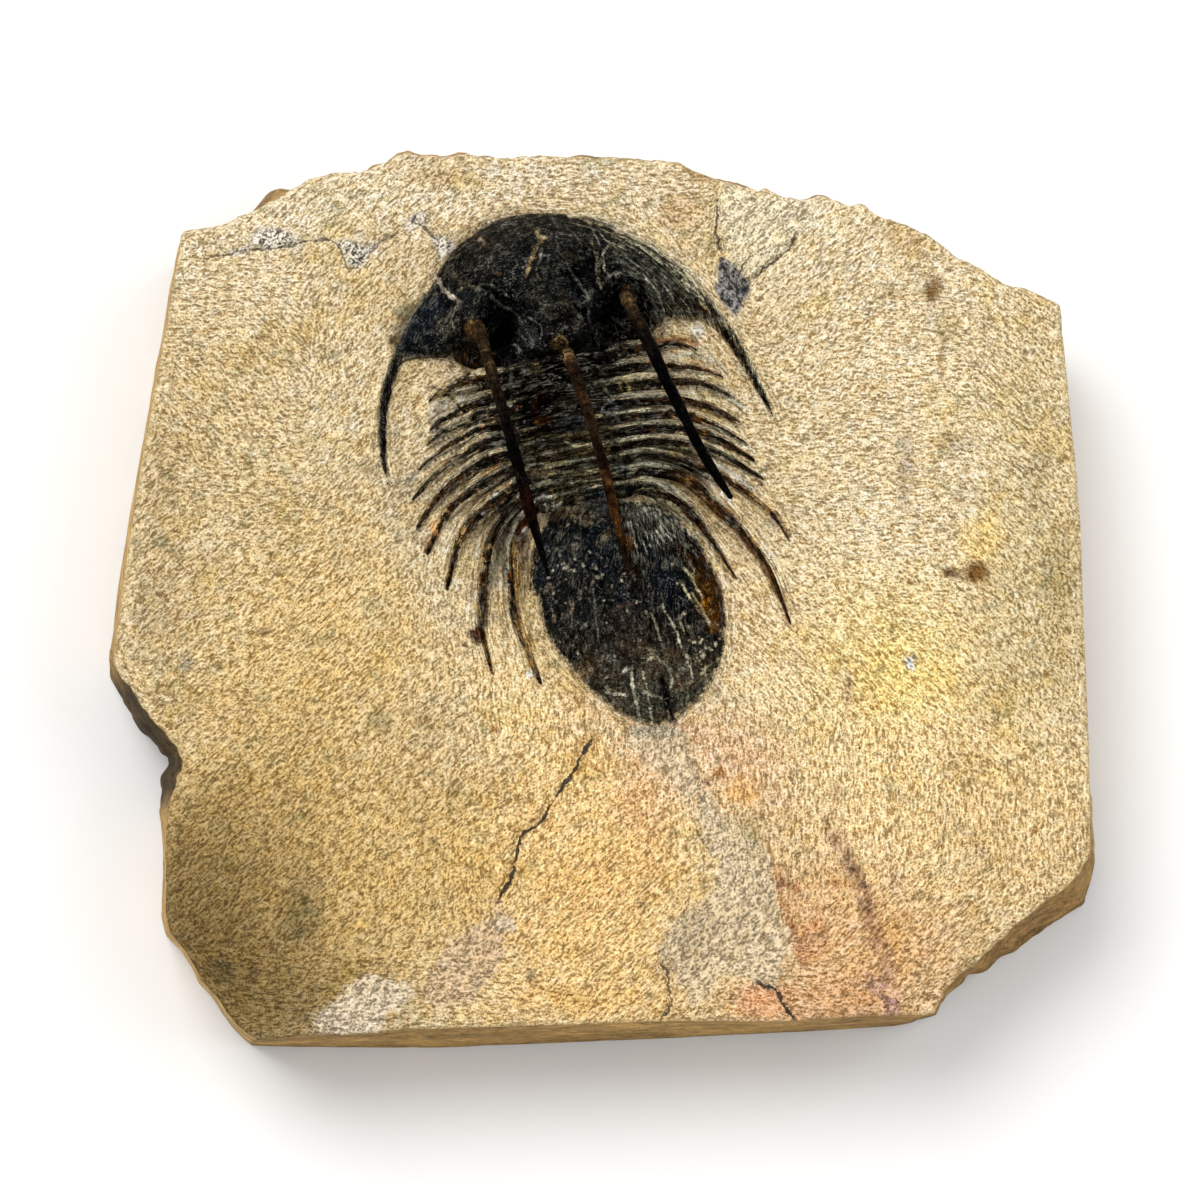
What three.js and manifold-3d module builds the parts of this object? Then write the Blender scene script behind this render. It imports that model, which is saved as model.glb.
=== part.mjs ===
// A spiny trilobite lying on the slab of limestone it was found in.
//
// Frame: millimetres, +Z up, +X to the animal's right-hand side of the slab, +Y towards the head.
// The origin is the middle of the slab's flat underside.
//
// A trilobite's armour grew as separate plates that hinge on each other, so each plate is its own solid:
// the middle head plate (cranidium) with its three long spines, two free cheeks (librigenae) with their
// cheek spines, ten thoracic segments and the tail shield (pygidium). The slab is one more piece: flat and
// sawn below, sawn at the front, left and right, broken along the back, at a notch on the left and at the
// front right corner.
//
// Outlines are traced in plan, in tenths of a millimetre, on a 120 mm square sheet (x right, y down) laid on the
// slab's top face and looked at from EYE. lift() carries a traced point down the line of sight to its real height.

import * as THREE from "three";
import { mergeVertices } from "three/addons/utils/BufferGeometryUtils.js";
import Module from "manifold-3d";

const wasm = await Module();
wasm.setup();

// ---------------------------------------------------------------- driving dimensions
const SLAB_THICKNESS = 17; // underside to top face
const SEAT = 0.3; // clearance between a plate's underside and the slab
const JOINT_GAP = 0.16; // clearance between neighbouring plates
const EYE_DISTANCE = 420; // from the sheet's middle to the eye
const EYE_TILT = 11; // degrees off the vertical, towards the front
const EYE_TURN = 12; // degrees round to the left
const ORIGIN = [0.78, 1.63]; // plan position of the underside's middle, from the sheet's middle

const T = SLAB_THICKNESS;
const rad = THREE.MathUtils.degToRad;

// ---------------------------------------------------------------- from the traced sheet to millimetres
const eye = new THREE.Vector3(
  -EYE_DISTANCE * Math.sin(rad(EYE_TILT)) * Math.sin(rad(EYE_TURN)),
  -EYE_DISTANCE * Math.sin(rad(EYE_TILT)) * Math.cos(rad(EYE_TURN)),
  T + EYE_DISTANCE * Math.cos(rad(EYE_TILT)),
);
const forward = new THREE.Vector3(0, 0, T).sub(eye).normalize();
const right = new THREE.Vector3().crossVectors(forward, new THREE.Vector3(0, 1, 0)).normalize();
const up = new THREE.Vector3().crossVectors(right, forward);

function lift(x, y, z) {
  const ray = forward
    .clone()
    .addScaledVector(right, (x - 600) / 10 / EYE_DISTANCE)
    .addScaledVector(up, (600 - y) / 10 / EYE_DISTANCE);
  const t = (z - eye.z) / ray.z;
  return new THREE.Vector3(
    eye.x + ray.x * t - ORIGIN[0],
    eye.y + ray.y * t - ORIGIN[1],
    z,
  );
}

// ---------------------------------------------------------------- traced outlines
// The slab: [top face x, y, widest part of the wall below x, y]; two numbers alone mean an upright wall.
const SLAB_LEFT = [
  [183, 232, 177, 264], [176, 272, 169, 302], [169, 312, 163, 340], [162, 352, 155, 378], [155, 392, 149, 414],
  [148, 430, 143, 450], [141, 470, 136, 486], [135, 508, 130, 521], [129, 545, 124, 555], [124, 580, 119, 587],
  [120, 615, 115, 616], [116, 645, 112, 645], [114, 665, 110, 662], [122, 678, 111, 678], [132, 688, 119, 693],
  [140.5, 705, 126, 705], [151, 718, 130, 722], [160, 727, 141, 735], [168, 735, 153, 746], [176, 745, 162, 754],
  [183, 757, 168, 759], [184, 766, 166, 769], [179, 777, 161, 779], [174, 791, 158.5, 795], [169, 808, 158.5, 812],
  [165, 830, 162, 833], [166, 850, 163, 850], [166, 875, 163, 875], [166, 897, 162.5, 897], [166, 917, 161.5, 918],
  [170, 932, 166, 936], [184, 949, 181, 951], [195, 966, 192, 968], [202, 981, 198.5, 983], [217, 997, 213.5, 999],
  [226, 1011, 222, 1013], [237, 1025, 233, 1028], [249, 1035, 244, 1039], [258, 1040, 252, 1045.5],
];
const SLAB_FRONT = [
  [258, 1040, 252, 1045.5], [281, 1038.5, 280, 1046.5], [309, 1034.7, 309, 1047], [340, 1035, 340, 1047.5],
  [376, 1033, 376, 1048], [400, 1029.5, 400, 1048], [440, 1028.3, 440, 1048], [480, 1027, 480, 1046.6],
  [530, 1025.5, 531, 1044.4], [580, 1024, 580, 1042.5], [630, 1022, 630, 1040.3], [670, 1021, 670, 1038.6],
  [720, 1020.5, 720, 1036], [760, 1022, 760, 1034.3], [800, 1020.3, 800, 1032.6], [837, 1018, 837, 1030.5],
  [861, 1016, 866, 1028.5], [890, 1015.5, 895, 1026.7], [909, 1015, 912, 1023], [922, 1014.8, 920, 1018],
  [934, 1012, 934, 1013],
];
const SLAB_RIGHT = [
  [1060, 306], [1062, 330], [1065, 360], [1069, 400], [1073, 440], [1077, 480], [1080, 520], [1081.5, 560],
  [1083, 600], [1085, 650], [1087, 700], [1089, 750], [1090, 800, 1090, 800], [1090, 835, 1091, 840], [1090, 855, 1091, 864],
  [1079, 874.5, 1090, 885], [1065, 889, 1085, 906], [1045, 901, 1064, 917], [1031, 913, 1046, 926],
  [1016, 925, 1031, 935], [1002, 939, 1019, 948], [987, 952, 1003, 956], [973, 964, 983, 968],
  [958, 976, 965, 977.5], [946, 988, 951, 985], [939, 1000, 941, 996], [934, 1012, 934, 1013],
];
const SLAB_BACK = [
  [183, 232, 183, 232], [200, 229, 200, 226], [222, 225.5, 222, 223], [238, 217, 238, 215], [252, 212, 251, 211],
  [262, 207, 261, 199], [272, 202, 270, 190], [283, 195, 281, 186.5], [293, 190, 292, 188], [303, 184.5, 303, 184],
  [316, 177], [330, 174], [345, 173.5], [360, 171.5], [369, 170, 367, 166], [378, 167, 374, 162],
  [387, 161.5, 386, 160.5], [398, 156, 398, 155], [408, 153, 407, 150.5], [420, 156, 420, 152], [440, 157, 440, 154],
  [455, 156, 455, 153], [465, 154, 465, 152], [480, 157, 480, 155], [503, 159, 503, 158], [520, 157], [540, 156],
  [560, 157], [580, 157.5], [600, 158], [618, 158.5], [640, 160], [660, 160], [678, 162, 680, 161],
  [690, 168.5, 691, 166], [705, 176, 706, 172], [720, 180, 720, 177], [735, 185, 737, 181.5], [752, 190, 752, 188],
  [758, 192], [765, 189], [775, 193], [785, 198], [800, 200.5], [815, 197], [825, 197], [838, 202], [848, 206],
  [860, 204.5, 860, 203], [870, 210, 871, 208], [882, 217, 883, 215], [895, 222], [910, 227], [925, 233], [935, 241],
  [945, 249], [957, 258], [970, 263], [980, 269], [990, 275], [1003, 284], [1015, 287], [1028, 289.5, 1029, 288],
  [1040, 296, 1041, 292], [1050, 301, 1051, 298], [1060, 306, 1060, 304],
];

// The head's outer edge, from the left cheek angle round the front to the right cheek angle.
const HEAD_EDGE = [
  [396, 352], [402, 336], [412, 317], [424, 299], [434, 281], [438, 272], [443, 264], [454, 250], [468, 237],
  [482, 228], [500, 219], [520, 215], [545, 213], [570, 215], [592, 220], [612, 226], [632, 234], [655, 247],
  [672, 260], [688, 273], [703, 289], [716, 305], [722, 316], [700, 320], [668, 320], [650, 336], [606, 352],
  [570, 366], [530, 370], [505, 374], [470, 370], [455, 362], [430, 357],
];
const CRANIDIUM_EDGE = [
  [470, 238], [482, 228], [500, 219], [520, 215], [545, 213], [570, 215], [592, 220], [612, 226], [633, 235],
  [643, 256], [654, 276], [661, 296], [665, 310], [660, 322], [646, 333], [626, 340], [604, 348], [588, 356],
  [570, 361], [550, 361], [530, 362], [508, 366], [486, 366], [468, 365], [457, 358], [454, 340], [452, 322],
  [453, 304], [450, 289], [452, 274], [460, 257],
];
// The free cheeks and their spines: [outer x, y, inner x, y] from the front of the head to the spine's tip.
const CHEEK_LEFT = [
  [467, 238, 470, 240], [454, 250, 460, 257], [443, 264, 452, 274], [434, 281, 450, 289], [424, 299, 453, 304],
  [412, 317, 452, 322], [403, 334, 454, 340], [396, 350, 442, 356], [390, 362, 406, 361], [385, 378, 396, 380],
  [380, 400, 390, 402], [378, 424, 387, 424], [379, 448, 387, 448], [382, 467, 387.5, 467], [386, 483, 388.5, 483],
];
const CHEEK_RIGHT = [
  [635, 236, 633, 238], [655, 247, 643, 256], [672, 260, 654, 276], [688, 273, 661, 296], [703, 289, 666, 308],
  [716, 305, 680, 317], [728, 321, 704, 322], [739, 339, 723, 338], [751, 361, 740, 363], [761, 382, 753, 385],
  [769, 401, 764, 402], [773.5, 414, 771, 415],
];
// The middle of each rib, from its axial furrow out to its tip.
const RIBS_LEFT = [
  [[508, 377], [490, 379], [472, 381], [455, 386], [444, 391], [436, 395], [430, 400]],
  [[509, 394], [492, 401], [476, 404], [462, 409], [448, 417], [438, 423], [431, 429]],
  [[510, 410], [492, 413], [476, 417], [460, 425], [446, 431], [437, 436], [428, 444]],
  [[512, 425], [496, 426], [480, 429], [465, 437], [450, 444], [434, 455], [420, 468]],
  [[515, 440], [497, 442], [482, 444], [466, 452], [448, 463], [432, 477], [413, 498]],
  [[519, 454], [504, 457], [488, 462], [472, 469], [455, 480], [437, 498], [417, 527]],
  [[523, 466], [508, 470], [494, 477], [478, 487], [460, 499], [444, 518], [427, 552]],
  [[528, 480], [514, 489], [500, 499], [484, 509], [468, 525], [457, 547], [447, 587]],
  [[533, 494], [519, 503], [506, 517], [493, 533], [485, 556], [480, 595], [479, 625], [485, 650], [491, 672]],
  [[538, 507], [528, 519], [519, 533], [513, 552], [512, 580], [513, 605], [519, 630], [529, 655], [540, 682]],
];
const RIBS_RIGHT = [
  [[606, 359], [626, 352], [645, 347], [662, 344], [675, 343], [686, 345], [696, 349]],
  [[610, 372], [630, 368], [652, 365], [676, 366], [695, 368], [709, 371], [722, 376]],
  [[611, 388], [632, 385], [655, 383], [678, 382], [698, 383], [716, 388], [732, 397]],
  [[614, 406], [634, 403], [655, 401], [678, 400], [698, 404], [718, 411], [738, 421]],
  [[616, 420], [634, 417], [655, 415], [678, 415], [700, 419], [722, 429], [746, 443]],
  [[619, 433], [636, 430], [655, 429], [678, 429], [700, 432], [726, 442], [753, 459]],
  [[623, 446], [640, 443], [657, 442], [678, 443], [700, 447], [730, 459], [762, 477]],
  [[628, 459], [645, 456], [662, 456], [682, 460], [705, 468], [731, 481], [758, 500], [775, 516], [788, 537]],
  [[631, 473], [648, 470], [665, 470], [685, 474], [703, 486], [722, 507], [743, 530], [760, 553], [775, 579], [791, 624]],
  [[634, 488], [648, 487], [662, 492], [680, 504], [696, 520], [709, 538], [720, 553], [729, 567], [736, 577]],
];
const TAIL_EDGE = [
  [553, 509], [580, 500], [608, 497], [636, 500], [656, 503], [672, 513], [687, 528], [700, 544], [711, 562],
  [719, 580], [724, 600], [726, 618], [725, 638], [721, 658], [714, 677], [704, 693], [690, 706], [676, 718],
  [661, 726], [645, 725], [628, 717], [609, 707], [593, 693], [580, 680], [567, 664], [555, 648], [545, 630],
  [541, 608], [539, 596], [532, 592], [531, 575], [533, 556], [537, 540], [544, 523],
];
// The long spines: [x, y, height above the slab's top face, diameter].
const EYE_SPINE_LEFT = [
  [477, 325, 5.0, 1.9], [479, 331, 8.4, 1.5], [485, 350, 11.2, 1.2], [498, 394, 13.2, 1.1], [515, 455, 13.8, 1.1],
  [527, 500, 13.4, 1.2], [538, 540, 12.5, 0.8], [549, 577, 11.3, 0.3],
];
const EYE_SPINE_RIGHT = [
  [626, 296, 5.0, 1.9], [629, 303, 8.4, 1.5], [640, 325, 11.2, 1.25], [655, 356, 12.8, 1.15], [675, 398, 13.8, 1.1],
  [698, 444, 14.0, 1.0], [716, 475, 13.5, 0.85], [732, 499, 12.8, 0.45],
];
const NECK_SPINE = [
  [566, 350, 2.4, 1.9], [569, 358, 5.2, 1.7], [573, 368, 7.6, 1.5], [579, 385, 9.3, 1.15], [588, 412, 10.5, 1.0],
  [602, 460, 10.8, 0.95],
  [612, 500, 10.0, 0.95], [621, 540, 8.4, 0.8], [629, 572, 6.6, 0.35],
];

// ---------------------------------------------------------------- plan geometry helpers
function resample(points, n) {
  // n + 1 points evenly spaced along a polyline of number arrays; spacing is measured on the first two numbers
  const at = [0];
  for (let i = 1; i < points.length; i++)
    at.push(at[i - 1] + Math.hypot(points[i][0] - points[i - 1][0], points[i][1] - points[i - 1][1]));
  const out = [];
  for (let k = 0; k <= n; k++) out.push(along(points, at, (k / n) * at[at.length - 1]));
  return out;
}
function along(points, at, s) {
  let i = 1;
  while (i < at.length - 1 && at[i] < s) i++;
  const t = Math.min(1, Math.max(0, (s - at[i - 1]) / (at[i] - at[i - 1] || 1)));
  return points[i].map((v, k) => points[i - 1][k] + (v - points[i - 1][k]) * t);
}
function pointAt(points, t) {
  return resampleAt(points, t);
}
function resampleAt(points, t) {
  const at = [0];
  for (let i = 1; i < points.length; i++)
    at.push(at[i - 1] + Math.hypot(points[i][0] - points[i - 1][0], points[i][1] - points[i - 1][1]));
  return along(points, at, t * at[at.length - 1]);
}
function distanceInside(x, y, edge) {
  // distance to a closed outline, in the sheet's tenths of a millimetre, negative outside it
  let best = Infinity,
    inside = false;
  for (let i = 0, j = edge.length - 1; i < edge.length; j = i++) {
    const [ax, ay] = edge[j],
      [bx, by] = edge[i];
    const dx = bx - ax,
      dy = by - ay;
    const t = Math.min(1, Math.max(0, ((x - ax) * dx + (y - ay) * dy) / (dx * dx + dy * dy)));
    best = Math.min(best, Math.hypot(x - ax - t * dx, y - ay - t * dy));
    if (ay > y !== by > y && x < ((bx - ax) * (y - ay)) / (by - ay) + ax) inside = !inside;
  }
  return inside ? best : -best;
}
function swell(x, y, cx, cy, rx, ry, turn, power = 1.5) {
  // a smooth round swelling, 1 at its middle and 0 outside its ellipse
  const c = Math.cos(rad(turn)),
    s = Math.sin(rad(turn));
  const u = ((x - cx) * c + (y - cy) * s) / rx,
    v = (-(x - cx) * s + (y - cy) * c) / ry;
  return Math.pow(Math.max(0, 1 - u * u - v * v), power);
}

// ---------------------------------------------------------------- heights above the slab's top face
function headHeight(x, y) {
  const inside = Math.max(0, distanceInside(x, y, HEAD_EDGE));
  let h = 0.9 + 3.9 * (1 - Math.exp(-inside / 26));
  h += 3.3 * swell(x, y, 528, 266, 88, 62, -8, 0.8); // the swollen front of the glabella
  h += 2.2 * swell(x, y, 557, 326, 42, 48, 0, 1.0); // its narrower back
  h += 2.4 * swell(x, y, 478, 322, 30, 34, 0, 1.0); // left eye lobe
  h += 2.4 * swell(x, y, 628, 300, 30, 34, 0, 1.0); // right eye lobe
  h -= 1.6 * swell(x, y, 505, 340, 18, 26, 0, 1.0); // hollows between eyes and glabella
  h -= 1.6 * swell(x, y, 604, 326, 16, 26, 0, 1.0);
  return Math.max(0.9, h);
}
function tailHeight(x, y) {
  const inside = Math.max(0, distanceInside(x, y, TAIL_EDGE));
  let h = 0.9 + 2.5 * (1 - Math.exp(-inside / 24));
  h += 1.2 * swell(x, y, 612, 560, 42, 115, -14, 1.0);
  return h;
}

// ---------------------------------------------------------------- solids
const CLEAR = new THREE.Vector2(T - 1, T + 20); // bottom and top of the prisms that plates are trimmed with
const flatFloor = (p) => new THREE.Vector3(p.x, p.y, T + SEAT);
function solidFrom(rows, closed, prism = false) {
  // rows[i][j] are points of a top surface. The solid goes from it down to the seat.
  // closed: each row is a ring round the first row's single point.
  // prism: the same plan outline as an upright prism, to trim neighbouring plates with.
  if (prism) {
    if (closed) rows = [rows[0], rows[rows.length - 1]];
    else rows = rows.map((r) => [r[0], r[r.length - 1]]);
    rows = rows.map((r) => r.map((p) => new THREE.Vector3(p.x, p.y, CLEAR.y)));
  }
  const floor = prism ? (p) => new THREE.Vector3(p.x, p.y, CLEAR.x) : flatFloor;
  const positions = [],
    index = [];
  const push = (p) => positions.push(p.x, p.y, p.z) / 3 - 1;
  const face = (a, b, c) => index.push(a, b, c);
  const tops = rows.map((r) => r.map(push));
  const lows = rows.map((r, i) => (closed && i > 0 && i < rows.length - 1 ? [] : r.map((p) => push(floor(p)))));
  const n = rows.length;
  for (let i = 0; i < n - 1; i++) {
    const a = tops[i],
      b = tops[i + 1],
      la = lows[i],
      lb = lows[i + 1];
    const m = b.length;
    for (let j = 0; j < (closed ? m : m - 1); j++) {
      const k = (j + 1) % m;
      if (a.length === 1) {
        face(a[0], b[j], b[k]);
        continue;
      }
      face(a[j], b[j], b[k]);
      face(a[j], b[k], a[k]);
      if (closed) continue;
      face(la[j], lb[k], lb[j]);
      face(la[j], la[k], lb[k]);
    }
  }
  const wall = (tt, ll) => {
    for (let j = 0; j < tt.length - 1; j++) {
      face(tt[j], ll[j], ll[j + 1]);
      face(tt[j], ll[j + 1], tt[j + 1]);
    }
  };
  if (closed) {
    const t = tops[n - 1],
      l = lows[n - 1];
    wall([...t, t[0]], [...l, l[0]]);
    for (let j = 0; j < l.length; j++) face(lows[0][0], l[(j + 1) % l.length], l[j]);
  } else {
    const last = rows[0].length - 1;
    wall(tops[n - 1], lows[n - 1]);
    wall([...tops[0]].reverse(), [...lows[0]].reverse());
    wall(tops.map((r) => r[0]), lows.map((r) => r[0]));
    wall(tops.map((r) => r[last]).reverse(), lows.map((r) => r[last]).reverse());
  }
  const g = new THREE.BufferGeometry();
  g.setAttribute("position", new THREE.Float32BufferAttribute(positions, 3));
  g.setIndex(index);
  return g;
}

function toManifold(geometry) {
  const g = new THREE.BufferGeometry().setAttribute("position", geometry.getAttribute("position").clone());
  g.setIndex(geometry.index.clone());
  const merged = mergeVertices(g, 1e-4);
  const build = (tri) =>
    new wasm.Manifold(
      new wasm.Mesh({
        numProp: 3,
        vertProperties: new Float32Array(merged.getAttribute("position").array),
        triVerts: new Uint32Array(tri),
      }),
    );
  const tri = Array.from(merged.index.array);
  let m = build(tri);
  if (m.volume() < 0) {
    for (let i = 0; i < tri.length; i += 3) [tri[i + 1], tri[i + 2]] = [tri[i + 2], tri[i + 1]];
    m = build(tri);
  }
  return m;
}
function toGeometry(manifold) {
  const mesh = manifold.getMesh();
  const g = new THREE.BufferGeometry();
  const v = new Float32Array(mesh.numVert * 3);
  for (let i = 0; i < mesh.numVert; i++)
    v.set(mesh.vertProperties.subarray(i * mesh.numProp, i * mesh.numProp + 3), i * 3);
  g.setAttribute("position", new THREE.BufferAttribute(v, 3));
  g.setIndex(new THREE.BufferAttribute(mesh.triVerts, 1));
  return g;
}

function taperedSpine(trace, grow = 0, sides = 8, steps = 11) {
  const points = trace.map(([x, y, h]) => lift(x, y, T + h));
  const curve = new THREE.CatmullRomCurve3(points, false, "centripetal");
  const frames = curve.computeFrenetFrames(steps, false);
  const positions = [],
    index = [];
  for (let i = 0; i <= steps; i++) {
    const t = i / steps;
    const p = curve.getPoint(t);
    const k = Math.min(trace.length - 2, Math.floor(t * (trace.length - 1)));
    const f = t * (trace.length - 1) - k;
    const r = (trace[k][3] * (1 - f) + trace[k + 1][3] * f) / 2 + grow;
    for (let j = 0; j < sides; j++) {
      const a = (j / sides) * 2 * Math.PI;
      const q = p
        .clone()
        .addScaledVector(frames.normals[i], r * Math.cos(a))
        .addScaledVector(frames.binormals[i], r * Math.sin(a));
      positions.push(q.x, q.y, q.z);
    }
  }
  for (let i = 0; i < steps; i++)
    for (let j = 0; j < sides; j++) {
      const a = i * sides + j,
        b = i * sides + ((j + 1) % sides);
      index.push(a, b, b + sides, a, b + sides, a + sides);
    }
  for (let j = 1; j < sides - 1; j++) {
    index.push(0, j + 1, j);
    const e = steps * sides;
    index.push(e, e + j, e + j + 1);
  }
  const g = new THREE.BufferGeometry();
  g.setAttribute("position", new THREE.Float32BufferAttribute(positions, 3));
  g.setIndex(index);
  return g;
}

// A plate whose outline is star-shaped about a middle point: rings from the middle to the outline.
function roundPlate(edge, middle, around, rings, height, inset, prism) {
  const closed = [...edge, edge[0]];
  const outline = resample(closed, around).slice(0, around);
  const rows = [[lift(middle[0], middle[1], T + height(...middle))]];
  for (let i = 1; i <= rings; i++) {
    const r = Math.pow(i / rings, 0.85);
    rows.push(
      outline.map(([x, y]) => {
        const d = Math.hypot(x - middle[0], y - middle[1]);
        const s = (r * (d - inset)) / d;
        const px = middle[0] + (x - middle[0]) * s,
          py = middle[1] + (y - middle[1]) * s;
        return lift(px, py, T + height(px, py));
      }),
    );
  }
  return solidFrom(rows, true, prism);
}

// A free cheek: a strip between its outer and inner edges.
function cheek(trace, steps, across, inset, prism) {
  const rows = [];
  for (let i = 0; i <= steps; i++) {
    const [ox, oy, ix, iy] = pointAt(trace, Math.pow(i / steps, 0.95));
    const w = Math.hypot(ix - ox, iy - oy) || 1;
    const cut = Math.min(0.35, inset / w); // the side by the suture is cut back
    rows.push([]);
    for (let j = 0; j <= across; j++) {
      const v = (j / across) * (1 - cut) + (inset < 0 ? (inset / w) * (1 - j / across) : 0);
      const x = ox + (ix - ox) * v,
        y = oy + (iy - oy) * v;
      const spine = THREE.MathUtils.smoothstep(i / steps, 0.45, 0.62);
      const arch = 0.9 + 0.45 * Math.sin(Math.PI * THREE.MathUtils.clamp(v, 0, 1));
      const h = (1 - spine) * headHeight(x, y) + spine * arch;
      rows[i].push(lift(x, y, T + h));
    }
  }
  return solidFrom(rows, false, prism);
}

// Where rib or ring i lies at u: -1 left tip, -0.3 left axial furrow, 0.3 right axial furrow, 1 right tip.
function bandPoint(i, u) {
  const extrapolate = (a, b, k) => a.map((v, n) => v + (v - b[n]) * k);
  if (i < 0) return extrapolate(bandPoint(0, u), bandPoint(1, u), -i);
  if (i > 9) return extrapolate(bandPoint(9, u), bandPoint(8, u), i - 9);
  const left = RIBS_LEFT[i],
    ribRight = RIBS_RIGHT[i];
  if (u < -0.3) return pointAt(left, (-0.3 - u) / 0.7);
  if (u > 0.3) return pointAt(ribRight, (u - 0.3) / 0.7);
  const t = (u + 0.3) / 0.6;
  const [ax, ay] = left[0],
    [bx, by] = ribRight[0];
  return [ax + (bx - ax) * t, ay + (by - ay) * t - 3 * Math.sin(Math.PI * t)];
}
function thoraxHeight(i, u, v) {
  const a = Math.abs(u);
  const crown = a < 0.3 ? 1.6 * Math.pow(Math.cos((a / 0.3) * (Math.PI / 2)), 0.7) : 0;
  const rib = 4.0 - 3.0 * THREE.MathUtils.smoothstep(a, 0.45, 0.92) - 0.04 * i;
  const ridge = 0.28 * Math.sin(Math.PI * v);
  return Math.max(0.75, rib * (1 - 0.04 * i) + crown + ridge);
}
function segment(i, grow = 0, steps = 22, across = 2) {
  const rows = [];
  for (let k = 0; k <= steps; k++) {
    const u = -1 + (2 * k) / steps;
    const here = bandPoint(i, u),
      before = bandPoint(i - 1, u),
      after = bandPoint(i + 1, u);
    // the strip reaches from a quarter of the way behind the band before to a quarter behind this one
    const tip = Math.max(0, (Math.abs(u) - 0.55) / 0.45);
    const most = 12 - 9.5 * Math.pow(tip, 0.8); // widest half-strip allowed, in tenths of a millimetre
    const step = (p, q, share) => {
      const dx = p[0] - q[0],
        dy = p[1] - q[1],
        d = Math.hypot(dx, dy) || 1;
      const w = Math.max(1.2, Math.min(share * d, most) - JOINT_GAP * 9) + grow;
      return [q[0] + (dx / d) * w, q[1] + (dy / d) * w];
    };
    const front = step(before, here, 0.72),
      back = step(after, here, 0.28);
    rows.push([]);
    for (let j = 0; j <= across; j++) {
      const v = j / across;
      const x = front[0] + (back[0] - front[0]) * v,
        y = front[1] + (back[1] - front[1]) * v;
      rows[k].push(lift(x, y, T + thoraxHeight(i, u, v)));
    }
  }
  return solidFrom(rows, false, grow > 0);
}

function trimmed(solid, ...prisms) {
  // cut clear of the plates it lies beside; only the main body is kept
  let m = solid;
  for (const p of prisms) m = m.subtract(p);
  return m.decompose().sort((a, b) => b.volume() - a.volume())[0];
}

// ---------------------------------------------------------------- the slab
const full = (p) => (p.length === 4 ? p : [p[0], p[1], NaN, NaN]);
function slabSide(trace, n, wallLevel) {
  // top-face point, middle-of-wall point and underside point of n + 1 stations along one side
  const points = trace.map((p) => {
    const [x, y, sx, sy] = full(p);
    const top = lift(x, y, T);
    if (Number.isNaN(sx)) return [x, y, top, top.clone(), top.clone()];
    const wide = lift(sx, sy, wallLevel);
    const mid = wallLevel > 1 ? wide : top.clone().lerp(wide, 0.3);
    const low = wallLevel > 1 ? top.clone().lerp(wide, 0.2) : wide;
    return [x, y, top, mid, low];
  });
  const at = [0];
  for (let i = 1; i < points.length; i++)
    at.push(at[i - 1] + Math.hypot(points[i][0] - points[i - 1][0], points[i][1] - points[i - 1][1]));
  const out = [];
  for (let k = 0; k <= n; k++) {
    const s = (k / n) * at[at.length - 1];
    let i = 1;
    while (i < at.length - 1 && at[i] < s) i++;
    const t = Math.min(1, (s - at[i - 1]) / (at[i] - at[i - 1]));
    out.push([2, 3, 4].map((c) => points[i - 1][c].clone().lerp(points[i][c], t)));
  }
  return out;
}
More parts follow.
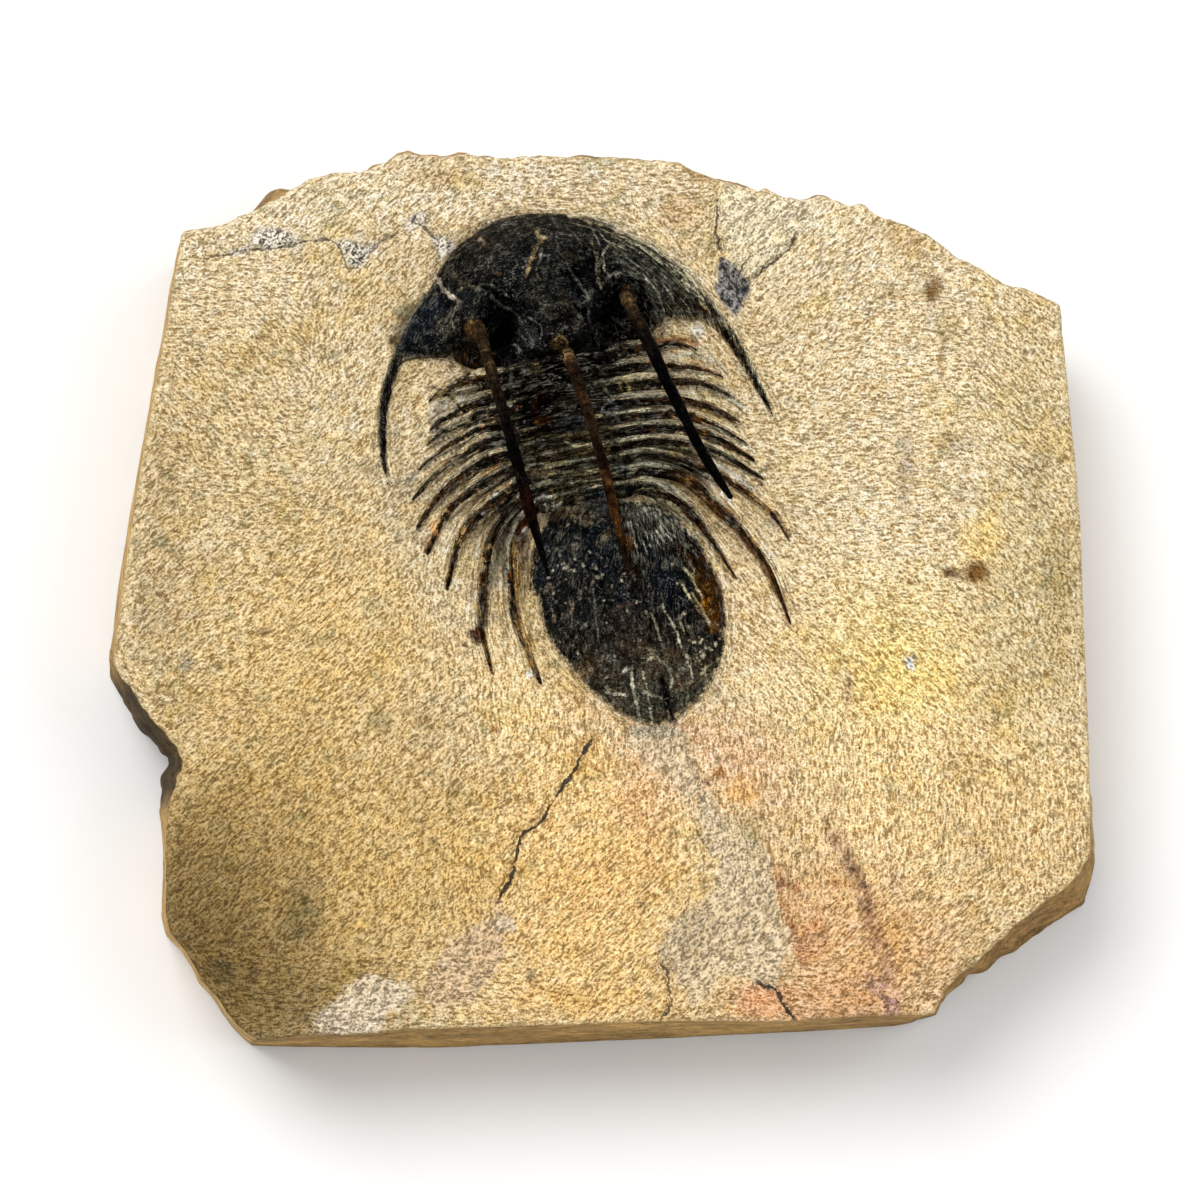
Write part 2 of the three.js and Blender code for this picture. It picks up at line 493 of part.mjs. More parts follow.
function slab() {
  const across = 30,
    down = 28;
  const back = slabSide(SLAB_BACK, across, T - 3),
    front = slabSide(SLAB_FRONT, across, 0),
    left = slabSide(SLAB_LEFT, down, 0),
    rightSide = slabSide(SLAB_RIGHT, down, 0);
  const positions = [],
    index = [];
  const push = (x, y, z) => positions.push(x, y, z) / 3 - 1;
  // the top face: a grid stretched between the four edges
  const top = [];
  for (let j = 0; j <= down; j++) {
    top.push([]);
    for (let i = 0; i <= across; i++) {
      const u = i / across,
        v = j / down;
      const mix = (k) =>
        (1 - v) * back[i][0][k] + v * front[i][0][k] + (1 - u) * left[j][0][k] + u * rightSide[j][0][k] -
        ((1 - u) * (1 - v) * back[0][0][k] + u * (1 - v) * back[across][0][k] +
          (1 - u) * v * front[0][0][k] + u * v * front[across][0][k]);
      top[j].push(push(mix("x"), mix("y"), T));
    }
  }
  for (let j = 0; j < down; j++)
    for (let i = 0; i < across; i++) {
      const a = top[j][i],
        b = top[j][i + 1],
        c = top[j + 1][i],
        d = top[j + 1][i + 1];
      index.push(a, c, d, a, d, b);
    }
  // the walls: three rings round the outline, anticlockwise from above
  const ring = [
    ...left.map((s, j) => [s, top[j][0]]).slice(0, -1),
    ...front.map((s, i) => [s, top[down][i]]).slice(0, -1),
    ...rightSide.map((s, j) => [s, top[j][across]]).reverse().slice(0, -1),
    ...back.map((s, i) => [s, top[0][i]]).reverse().slice(0, -1),
  ];
  const mids = ring.map(([s]) => push(s[1].x, s[1].y, T - 4));
  const lows = ring.map(([s]) => push(s[1].x * 0.3 + s[2].x * 0.7, s[1].y * 0.3 + s[2].y * 0.7, 5));
  const feet = ring.map(([s]) => push(s[2].x, s[2].y, 0));
  const tops = ring.map((r) => r[1]);
  const band = (upper, lower) => {
    for (let k = 0; k < upper.length; k++) {
      const n = (k + 1) % upper.length;
      index.push(upper[k], lower[k], lower[n], upper[k], lower[n], upper[n]);
    }
  };
  band(tops, mids);
  band(mids, lows);
  band(lows, feet);
  // the flat underside
  const outline = feet.map((f) => new THREE.Vector2(positions[f * 3], positions[f * 3 + 1]));
  for (const [a, b, c] of THREE.ShapeUtils.triangulateShape(outline, [])) {
    const area = (outline[b].x - outline[a].x) * (outline[c].y - outline[a].y) -
      (outline[c].x - outline[a].x) * (outline[b].y - outline[a].y);
    if (area > 0) index.push(feet[a], feet[c], feet[b]);
    else index.push(feet[a], feet[b], feet[c]);
  }
  const g = new THREE.BufferGeometry();
  g.setAttribute("position", new THREE.Float32BufferAttribute(positions, 3));
  g.setIndex(index);
  return g;
}

// ---------------------------------------------------------------- materials and assembly
const limestone = new THREE.MeshStandardMaterial({ color: 0xdcc496, roughness: 0.9, metalness: 0 });
const blackShell = new THREE.MeshStandardMaterial({ color: 0x24262a, roughness: 0.5, metalness: 0 });
const brownShell = new THREE.MeshStandardMaterial({ color: 0x5a4a38, roughness: 0.6, metalness: 0 });
const tailShell = new THREE.MeshStandardMaterial({ color: 0x35342f, roughness: 0.55, metalness: 0 });

function place(name, solid, material, parent) {
  // each piece is centred on itself and then placed
  const g = toGeometry(solid);
  g.computeBoundingBox();
  const c = g.boundingBox.getCenter(new THREE.Vector3());
  c.set(Math.round(c.x * 4) / 4, Math.round(c.y * 4) / 4, Math.round(c.z * 4) / 4);
  g.translate(-c.x, -c.y, -c.z);
  g.computeVertexNormals();
  const mesh = new THREE.Mesh(g, material);
  mesh.name = name;
  mesh.position.copy(c);
  parent.add(mesh);
  return mesh;
}

const fossil = new THREE.Group();
const cephalon = new THREE.Group();
const thorax = new THREE.Group();
fossil.add(cephalon, thorax);

place("matrix_slab", toManifold(slab()), limestone, fossil);

const G = JOINT_GAP * 10;
const headPlate = (inset, prism) =>
  toManifold(roundPlate(CRANIDIUM_EDGE, [552, 290], 40, 8, headHeight, inset, prism));
const head = headPlate(G)
  .add(toManifold(taperedSpine(EYE_SPINE_LEFT)))
  .add(toManifold(taperedSpine(EYE_SPINE_RIGHT)))
  .add(toManifold(taperedSpine(NECK_SPINE)));
place("cranidium", head, blackShell, cephalon);

const headPrism = headPlate(-1, true);
const leftCheek = trimmed(toManifold(cheek(CHEEK_LEFT, 16, 3, G)), headPrism);
const rightCheek = trimmed(toManifold(cheek(CHEEK_RIGHT, 14, 3, G)), headPrism);
place("librigena_left", leftCheek, blackShell, cephalon);
place("librigena_right", rightCheek, blackShell, cephalon);

const clear = [
  headPrism,
  toManifold(taperedSpine(NECK_SPINE, 0.3)),
  toManifold(cheek(CHEEK_LEFT, 16, 3, -G, true)),
  toManifold(cheek(CHEEK_RIGHT, 14, 3, -G, true)),
];
for (let i = 0; i < 10; i++) {
  const plate = trimmed(toManifold(segment(i)), ...clear);
  place("thoracic_segment_" + String(i + 1).padStart(2, "0"), plate, brownShell, thorax);
  clear.push(toManifold(segment(i, G)));
}

const tail = trimmed(toManifold(roundPlate(TAIL_EDGE, [630, 606], 34, 6, tailHeight, 0)), ...clear);
place("pygidium", tail, tailShell, fossil);

export default fossil;
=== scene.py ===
import math

import bpy
import numpy as np
from mathutils import Matrix, Vector
from mathutils.kdtree import KDTree


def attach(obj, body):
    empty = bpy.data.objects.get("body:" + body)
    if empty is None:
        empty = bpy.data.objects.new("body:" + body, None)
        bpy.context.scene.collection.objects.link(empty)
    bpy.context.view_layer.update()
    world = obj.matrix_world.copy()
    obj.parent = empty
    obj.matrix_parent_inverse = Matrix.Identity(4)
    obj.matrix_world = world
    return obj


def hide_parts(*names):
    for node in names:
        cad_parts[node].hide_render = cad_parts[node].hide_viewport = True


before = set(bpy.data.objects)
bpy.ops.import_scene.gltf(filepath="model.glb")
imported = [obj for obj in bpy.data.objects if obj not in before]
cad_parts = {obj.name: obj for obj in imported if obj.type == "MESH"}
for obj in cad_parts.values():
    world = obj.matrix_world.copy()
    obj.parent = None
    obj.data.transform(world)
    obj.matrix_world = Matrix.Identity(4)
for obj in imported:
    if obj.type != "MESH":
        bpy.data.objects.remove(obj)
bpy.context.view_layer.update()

# =====================================================================================================
# The fossil lies on its slab. Outlines and markings are drawn on a plan sheet, in tenths of a
# millimetre (x right, y down), looked at from one eye point; lift() carries a drawn point to its height.
# =====================================================================================================
TOP = 17.0  # the slab's top face, in millimetres
EYE_DISTANCE = 420.0
EYE_TILT = math.radians(11)
EYE_TURN = math.radians(12)
ORIGIN = np.array([0.78, 1.63, 0.0])

EYE = np.array(
    [
        -EYE_DISTANCE * math.sin(EYE_TILT) * math.sin(EYE_TURN),
        -EYE_DISTANCE * math.sin(EYE_TILT) * math.cos(EYE_TURN),
        TOP + EYE_DISTANCE * math.cos(EYE_TILT),
    ]
)
FORWARD = np.array([0, 0, TOP]) - EYE
FORWARD /= np.linalg.norm(FORWARD)
RIGHT = np.cross(FORWARD, [0, 1, 0])
RIGHT /= np.linalg.norm(RIGHT)
UP = np.cross(RIGHT, FORWARD)


def lift(x, y, z):
    """Sheet points seen from the eye, at height z in mm, in the row frame in mm."""
    x, y, z = np.broadcast_arrays(np.asarray(x, float), np.asarray(y, float), np.asarray(z, float))
    ray = (
        FORWARD
        + RIGHT * ((x - 600) / 10 / EYE_DISTANCE)[..., None]
        + UP * ((600 - y) / 10 / EYE_DISTANCE)[..., None]
    )
    t = (z - EYE[2]) / ray[..., 2]
    p = EYE + ray * t[..., None] - ORIGIN
    p[..., 2] = z
    return p


# ----------------------------------------------------------------------------------------------- noise
def _hash(ix, iy, seed):
    n = (ix * 374761393 + iy * 668265263 + seed * 1442695041) & 0xFFFFFFFF
    n = ((n ^ (n >> 13)) * 1274126177) & 0xFFFFFFFF
    n = (n ^ (n >> 16)) & 0xFFFFFFFF
    return n / 2147483647.5 - 1.0


def noise(x, y, seed=0):
    """Smooth value noise, -1 to 1."""
    x, y = np.broadcast_arrays(np.asarray(x, float), np.asarray(y, float))
    ix, iy = np.floor(x).astype(np.int64), np.floor(y).astype(np.int64)
    fx, fy = x - ix, y - iy
    u, v = fx * fx * (3 - 2 * fx), fy * fy * (3 - 2 * fy)
    a, b = _hash(ix, iy, seed), _hash(ix + 1, iy, seed)
    c, d = _hash(ix, iy + 1, seed), _hash(ix + 1, iy + 1, seed)
    return (a * (1 - u) + b * u) * (1 - v) + (c * (1 - u) + d * u) * v


def fbm(x, y, seed=0, octaves=4, gain=0.5):
    total, amp, norm = 0.0, 1.0, 0.0
    for k in range(octaves):
        total = total + amp * noise(x * 2**k + 17.3 * k, y * 2**k - 9.1 * k, seed + k)
        norm += amp
        amp *= gain
    return total / norm


def smooth(a, b, x):
    t = np.clip((x - a) / (b - a), 0, 1)
    return t * t * (3 - 2 * t)


def linear(rgb):
    """sRGB 0-255 to linear."""
    c = np.asarray(rgb, float) / 255
    return np.where(c <= 0.04045, c / 12.92, ((c + 0.055) / 1.055) ** 2.4)


# ----------------------------------------------------------------------------------------- polylines
def arc(points):
    points = np.asarray(points, float)
    return np.concatenate([[0], np.cumsum(np.hypot(*(np.diff(points[:, :2], axis=0).T)))])


def at(points, t):
    """Values of a polyline of rows at fractions t of its length."""
    points = np.asarray(points, float)
    s = arc(points)
    t = np.asarray(t, float) * s[-1]
    return np.stack([np.interp(t, s, points[:, k]) for k in range(points.shape[1])], -1)


def rounded(points, closed=False, n=12):
    """A Catmull-Rom curve through the points."""
    p = np.asarray(points, float)
    if closed:
        p = np.concatenate([p[-1:], p, p[:2]])
    else:
        p = np.concatenate([2 * p[:1] - p[1:2], p, 2 * p[-1:] - p[-2:-1]])
    out = []
    for i in range(1, len(p) - 2):
        a, b, c, d = p[i - 1], p[i], p[i + 1], p[i + 2]
        for t in np.arange(n) / n:
            out.append(
                0.5 * (2 * b + (c - a) * t + (2 * a - 5 * b + 4 * c - d) * t * t + (3 * b - a - 3 * c + d) * t**3)
            )
    if not closed:
        out.append(p[-2])
    return np.array(out)


def line_distance(x, y, points):
    """Distance to a polyline, with the fraction along it and the side (+1 on its left when walking it)."""
    p = np.asarray(points, float)[:, :2]
    s = arc(p)
    best = np.full(x.shape, 1e9)
    along = np.zeros(x.shape)
    side = np.ones(x.shape)
    for i in range(len(p) - 1):
        dx, dy = p[i + 1] - p[i]
        ll = dx * dx + dy * dy
        if ll == 0:
            continue
        t = np.clip(((x - p[i, 0]) * dx + (y - p[i, 1]) * dy) / ll, 0, 1)
        ex, ey = x - p[i, 0] - t * dx, y - p[i, 1] - t * dy
        d = np.hypot(ex, ey)
        m = d < best
        best = np.where(m, d, best)
        along = np.where(m, (s[i] + t * math.sqrt(ll)) / s[-1], along)
        side = np.where(m, np.sign(dx * ey - dy * ex), side)
    return best, along, side


def inside_distance(x, y, edge):
    """Distance to a closed outline, negative outside."""
    e = np.asarray(edge, float)
    d, _, _ = line_distance(x, y, np.concatenate([e, e[:1]]))
    inside = np.zeros(x.shape, bool)
    j = len(e) - 1
    for i in range(len(e)):
        (xa, ya), (xb, yb) = e[j], e[i]
        if ya != yb:
            inside ^= ((yb > y) != (ya > y)) & (x < (xa - xb) * (y - yb) / (ya - yb) + xb)
        j = i
    return np.where(inside, d, -d)


def swell(x, y, cx, cy, rx, ry, turn=0, power=1.5):
    c, s = math.cos(math.radians(turn)), math.sin(math.radians(turn))
    u = ((x - cx) * c + (y - cy) * s) / rx
    v = (-(x - cx) * s + (y - cy) * c) / ry
    return np.clip(1 - u * u - v * v, 0, None) ** power


# =====================================================================================================
# Outlines (the same as the solids')
# =====================================================================================================
SLAB_LEFT = [
    (183, 232, 177, 264), (176, 272, 169, 302), (169, 312, 163, 340), (162, 352, 155, 378), (155, 392, 149, 414),
    (148, 430, 143, 450), (141, 470, 136, 486), (135, 508, 130, 521), (129, 545, 124, 555), (124, 580, 119, 587),
    (120, 615, 115, 616), (116, 645, 112, 645), (114, 665, 110, 662), (122, 678, 111, 678), (132, 688, 119, 693),
    (140.5, 705, 126, 705), (151, 718, 130, 722), (160, 727, 141, 735), (168, 735, 153, 746), (176, 745, 162, 754),
    (183, 757, 168, 759), (184, 766, 166, 769), (179, 777, 161, 779), (174, 791, 158.5, 795), (169, 808, 158.5, 812),
    (165, 830, 162, 833), (166, 850, 163, 850), (166, 875, 163, 875), (166, 897, 162.5, 897), (166, 917, 161.5, 918),
    (170, 932, 166, 936), (184, 949, 181, 951), (195, 966, 192, 968), (202, 981, 198.5, 983), (217, 997, 213.5, 999),
    (226, 1011, 222, 1013), (237, 1025, 233, 1028), (249, 1035, 244, 1039), (258, 1040, 252, 1045.5),
]
SLAB_FRONT = [
    (258, 1040, 252, 1045.5), (281, 1038.5, 280, 1046.5), (309, 1034.7, 309, 1047), (340, 1035, 340, 1047.5),
    (376, 1033, 376, 1048), (400, 1029.5, 400, 1048), (440, 1028.3, 440, 1048), (480, 1027, 480, 1046.6),
    (530, 1025.5, 531, 1044.4), (580, 1024, 580, 1042.5), (630, 1022, 630, 1040.3), (670, 1021, 670, 1038.6),
    (720, 1020.5, 720, 1036), (760, 1022, 760, 1034.3), (800, 1020.3, 800, 1032.6), (837, 1018, 837, 1030.5),
    (861, 1016, 866, 1028.5), (890, 1015.5, 895, 1026.7), (909, 1015, 912, 1023), (922, 1014.8, 920, 1018),
    (934, 1012, 934, 1013),
]
N = math.nan
SLAB_RIGHT = [
    (1060, 306, N, N), (1062, 330, N, N), (1065, 360, N, N), (1069, 400, N, N), (1073, 440, N, N), (1077, 480, N, N),
    (1080, 520, N, N), (1081.5, 560, N, N), (1083, 600, N, N), (1085, 650, N, N), (1087, 700, N, N), (1089, 750, N, N),
    (1090, 800, 1090, 800), (1090, 835, 1091, 840), (1090, 855, 1091, 864), (1079, 874.5, 1090, 885),
    (1065, 889, 1085, 906), (1045, 901, 1064, 917), (1031, 913, 1046, 926), (1016, 925, 1031, 935),
    (1002, 939, 1019, 948), (987, 952, 1003, 956), (973, 964, 983, 968), (958, 976, 965, 977.5), (946, 988, 951, 985),
    (939, 1000, 941, 996), (934, 1012, 934, 1013),
]
SLAB_BACK = [
    (183, 232, 183, 232), (200, 229, 200, 226), (222, 225.5, 222, 223), (238, 217, 238, 215), (252, 212, 251, 211),
    (262, 207, 261, 199), (272, 202, 270, 190), (283, 195, 281, 186.5), (293, 190, 292, 188), (303, 184.5, 303, 184),
    (316, 177, N, N), (330, 174, N, N), (345, 173.5, N, N), (360, 171.5, N, N), (369, 170, 367, 166),
    (378, 167, 374, 162), (387, 161.5, 386, 160.5), (398, 156, 398, 155), (408, 153, 407, 150.5), (420, 156, 420, 152),
    (440, 157, 440, 154), (455, 156, 455, 153), (465, 154, 465, 152), (480, 157, 480, 155), (503, 159, 503, 158),
    (520, 157, N, N), (540, 156, N, N), (560, 157, N, N), (580, 157.5, N, N), (600, 158, N, N), (618, 158.5, N, N),
    (640, 160, N, N), (660, 160, N, N), (678, 162, 680, 161), (690, 168.5, 691, 166), (705, 176, 706, 172),
    (720, 180, 720, 177), (735, 185, 737, 181.5), (752, 190, 752, 188), (758, 192, N, N), (765, 189, N, N),
    (775, 193, N, N), (785, 198, N, N), (800, 200.5, N, N), (815, 197, N, N), (825, 197, N, N), (838, 202, N, N),
    (848, 206, N, N), (860, 204.5, 860, 203), (870, 210, 871, 208), (882, 217, 883, 215), (895, 222, N, N),
    (910, 227, N, N), (925, 233, N, N), (935, 241, N, N), (945, 249, N, N), (957, 258, N, N), (970, 263, N, N),
    (980, 269, N, N), (990, 275, N, N), (1003, 284, N, N), (1015, 287, N, N), (1028, 289.5, 1029, 288),
    (1040, 296, 1041, 292), (1050, 301, 1051, 298), (1060, 306, 1060, 304),
]
HEAD_EDGE = [
    (396, 352), (402, 336), (412, 317), (424, 299), (434, 281), (438, 272), (443, 264), (454, 250), (468, 237),
    (482, 228), (500, 219), (520, 215), (545, 213), (570, 215), (592, 220), (612, 226), (632, 234), (655, 247),
    (672, 260), (688, 273), (703, 289), (716, 305), (722, 316), (700, 320), (668, 320), (650, 336), (606, 352),
    (570, 366), (530, 370), (505, 374), (470, 370), (455, 362), (430, 357),
]
CRANIDIUM_EDGE = [
    (470, 238), (482, 228), (500, 219), (520, 215), (545, 213), (570, 215), (592, 220), (612, 226), (633, 235),
    (643, 256), (654, 276), (661, 296), (665, 310), (660, 322), (646, 333), (626, 340), (604, 348), (588, 356),
    (570, 361), (550, 361), (530, 362), (508, 366), (486, 366), (468, 365), (457, 358), (454, 340), (452, 322),
    (453, 304), (450, 289), (452, 274), (460, 257),
]
CHEEK_LEFT = [
    (467, 238, 470, 240), (454, 250, 460, 257), (443, 264, 452, 274), (434, 281, 450, 289), (424, 299, 453, 304),
    (412, 317, 452, 322), (403, 334, 454, 340), (396, 350, 442, 356), (390, 362, 406, 361), (385, 378, 396, 380),
    (380, 400, 390, 402), (378, 424, 387, 424), (379, 448, 387, 448), (382, 467, 387.5, 467), (386, 483, 388.5, 483),
]
CHEEK_RIGHT = [
    (635, 236, 633, 238), (655, 247, 643, 256), (672, 260, 654, 276), (688, 273, 661, 296), (703, 289, 666, 308),
    (716, 305, 680, 317), (728, 321, 704, 322), (739, 339, 723, 338), (751, 361, 740, 363), (761, 382, 753, 385),
    (769, 401, 764, 402), (773.5, 414, 771, 415),
]
RIBS_LEFT = [
    [(508, 377), (490, 379), (472, 381), (455, 386), (444, 391), (436, 395), (430, 400)],
    [(509, 394), (492, 401), (476, 404), (462, 409), (448, 417), (438, 423), (431, 429)],
    [(510, 410), (492, 413), (476, 417), (460, 425), (446, 431), (437, 436), (428, 444)],
    [(512, 425), (496, 426), (480, 429), (465, 437), (450, 444), (434, 455), (420, 468)],
    [(515, 440), (497, 442), (482, 444), (466, 452), (448, 463), (432, 477), (413, 498)],
    [(519, 454), (504, 457), (488, 462), (472, 469), (455, 480), (437, 498), (417, 527)],
    [(523, 466), (508, 470), (494, 477), (478, 487), (460, 499), (444, 518), (427, 552)],
    [(528, 480), (514, 489), (500, 499), (484, 509), (468, 525), (457, 547), (447, 587)],
    [(533, 494), (519, 503), (506, 517), (493, 533), (485, 556), (480, 595), (479, 625), (485, 650), (491, 672)],
    [(538, 507), (528, 519), (519, 533), (513, 552), (512, 580), (513, 605), (519, 630), (529, 655), (540, 682)],
]
RIBS_RIGHT = [
    [(606, 359), (626, 352), (645, 347), (662, 344), (675, 343), (686, 345), (696, 349)],
    [(610, 372), (630, 368), (652, 365), (676, 366), (695, 368), (709, 371), (722, 376)],
    [(611, 388), (632, 385), (655, 383), (678, 382), (698, 383), (716, 388), (732, 397)],
    [(614, 406), (634, 403), (655, 401), (678, 400), (698, 404), (718, 411), (738, 421)],
    [(616, 420), (634, 417), (655, 415), (678, 415), (700, 419), (722, 429), (746, 443)],
    [(619, 433), (636, 430), (655, 429), (678, 429), (700, 432), (726, 442), (753, 459)],
    [(623, 446), (640, 443), (657, 442), (678, 443), (700, 447), (730, 459), (762, 477)],
    [(628, 459), (645, 456), (662, 456), (682, 460), (705, 468), (731, 481), (758, 500), (775, 516), (788, 537)],
    [(631, 473), (648, 470), (665, 470), (685, 474), (703, 486), (722, 507), (743, 530), (760, 553), (775, 579),
     (791, 624)],
    [(634, 488), (648, 487), (662, 492), (680, 504), (696, 520), (709, 538), (720, 553), (729, 567), (736, 577)],
]
TAIL_EDGE = [
    (553, 509), (580, 500), (608, 497), (636, 500), (656, 503), (672, 513), (687, 528), (700, 544), (711, 562),
    (719, 580), (724, 600), (726, 618), (725, 638), (721, 658), (714, 677), (704, 693), (690, 706), (676, 718),
    (661, 726), (645, 725), (628, 717), (609, 707), (593, 693), (580, 680), (567, 664), (555, 648), (545, 630),
    (541, 608), (539, 596), (532, 592), (531, 575), (533, 556), (537, 540), (544, 523),
]
EYE_SPINE_LEFT = [
    (477, 325, 5.0, 1.9), (479, 331, 8.4, 1.5), (485, 350, 11.2, 1.2), (498, 394, 13.2, 1.1), (515, 455, 13.8, 1.1),
    (527, 500, 13.4, 1.2), (538, 540, 12.5, 0.8), (549, 577, 11.3, 0.3),
]
EYE_SPINE_RIGHT = [
    (626, 296, 5.0, 1.9), (629, 303, 8.4, 1.5), (640, 325, 11.2, 1.25), (655, 356, 12.8, 1.15), (675, 398, 13.8, 1.1),
    (698, 444, 14.0, 1.0), (716, 475, 13.5, 0.85), (732, 499, 12.8, 0.45),
]
NECK_SPINE = [
    (566, 350, 2.4, 1.9), (569, 358, 5.2, 1.7), (573, 368, 7.6, 1.5), (579, 385, 9.3, 1.15), (588, 412, 10.5, 1.0),
    (602, 460, 10.8, 0.95),
    (612, 500, 10.0, 0.95), (621, 540, 8.4, 0.8), (629, 572, 6.6, 0.35),
]

# =====================================================================================================
# Markings: drawn strokes. (points, width, colour 0-255, strength, relief in mm)
# =====================================================================================================
STROKES = []


def S(points, width, colour, strength=0.85, relief=0.0, taper=0.0):
    STROKES.append((rounded(points, n=5) if len(points) > 2 else np.array(points, float), width, linear(colour),
                    strength, relief, taper))


def B(x, y, rx, ry, turn, colour, strength=0.85, relief=0.0):
    STROKES.append(((x, y, rx, ry, turn), None, linear(colour), strength, relief, 0.0))


# --- head: glabella
B(520, 262, 82, 48, -10, (40, 40, 37), 0.6)
B(505, 232, 40, 16, -18, (58, 54, 47), 0.55)
B(560, 232, 30, 14, 8, (45, 44, 40), 0.5)
B(583, 268, 20, 24, 20, (6, 8, 10), 0.9, -0.5)
B(570, 258, 9, 6, 0, (70, 66, 48), 0.5)
B(600, 240, 9, 8, 0, (20, 26, 36), 0.8, -0.2)
B(541, 262, 12, 16, 0, (28, 34, 34), 0.5)
B(500, 290, 26, 14, 10, (8, 9, 10), 0.75)
B(462, 270, 8, 9, 0, (14, 15, 16), 0.8, -0.15)
B(545, 290, 22, 24, 0, (48, 48, 42), 0.5)
B(565, 296, 7, 10, 20, (66, 62, 52), 0.6)
B(520, 270, 14, 12, 0, (30, 32, 32), 0.5)
S([(537, 230), (541, 238), (537, 247), (533, 256), (529, 266), (526, 277)], 6, (150, 128, 90), 0.75, 0.06, 0.4)
S([(536, 231), (541, 235), (546, 238)], 3, (190, 172, 128), 0.8, 0.05)
S([(542, 250), (539, 262), (536, 270), (540, 280)], 2.2, (126, 124, 112), 0.7)
S([(555, 240), (560, 250), (562, 258)], 2.2, (96, 92, 78), 0.6)
S([(480, 239), (484, 244), (482, 247)], 5, (176, 150, 122), 0.8, 0.1)
S([(468, 244), (472, 240), (478, 232)], 3, (150, 118, 88), 0.6)
S([(452, 258), (458, 252), (464, 246)], 3, (110, 96, 76), 0.5)
S([(449, 272), (455, 276), (462, 284), (470, 282)], 6, (112, 104, 84), 0.6, 0.1)
S([(478, 262), (486, 268), (495, 272)], 4, (88, 80, 66), 0.45)
S([(494, 272), (500, 275)], 4, (118, 100, 74), 0.5)
S([(462, 262), (470, 268), (478, 270)], 5, (74, 70, 60), 0.45)
# white curved furrow line at the left, and arcs round the left eye lobe
S([(436, 276), (441, 286), (447, 293), (455, 299), (461, 302)], 6, (196, 180, 158), 0.85, 0.25, 0.3)
S([(444, 281), (450, 290), (456, 296)], 2.2, (40, 40, 40), 0.8)
S([(456, 292), (463, 288), (472, 287), (482, 290), (486, 293)], 4.5, (116, 112, 94), 0.75, 0.2, 0.3)
S([(450, 336), (449, 322), (453, 312), (460, 307), (470, 305)], 4.5, (116, 114, 92), 0.75, 0.25, 0.3)
S([(452, 322), (448, 330), (444, 342)], 3.5, (70, 68, 58), 0.7)
S([(455, 345), (459, 356), (466, 362)], 3, (84, 72, 50), 0.6)
B(472, 300, 18, 9, -10, (32, 38, 40), 0.75, 0.15)
B(478, 312, 10, 7, 30, (66, 66, 62), 0.5, 0.1)
# near-black pit beside the left eye lobe: painted shade in the deep recess, over the dark shell
B(498, 325, 19, 30, -6, (3, 4, 4), 0.97, -1.5)
B(470, 352, 12, 14, 0, (34, 22, 10), 0.7, -0.3)
S([(463, 350), (470, 362), (480, 364), (488, 364)], 3.5, (104, 62, 22), 0.7)
S([(458, 352), (463, 362), (470, 372)], 3, (70, 48, 22), 0.6)
S([(488, 292), (494, 299), (500, 305), (509, 309), (517, 314), (521, 322), (525, 330)], 3.6, (98, 98, 88), 0.75, 0.3, 0.4)
S([(516, 312), (520, 326), (518, 340), (520, 352)], 2.4, (110, 108, 98), 0.7, 0.1)
S([(513, 344), (518, 348), (520, 352)], 2.6, (190, 188, 176), 0.6)
B(529, 337, 9, 14, -20, (84, 86, 84), 0.7, 0.3)
S([(524, 326), (530, 336), (533, 344), (530, 350)], 2.2, (150, 150, 142), 0.6, 0.1)
S([(520, 334), (526, 342)], 2.0, (128, 128, 120), 0.6)
B(468, 326, 12, 11, 15, (20, 16, 10), 0.8)
B(475, 330, 9, 11, -15, (120, 86, 45), 0.85, 0.9)
S([(470, 322), (478, 326), (483, 335)], 3, (160, 126, 76), 0.6, 0.2)
S([(466, 336), (474, 340)], 3, (96, 60, 24), 0.7)
B(481, 333, 3, 4, 0, (20, 12, 4), 0.8)
S([(484, 338), (484, 345), (490, 352), (496, 352)], 4, (134, 116, 84), 0.7, 0.1)
# node ring on the neck and its surroundings
B(560, 343, 14, 15, 0, (8, 7, 6), 0.9, -0.2)
B(560, 344, 8.5, 8.5, 0, (104, 80, 48), 0.85, 0.5)
S([(554, 340), (560, 336), (566, 341), (566, 348), (560, 351)], 2.6, (148, 120, 78), 0.7, 0.15)
B(562, 346, 3, 4, 0, (26, 16, 8), 0.8)
S([(549, 321), (556, 320), (564, 320), (572, 319)], 2.6, (16, 15, 12), 0.8)
B(545, 312, 7, 8, 0, (90, 90, 84), 0.5, 0.1)
B(548, 328, 9, 7, 0, (60, 60, 56), 0.5)
B(578, 325, 6, 10, 0, (86, 84, 72), 0.6, 0.1)
S([(541, 305), (545, 313), (550, 319), (556, 318)], 2.6, (120, 112, 84), 0.6)
S([(575, 300), (582, 306), (588, 300), (592, 290)], 5, (112, 112, 104), 0.6, 0.2)
S([(583, 306), (585, 316), (588, 326), (593, 338), (595, 350)], 4, (4, 4, 4), 0.95, -0.4)
S([(588, 307), (589, 318), (593, 330)], 1.8, (110, 110, 104), 0.6)
# a bluish streak here is a painted sheen on the black shell
S([(566, 280), (572, 292), (578, 302)], 4.5, (30, 44, 54), 0.7)
S([(590, 342), (586, 352), (590, 356)], 3.5, (116, 98, 72), 0.55)
B(605, 310, 10, 16, 0, (36, 36, 32), 0.55)
S([(600, 318), (607, 323), (606, 328)], 2.6, (76, 70, 60), 0.5)
S([(604, 332), (614, 333), (624, 332)], 1.8, (52, 52, 48), 0.6)
B(540, 372, 46, 12, -6, (6, 5, 4), 0.9)
B(598, 356, 18, 16, 0, (6, 5, 4), 0.9)
B(618, 350, 12, 9, 0, (40, 20, 10), 0.6)
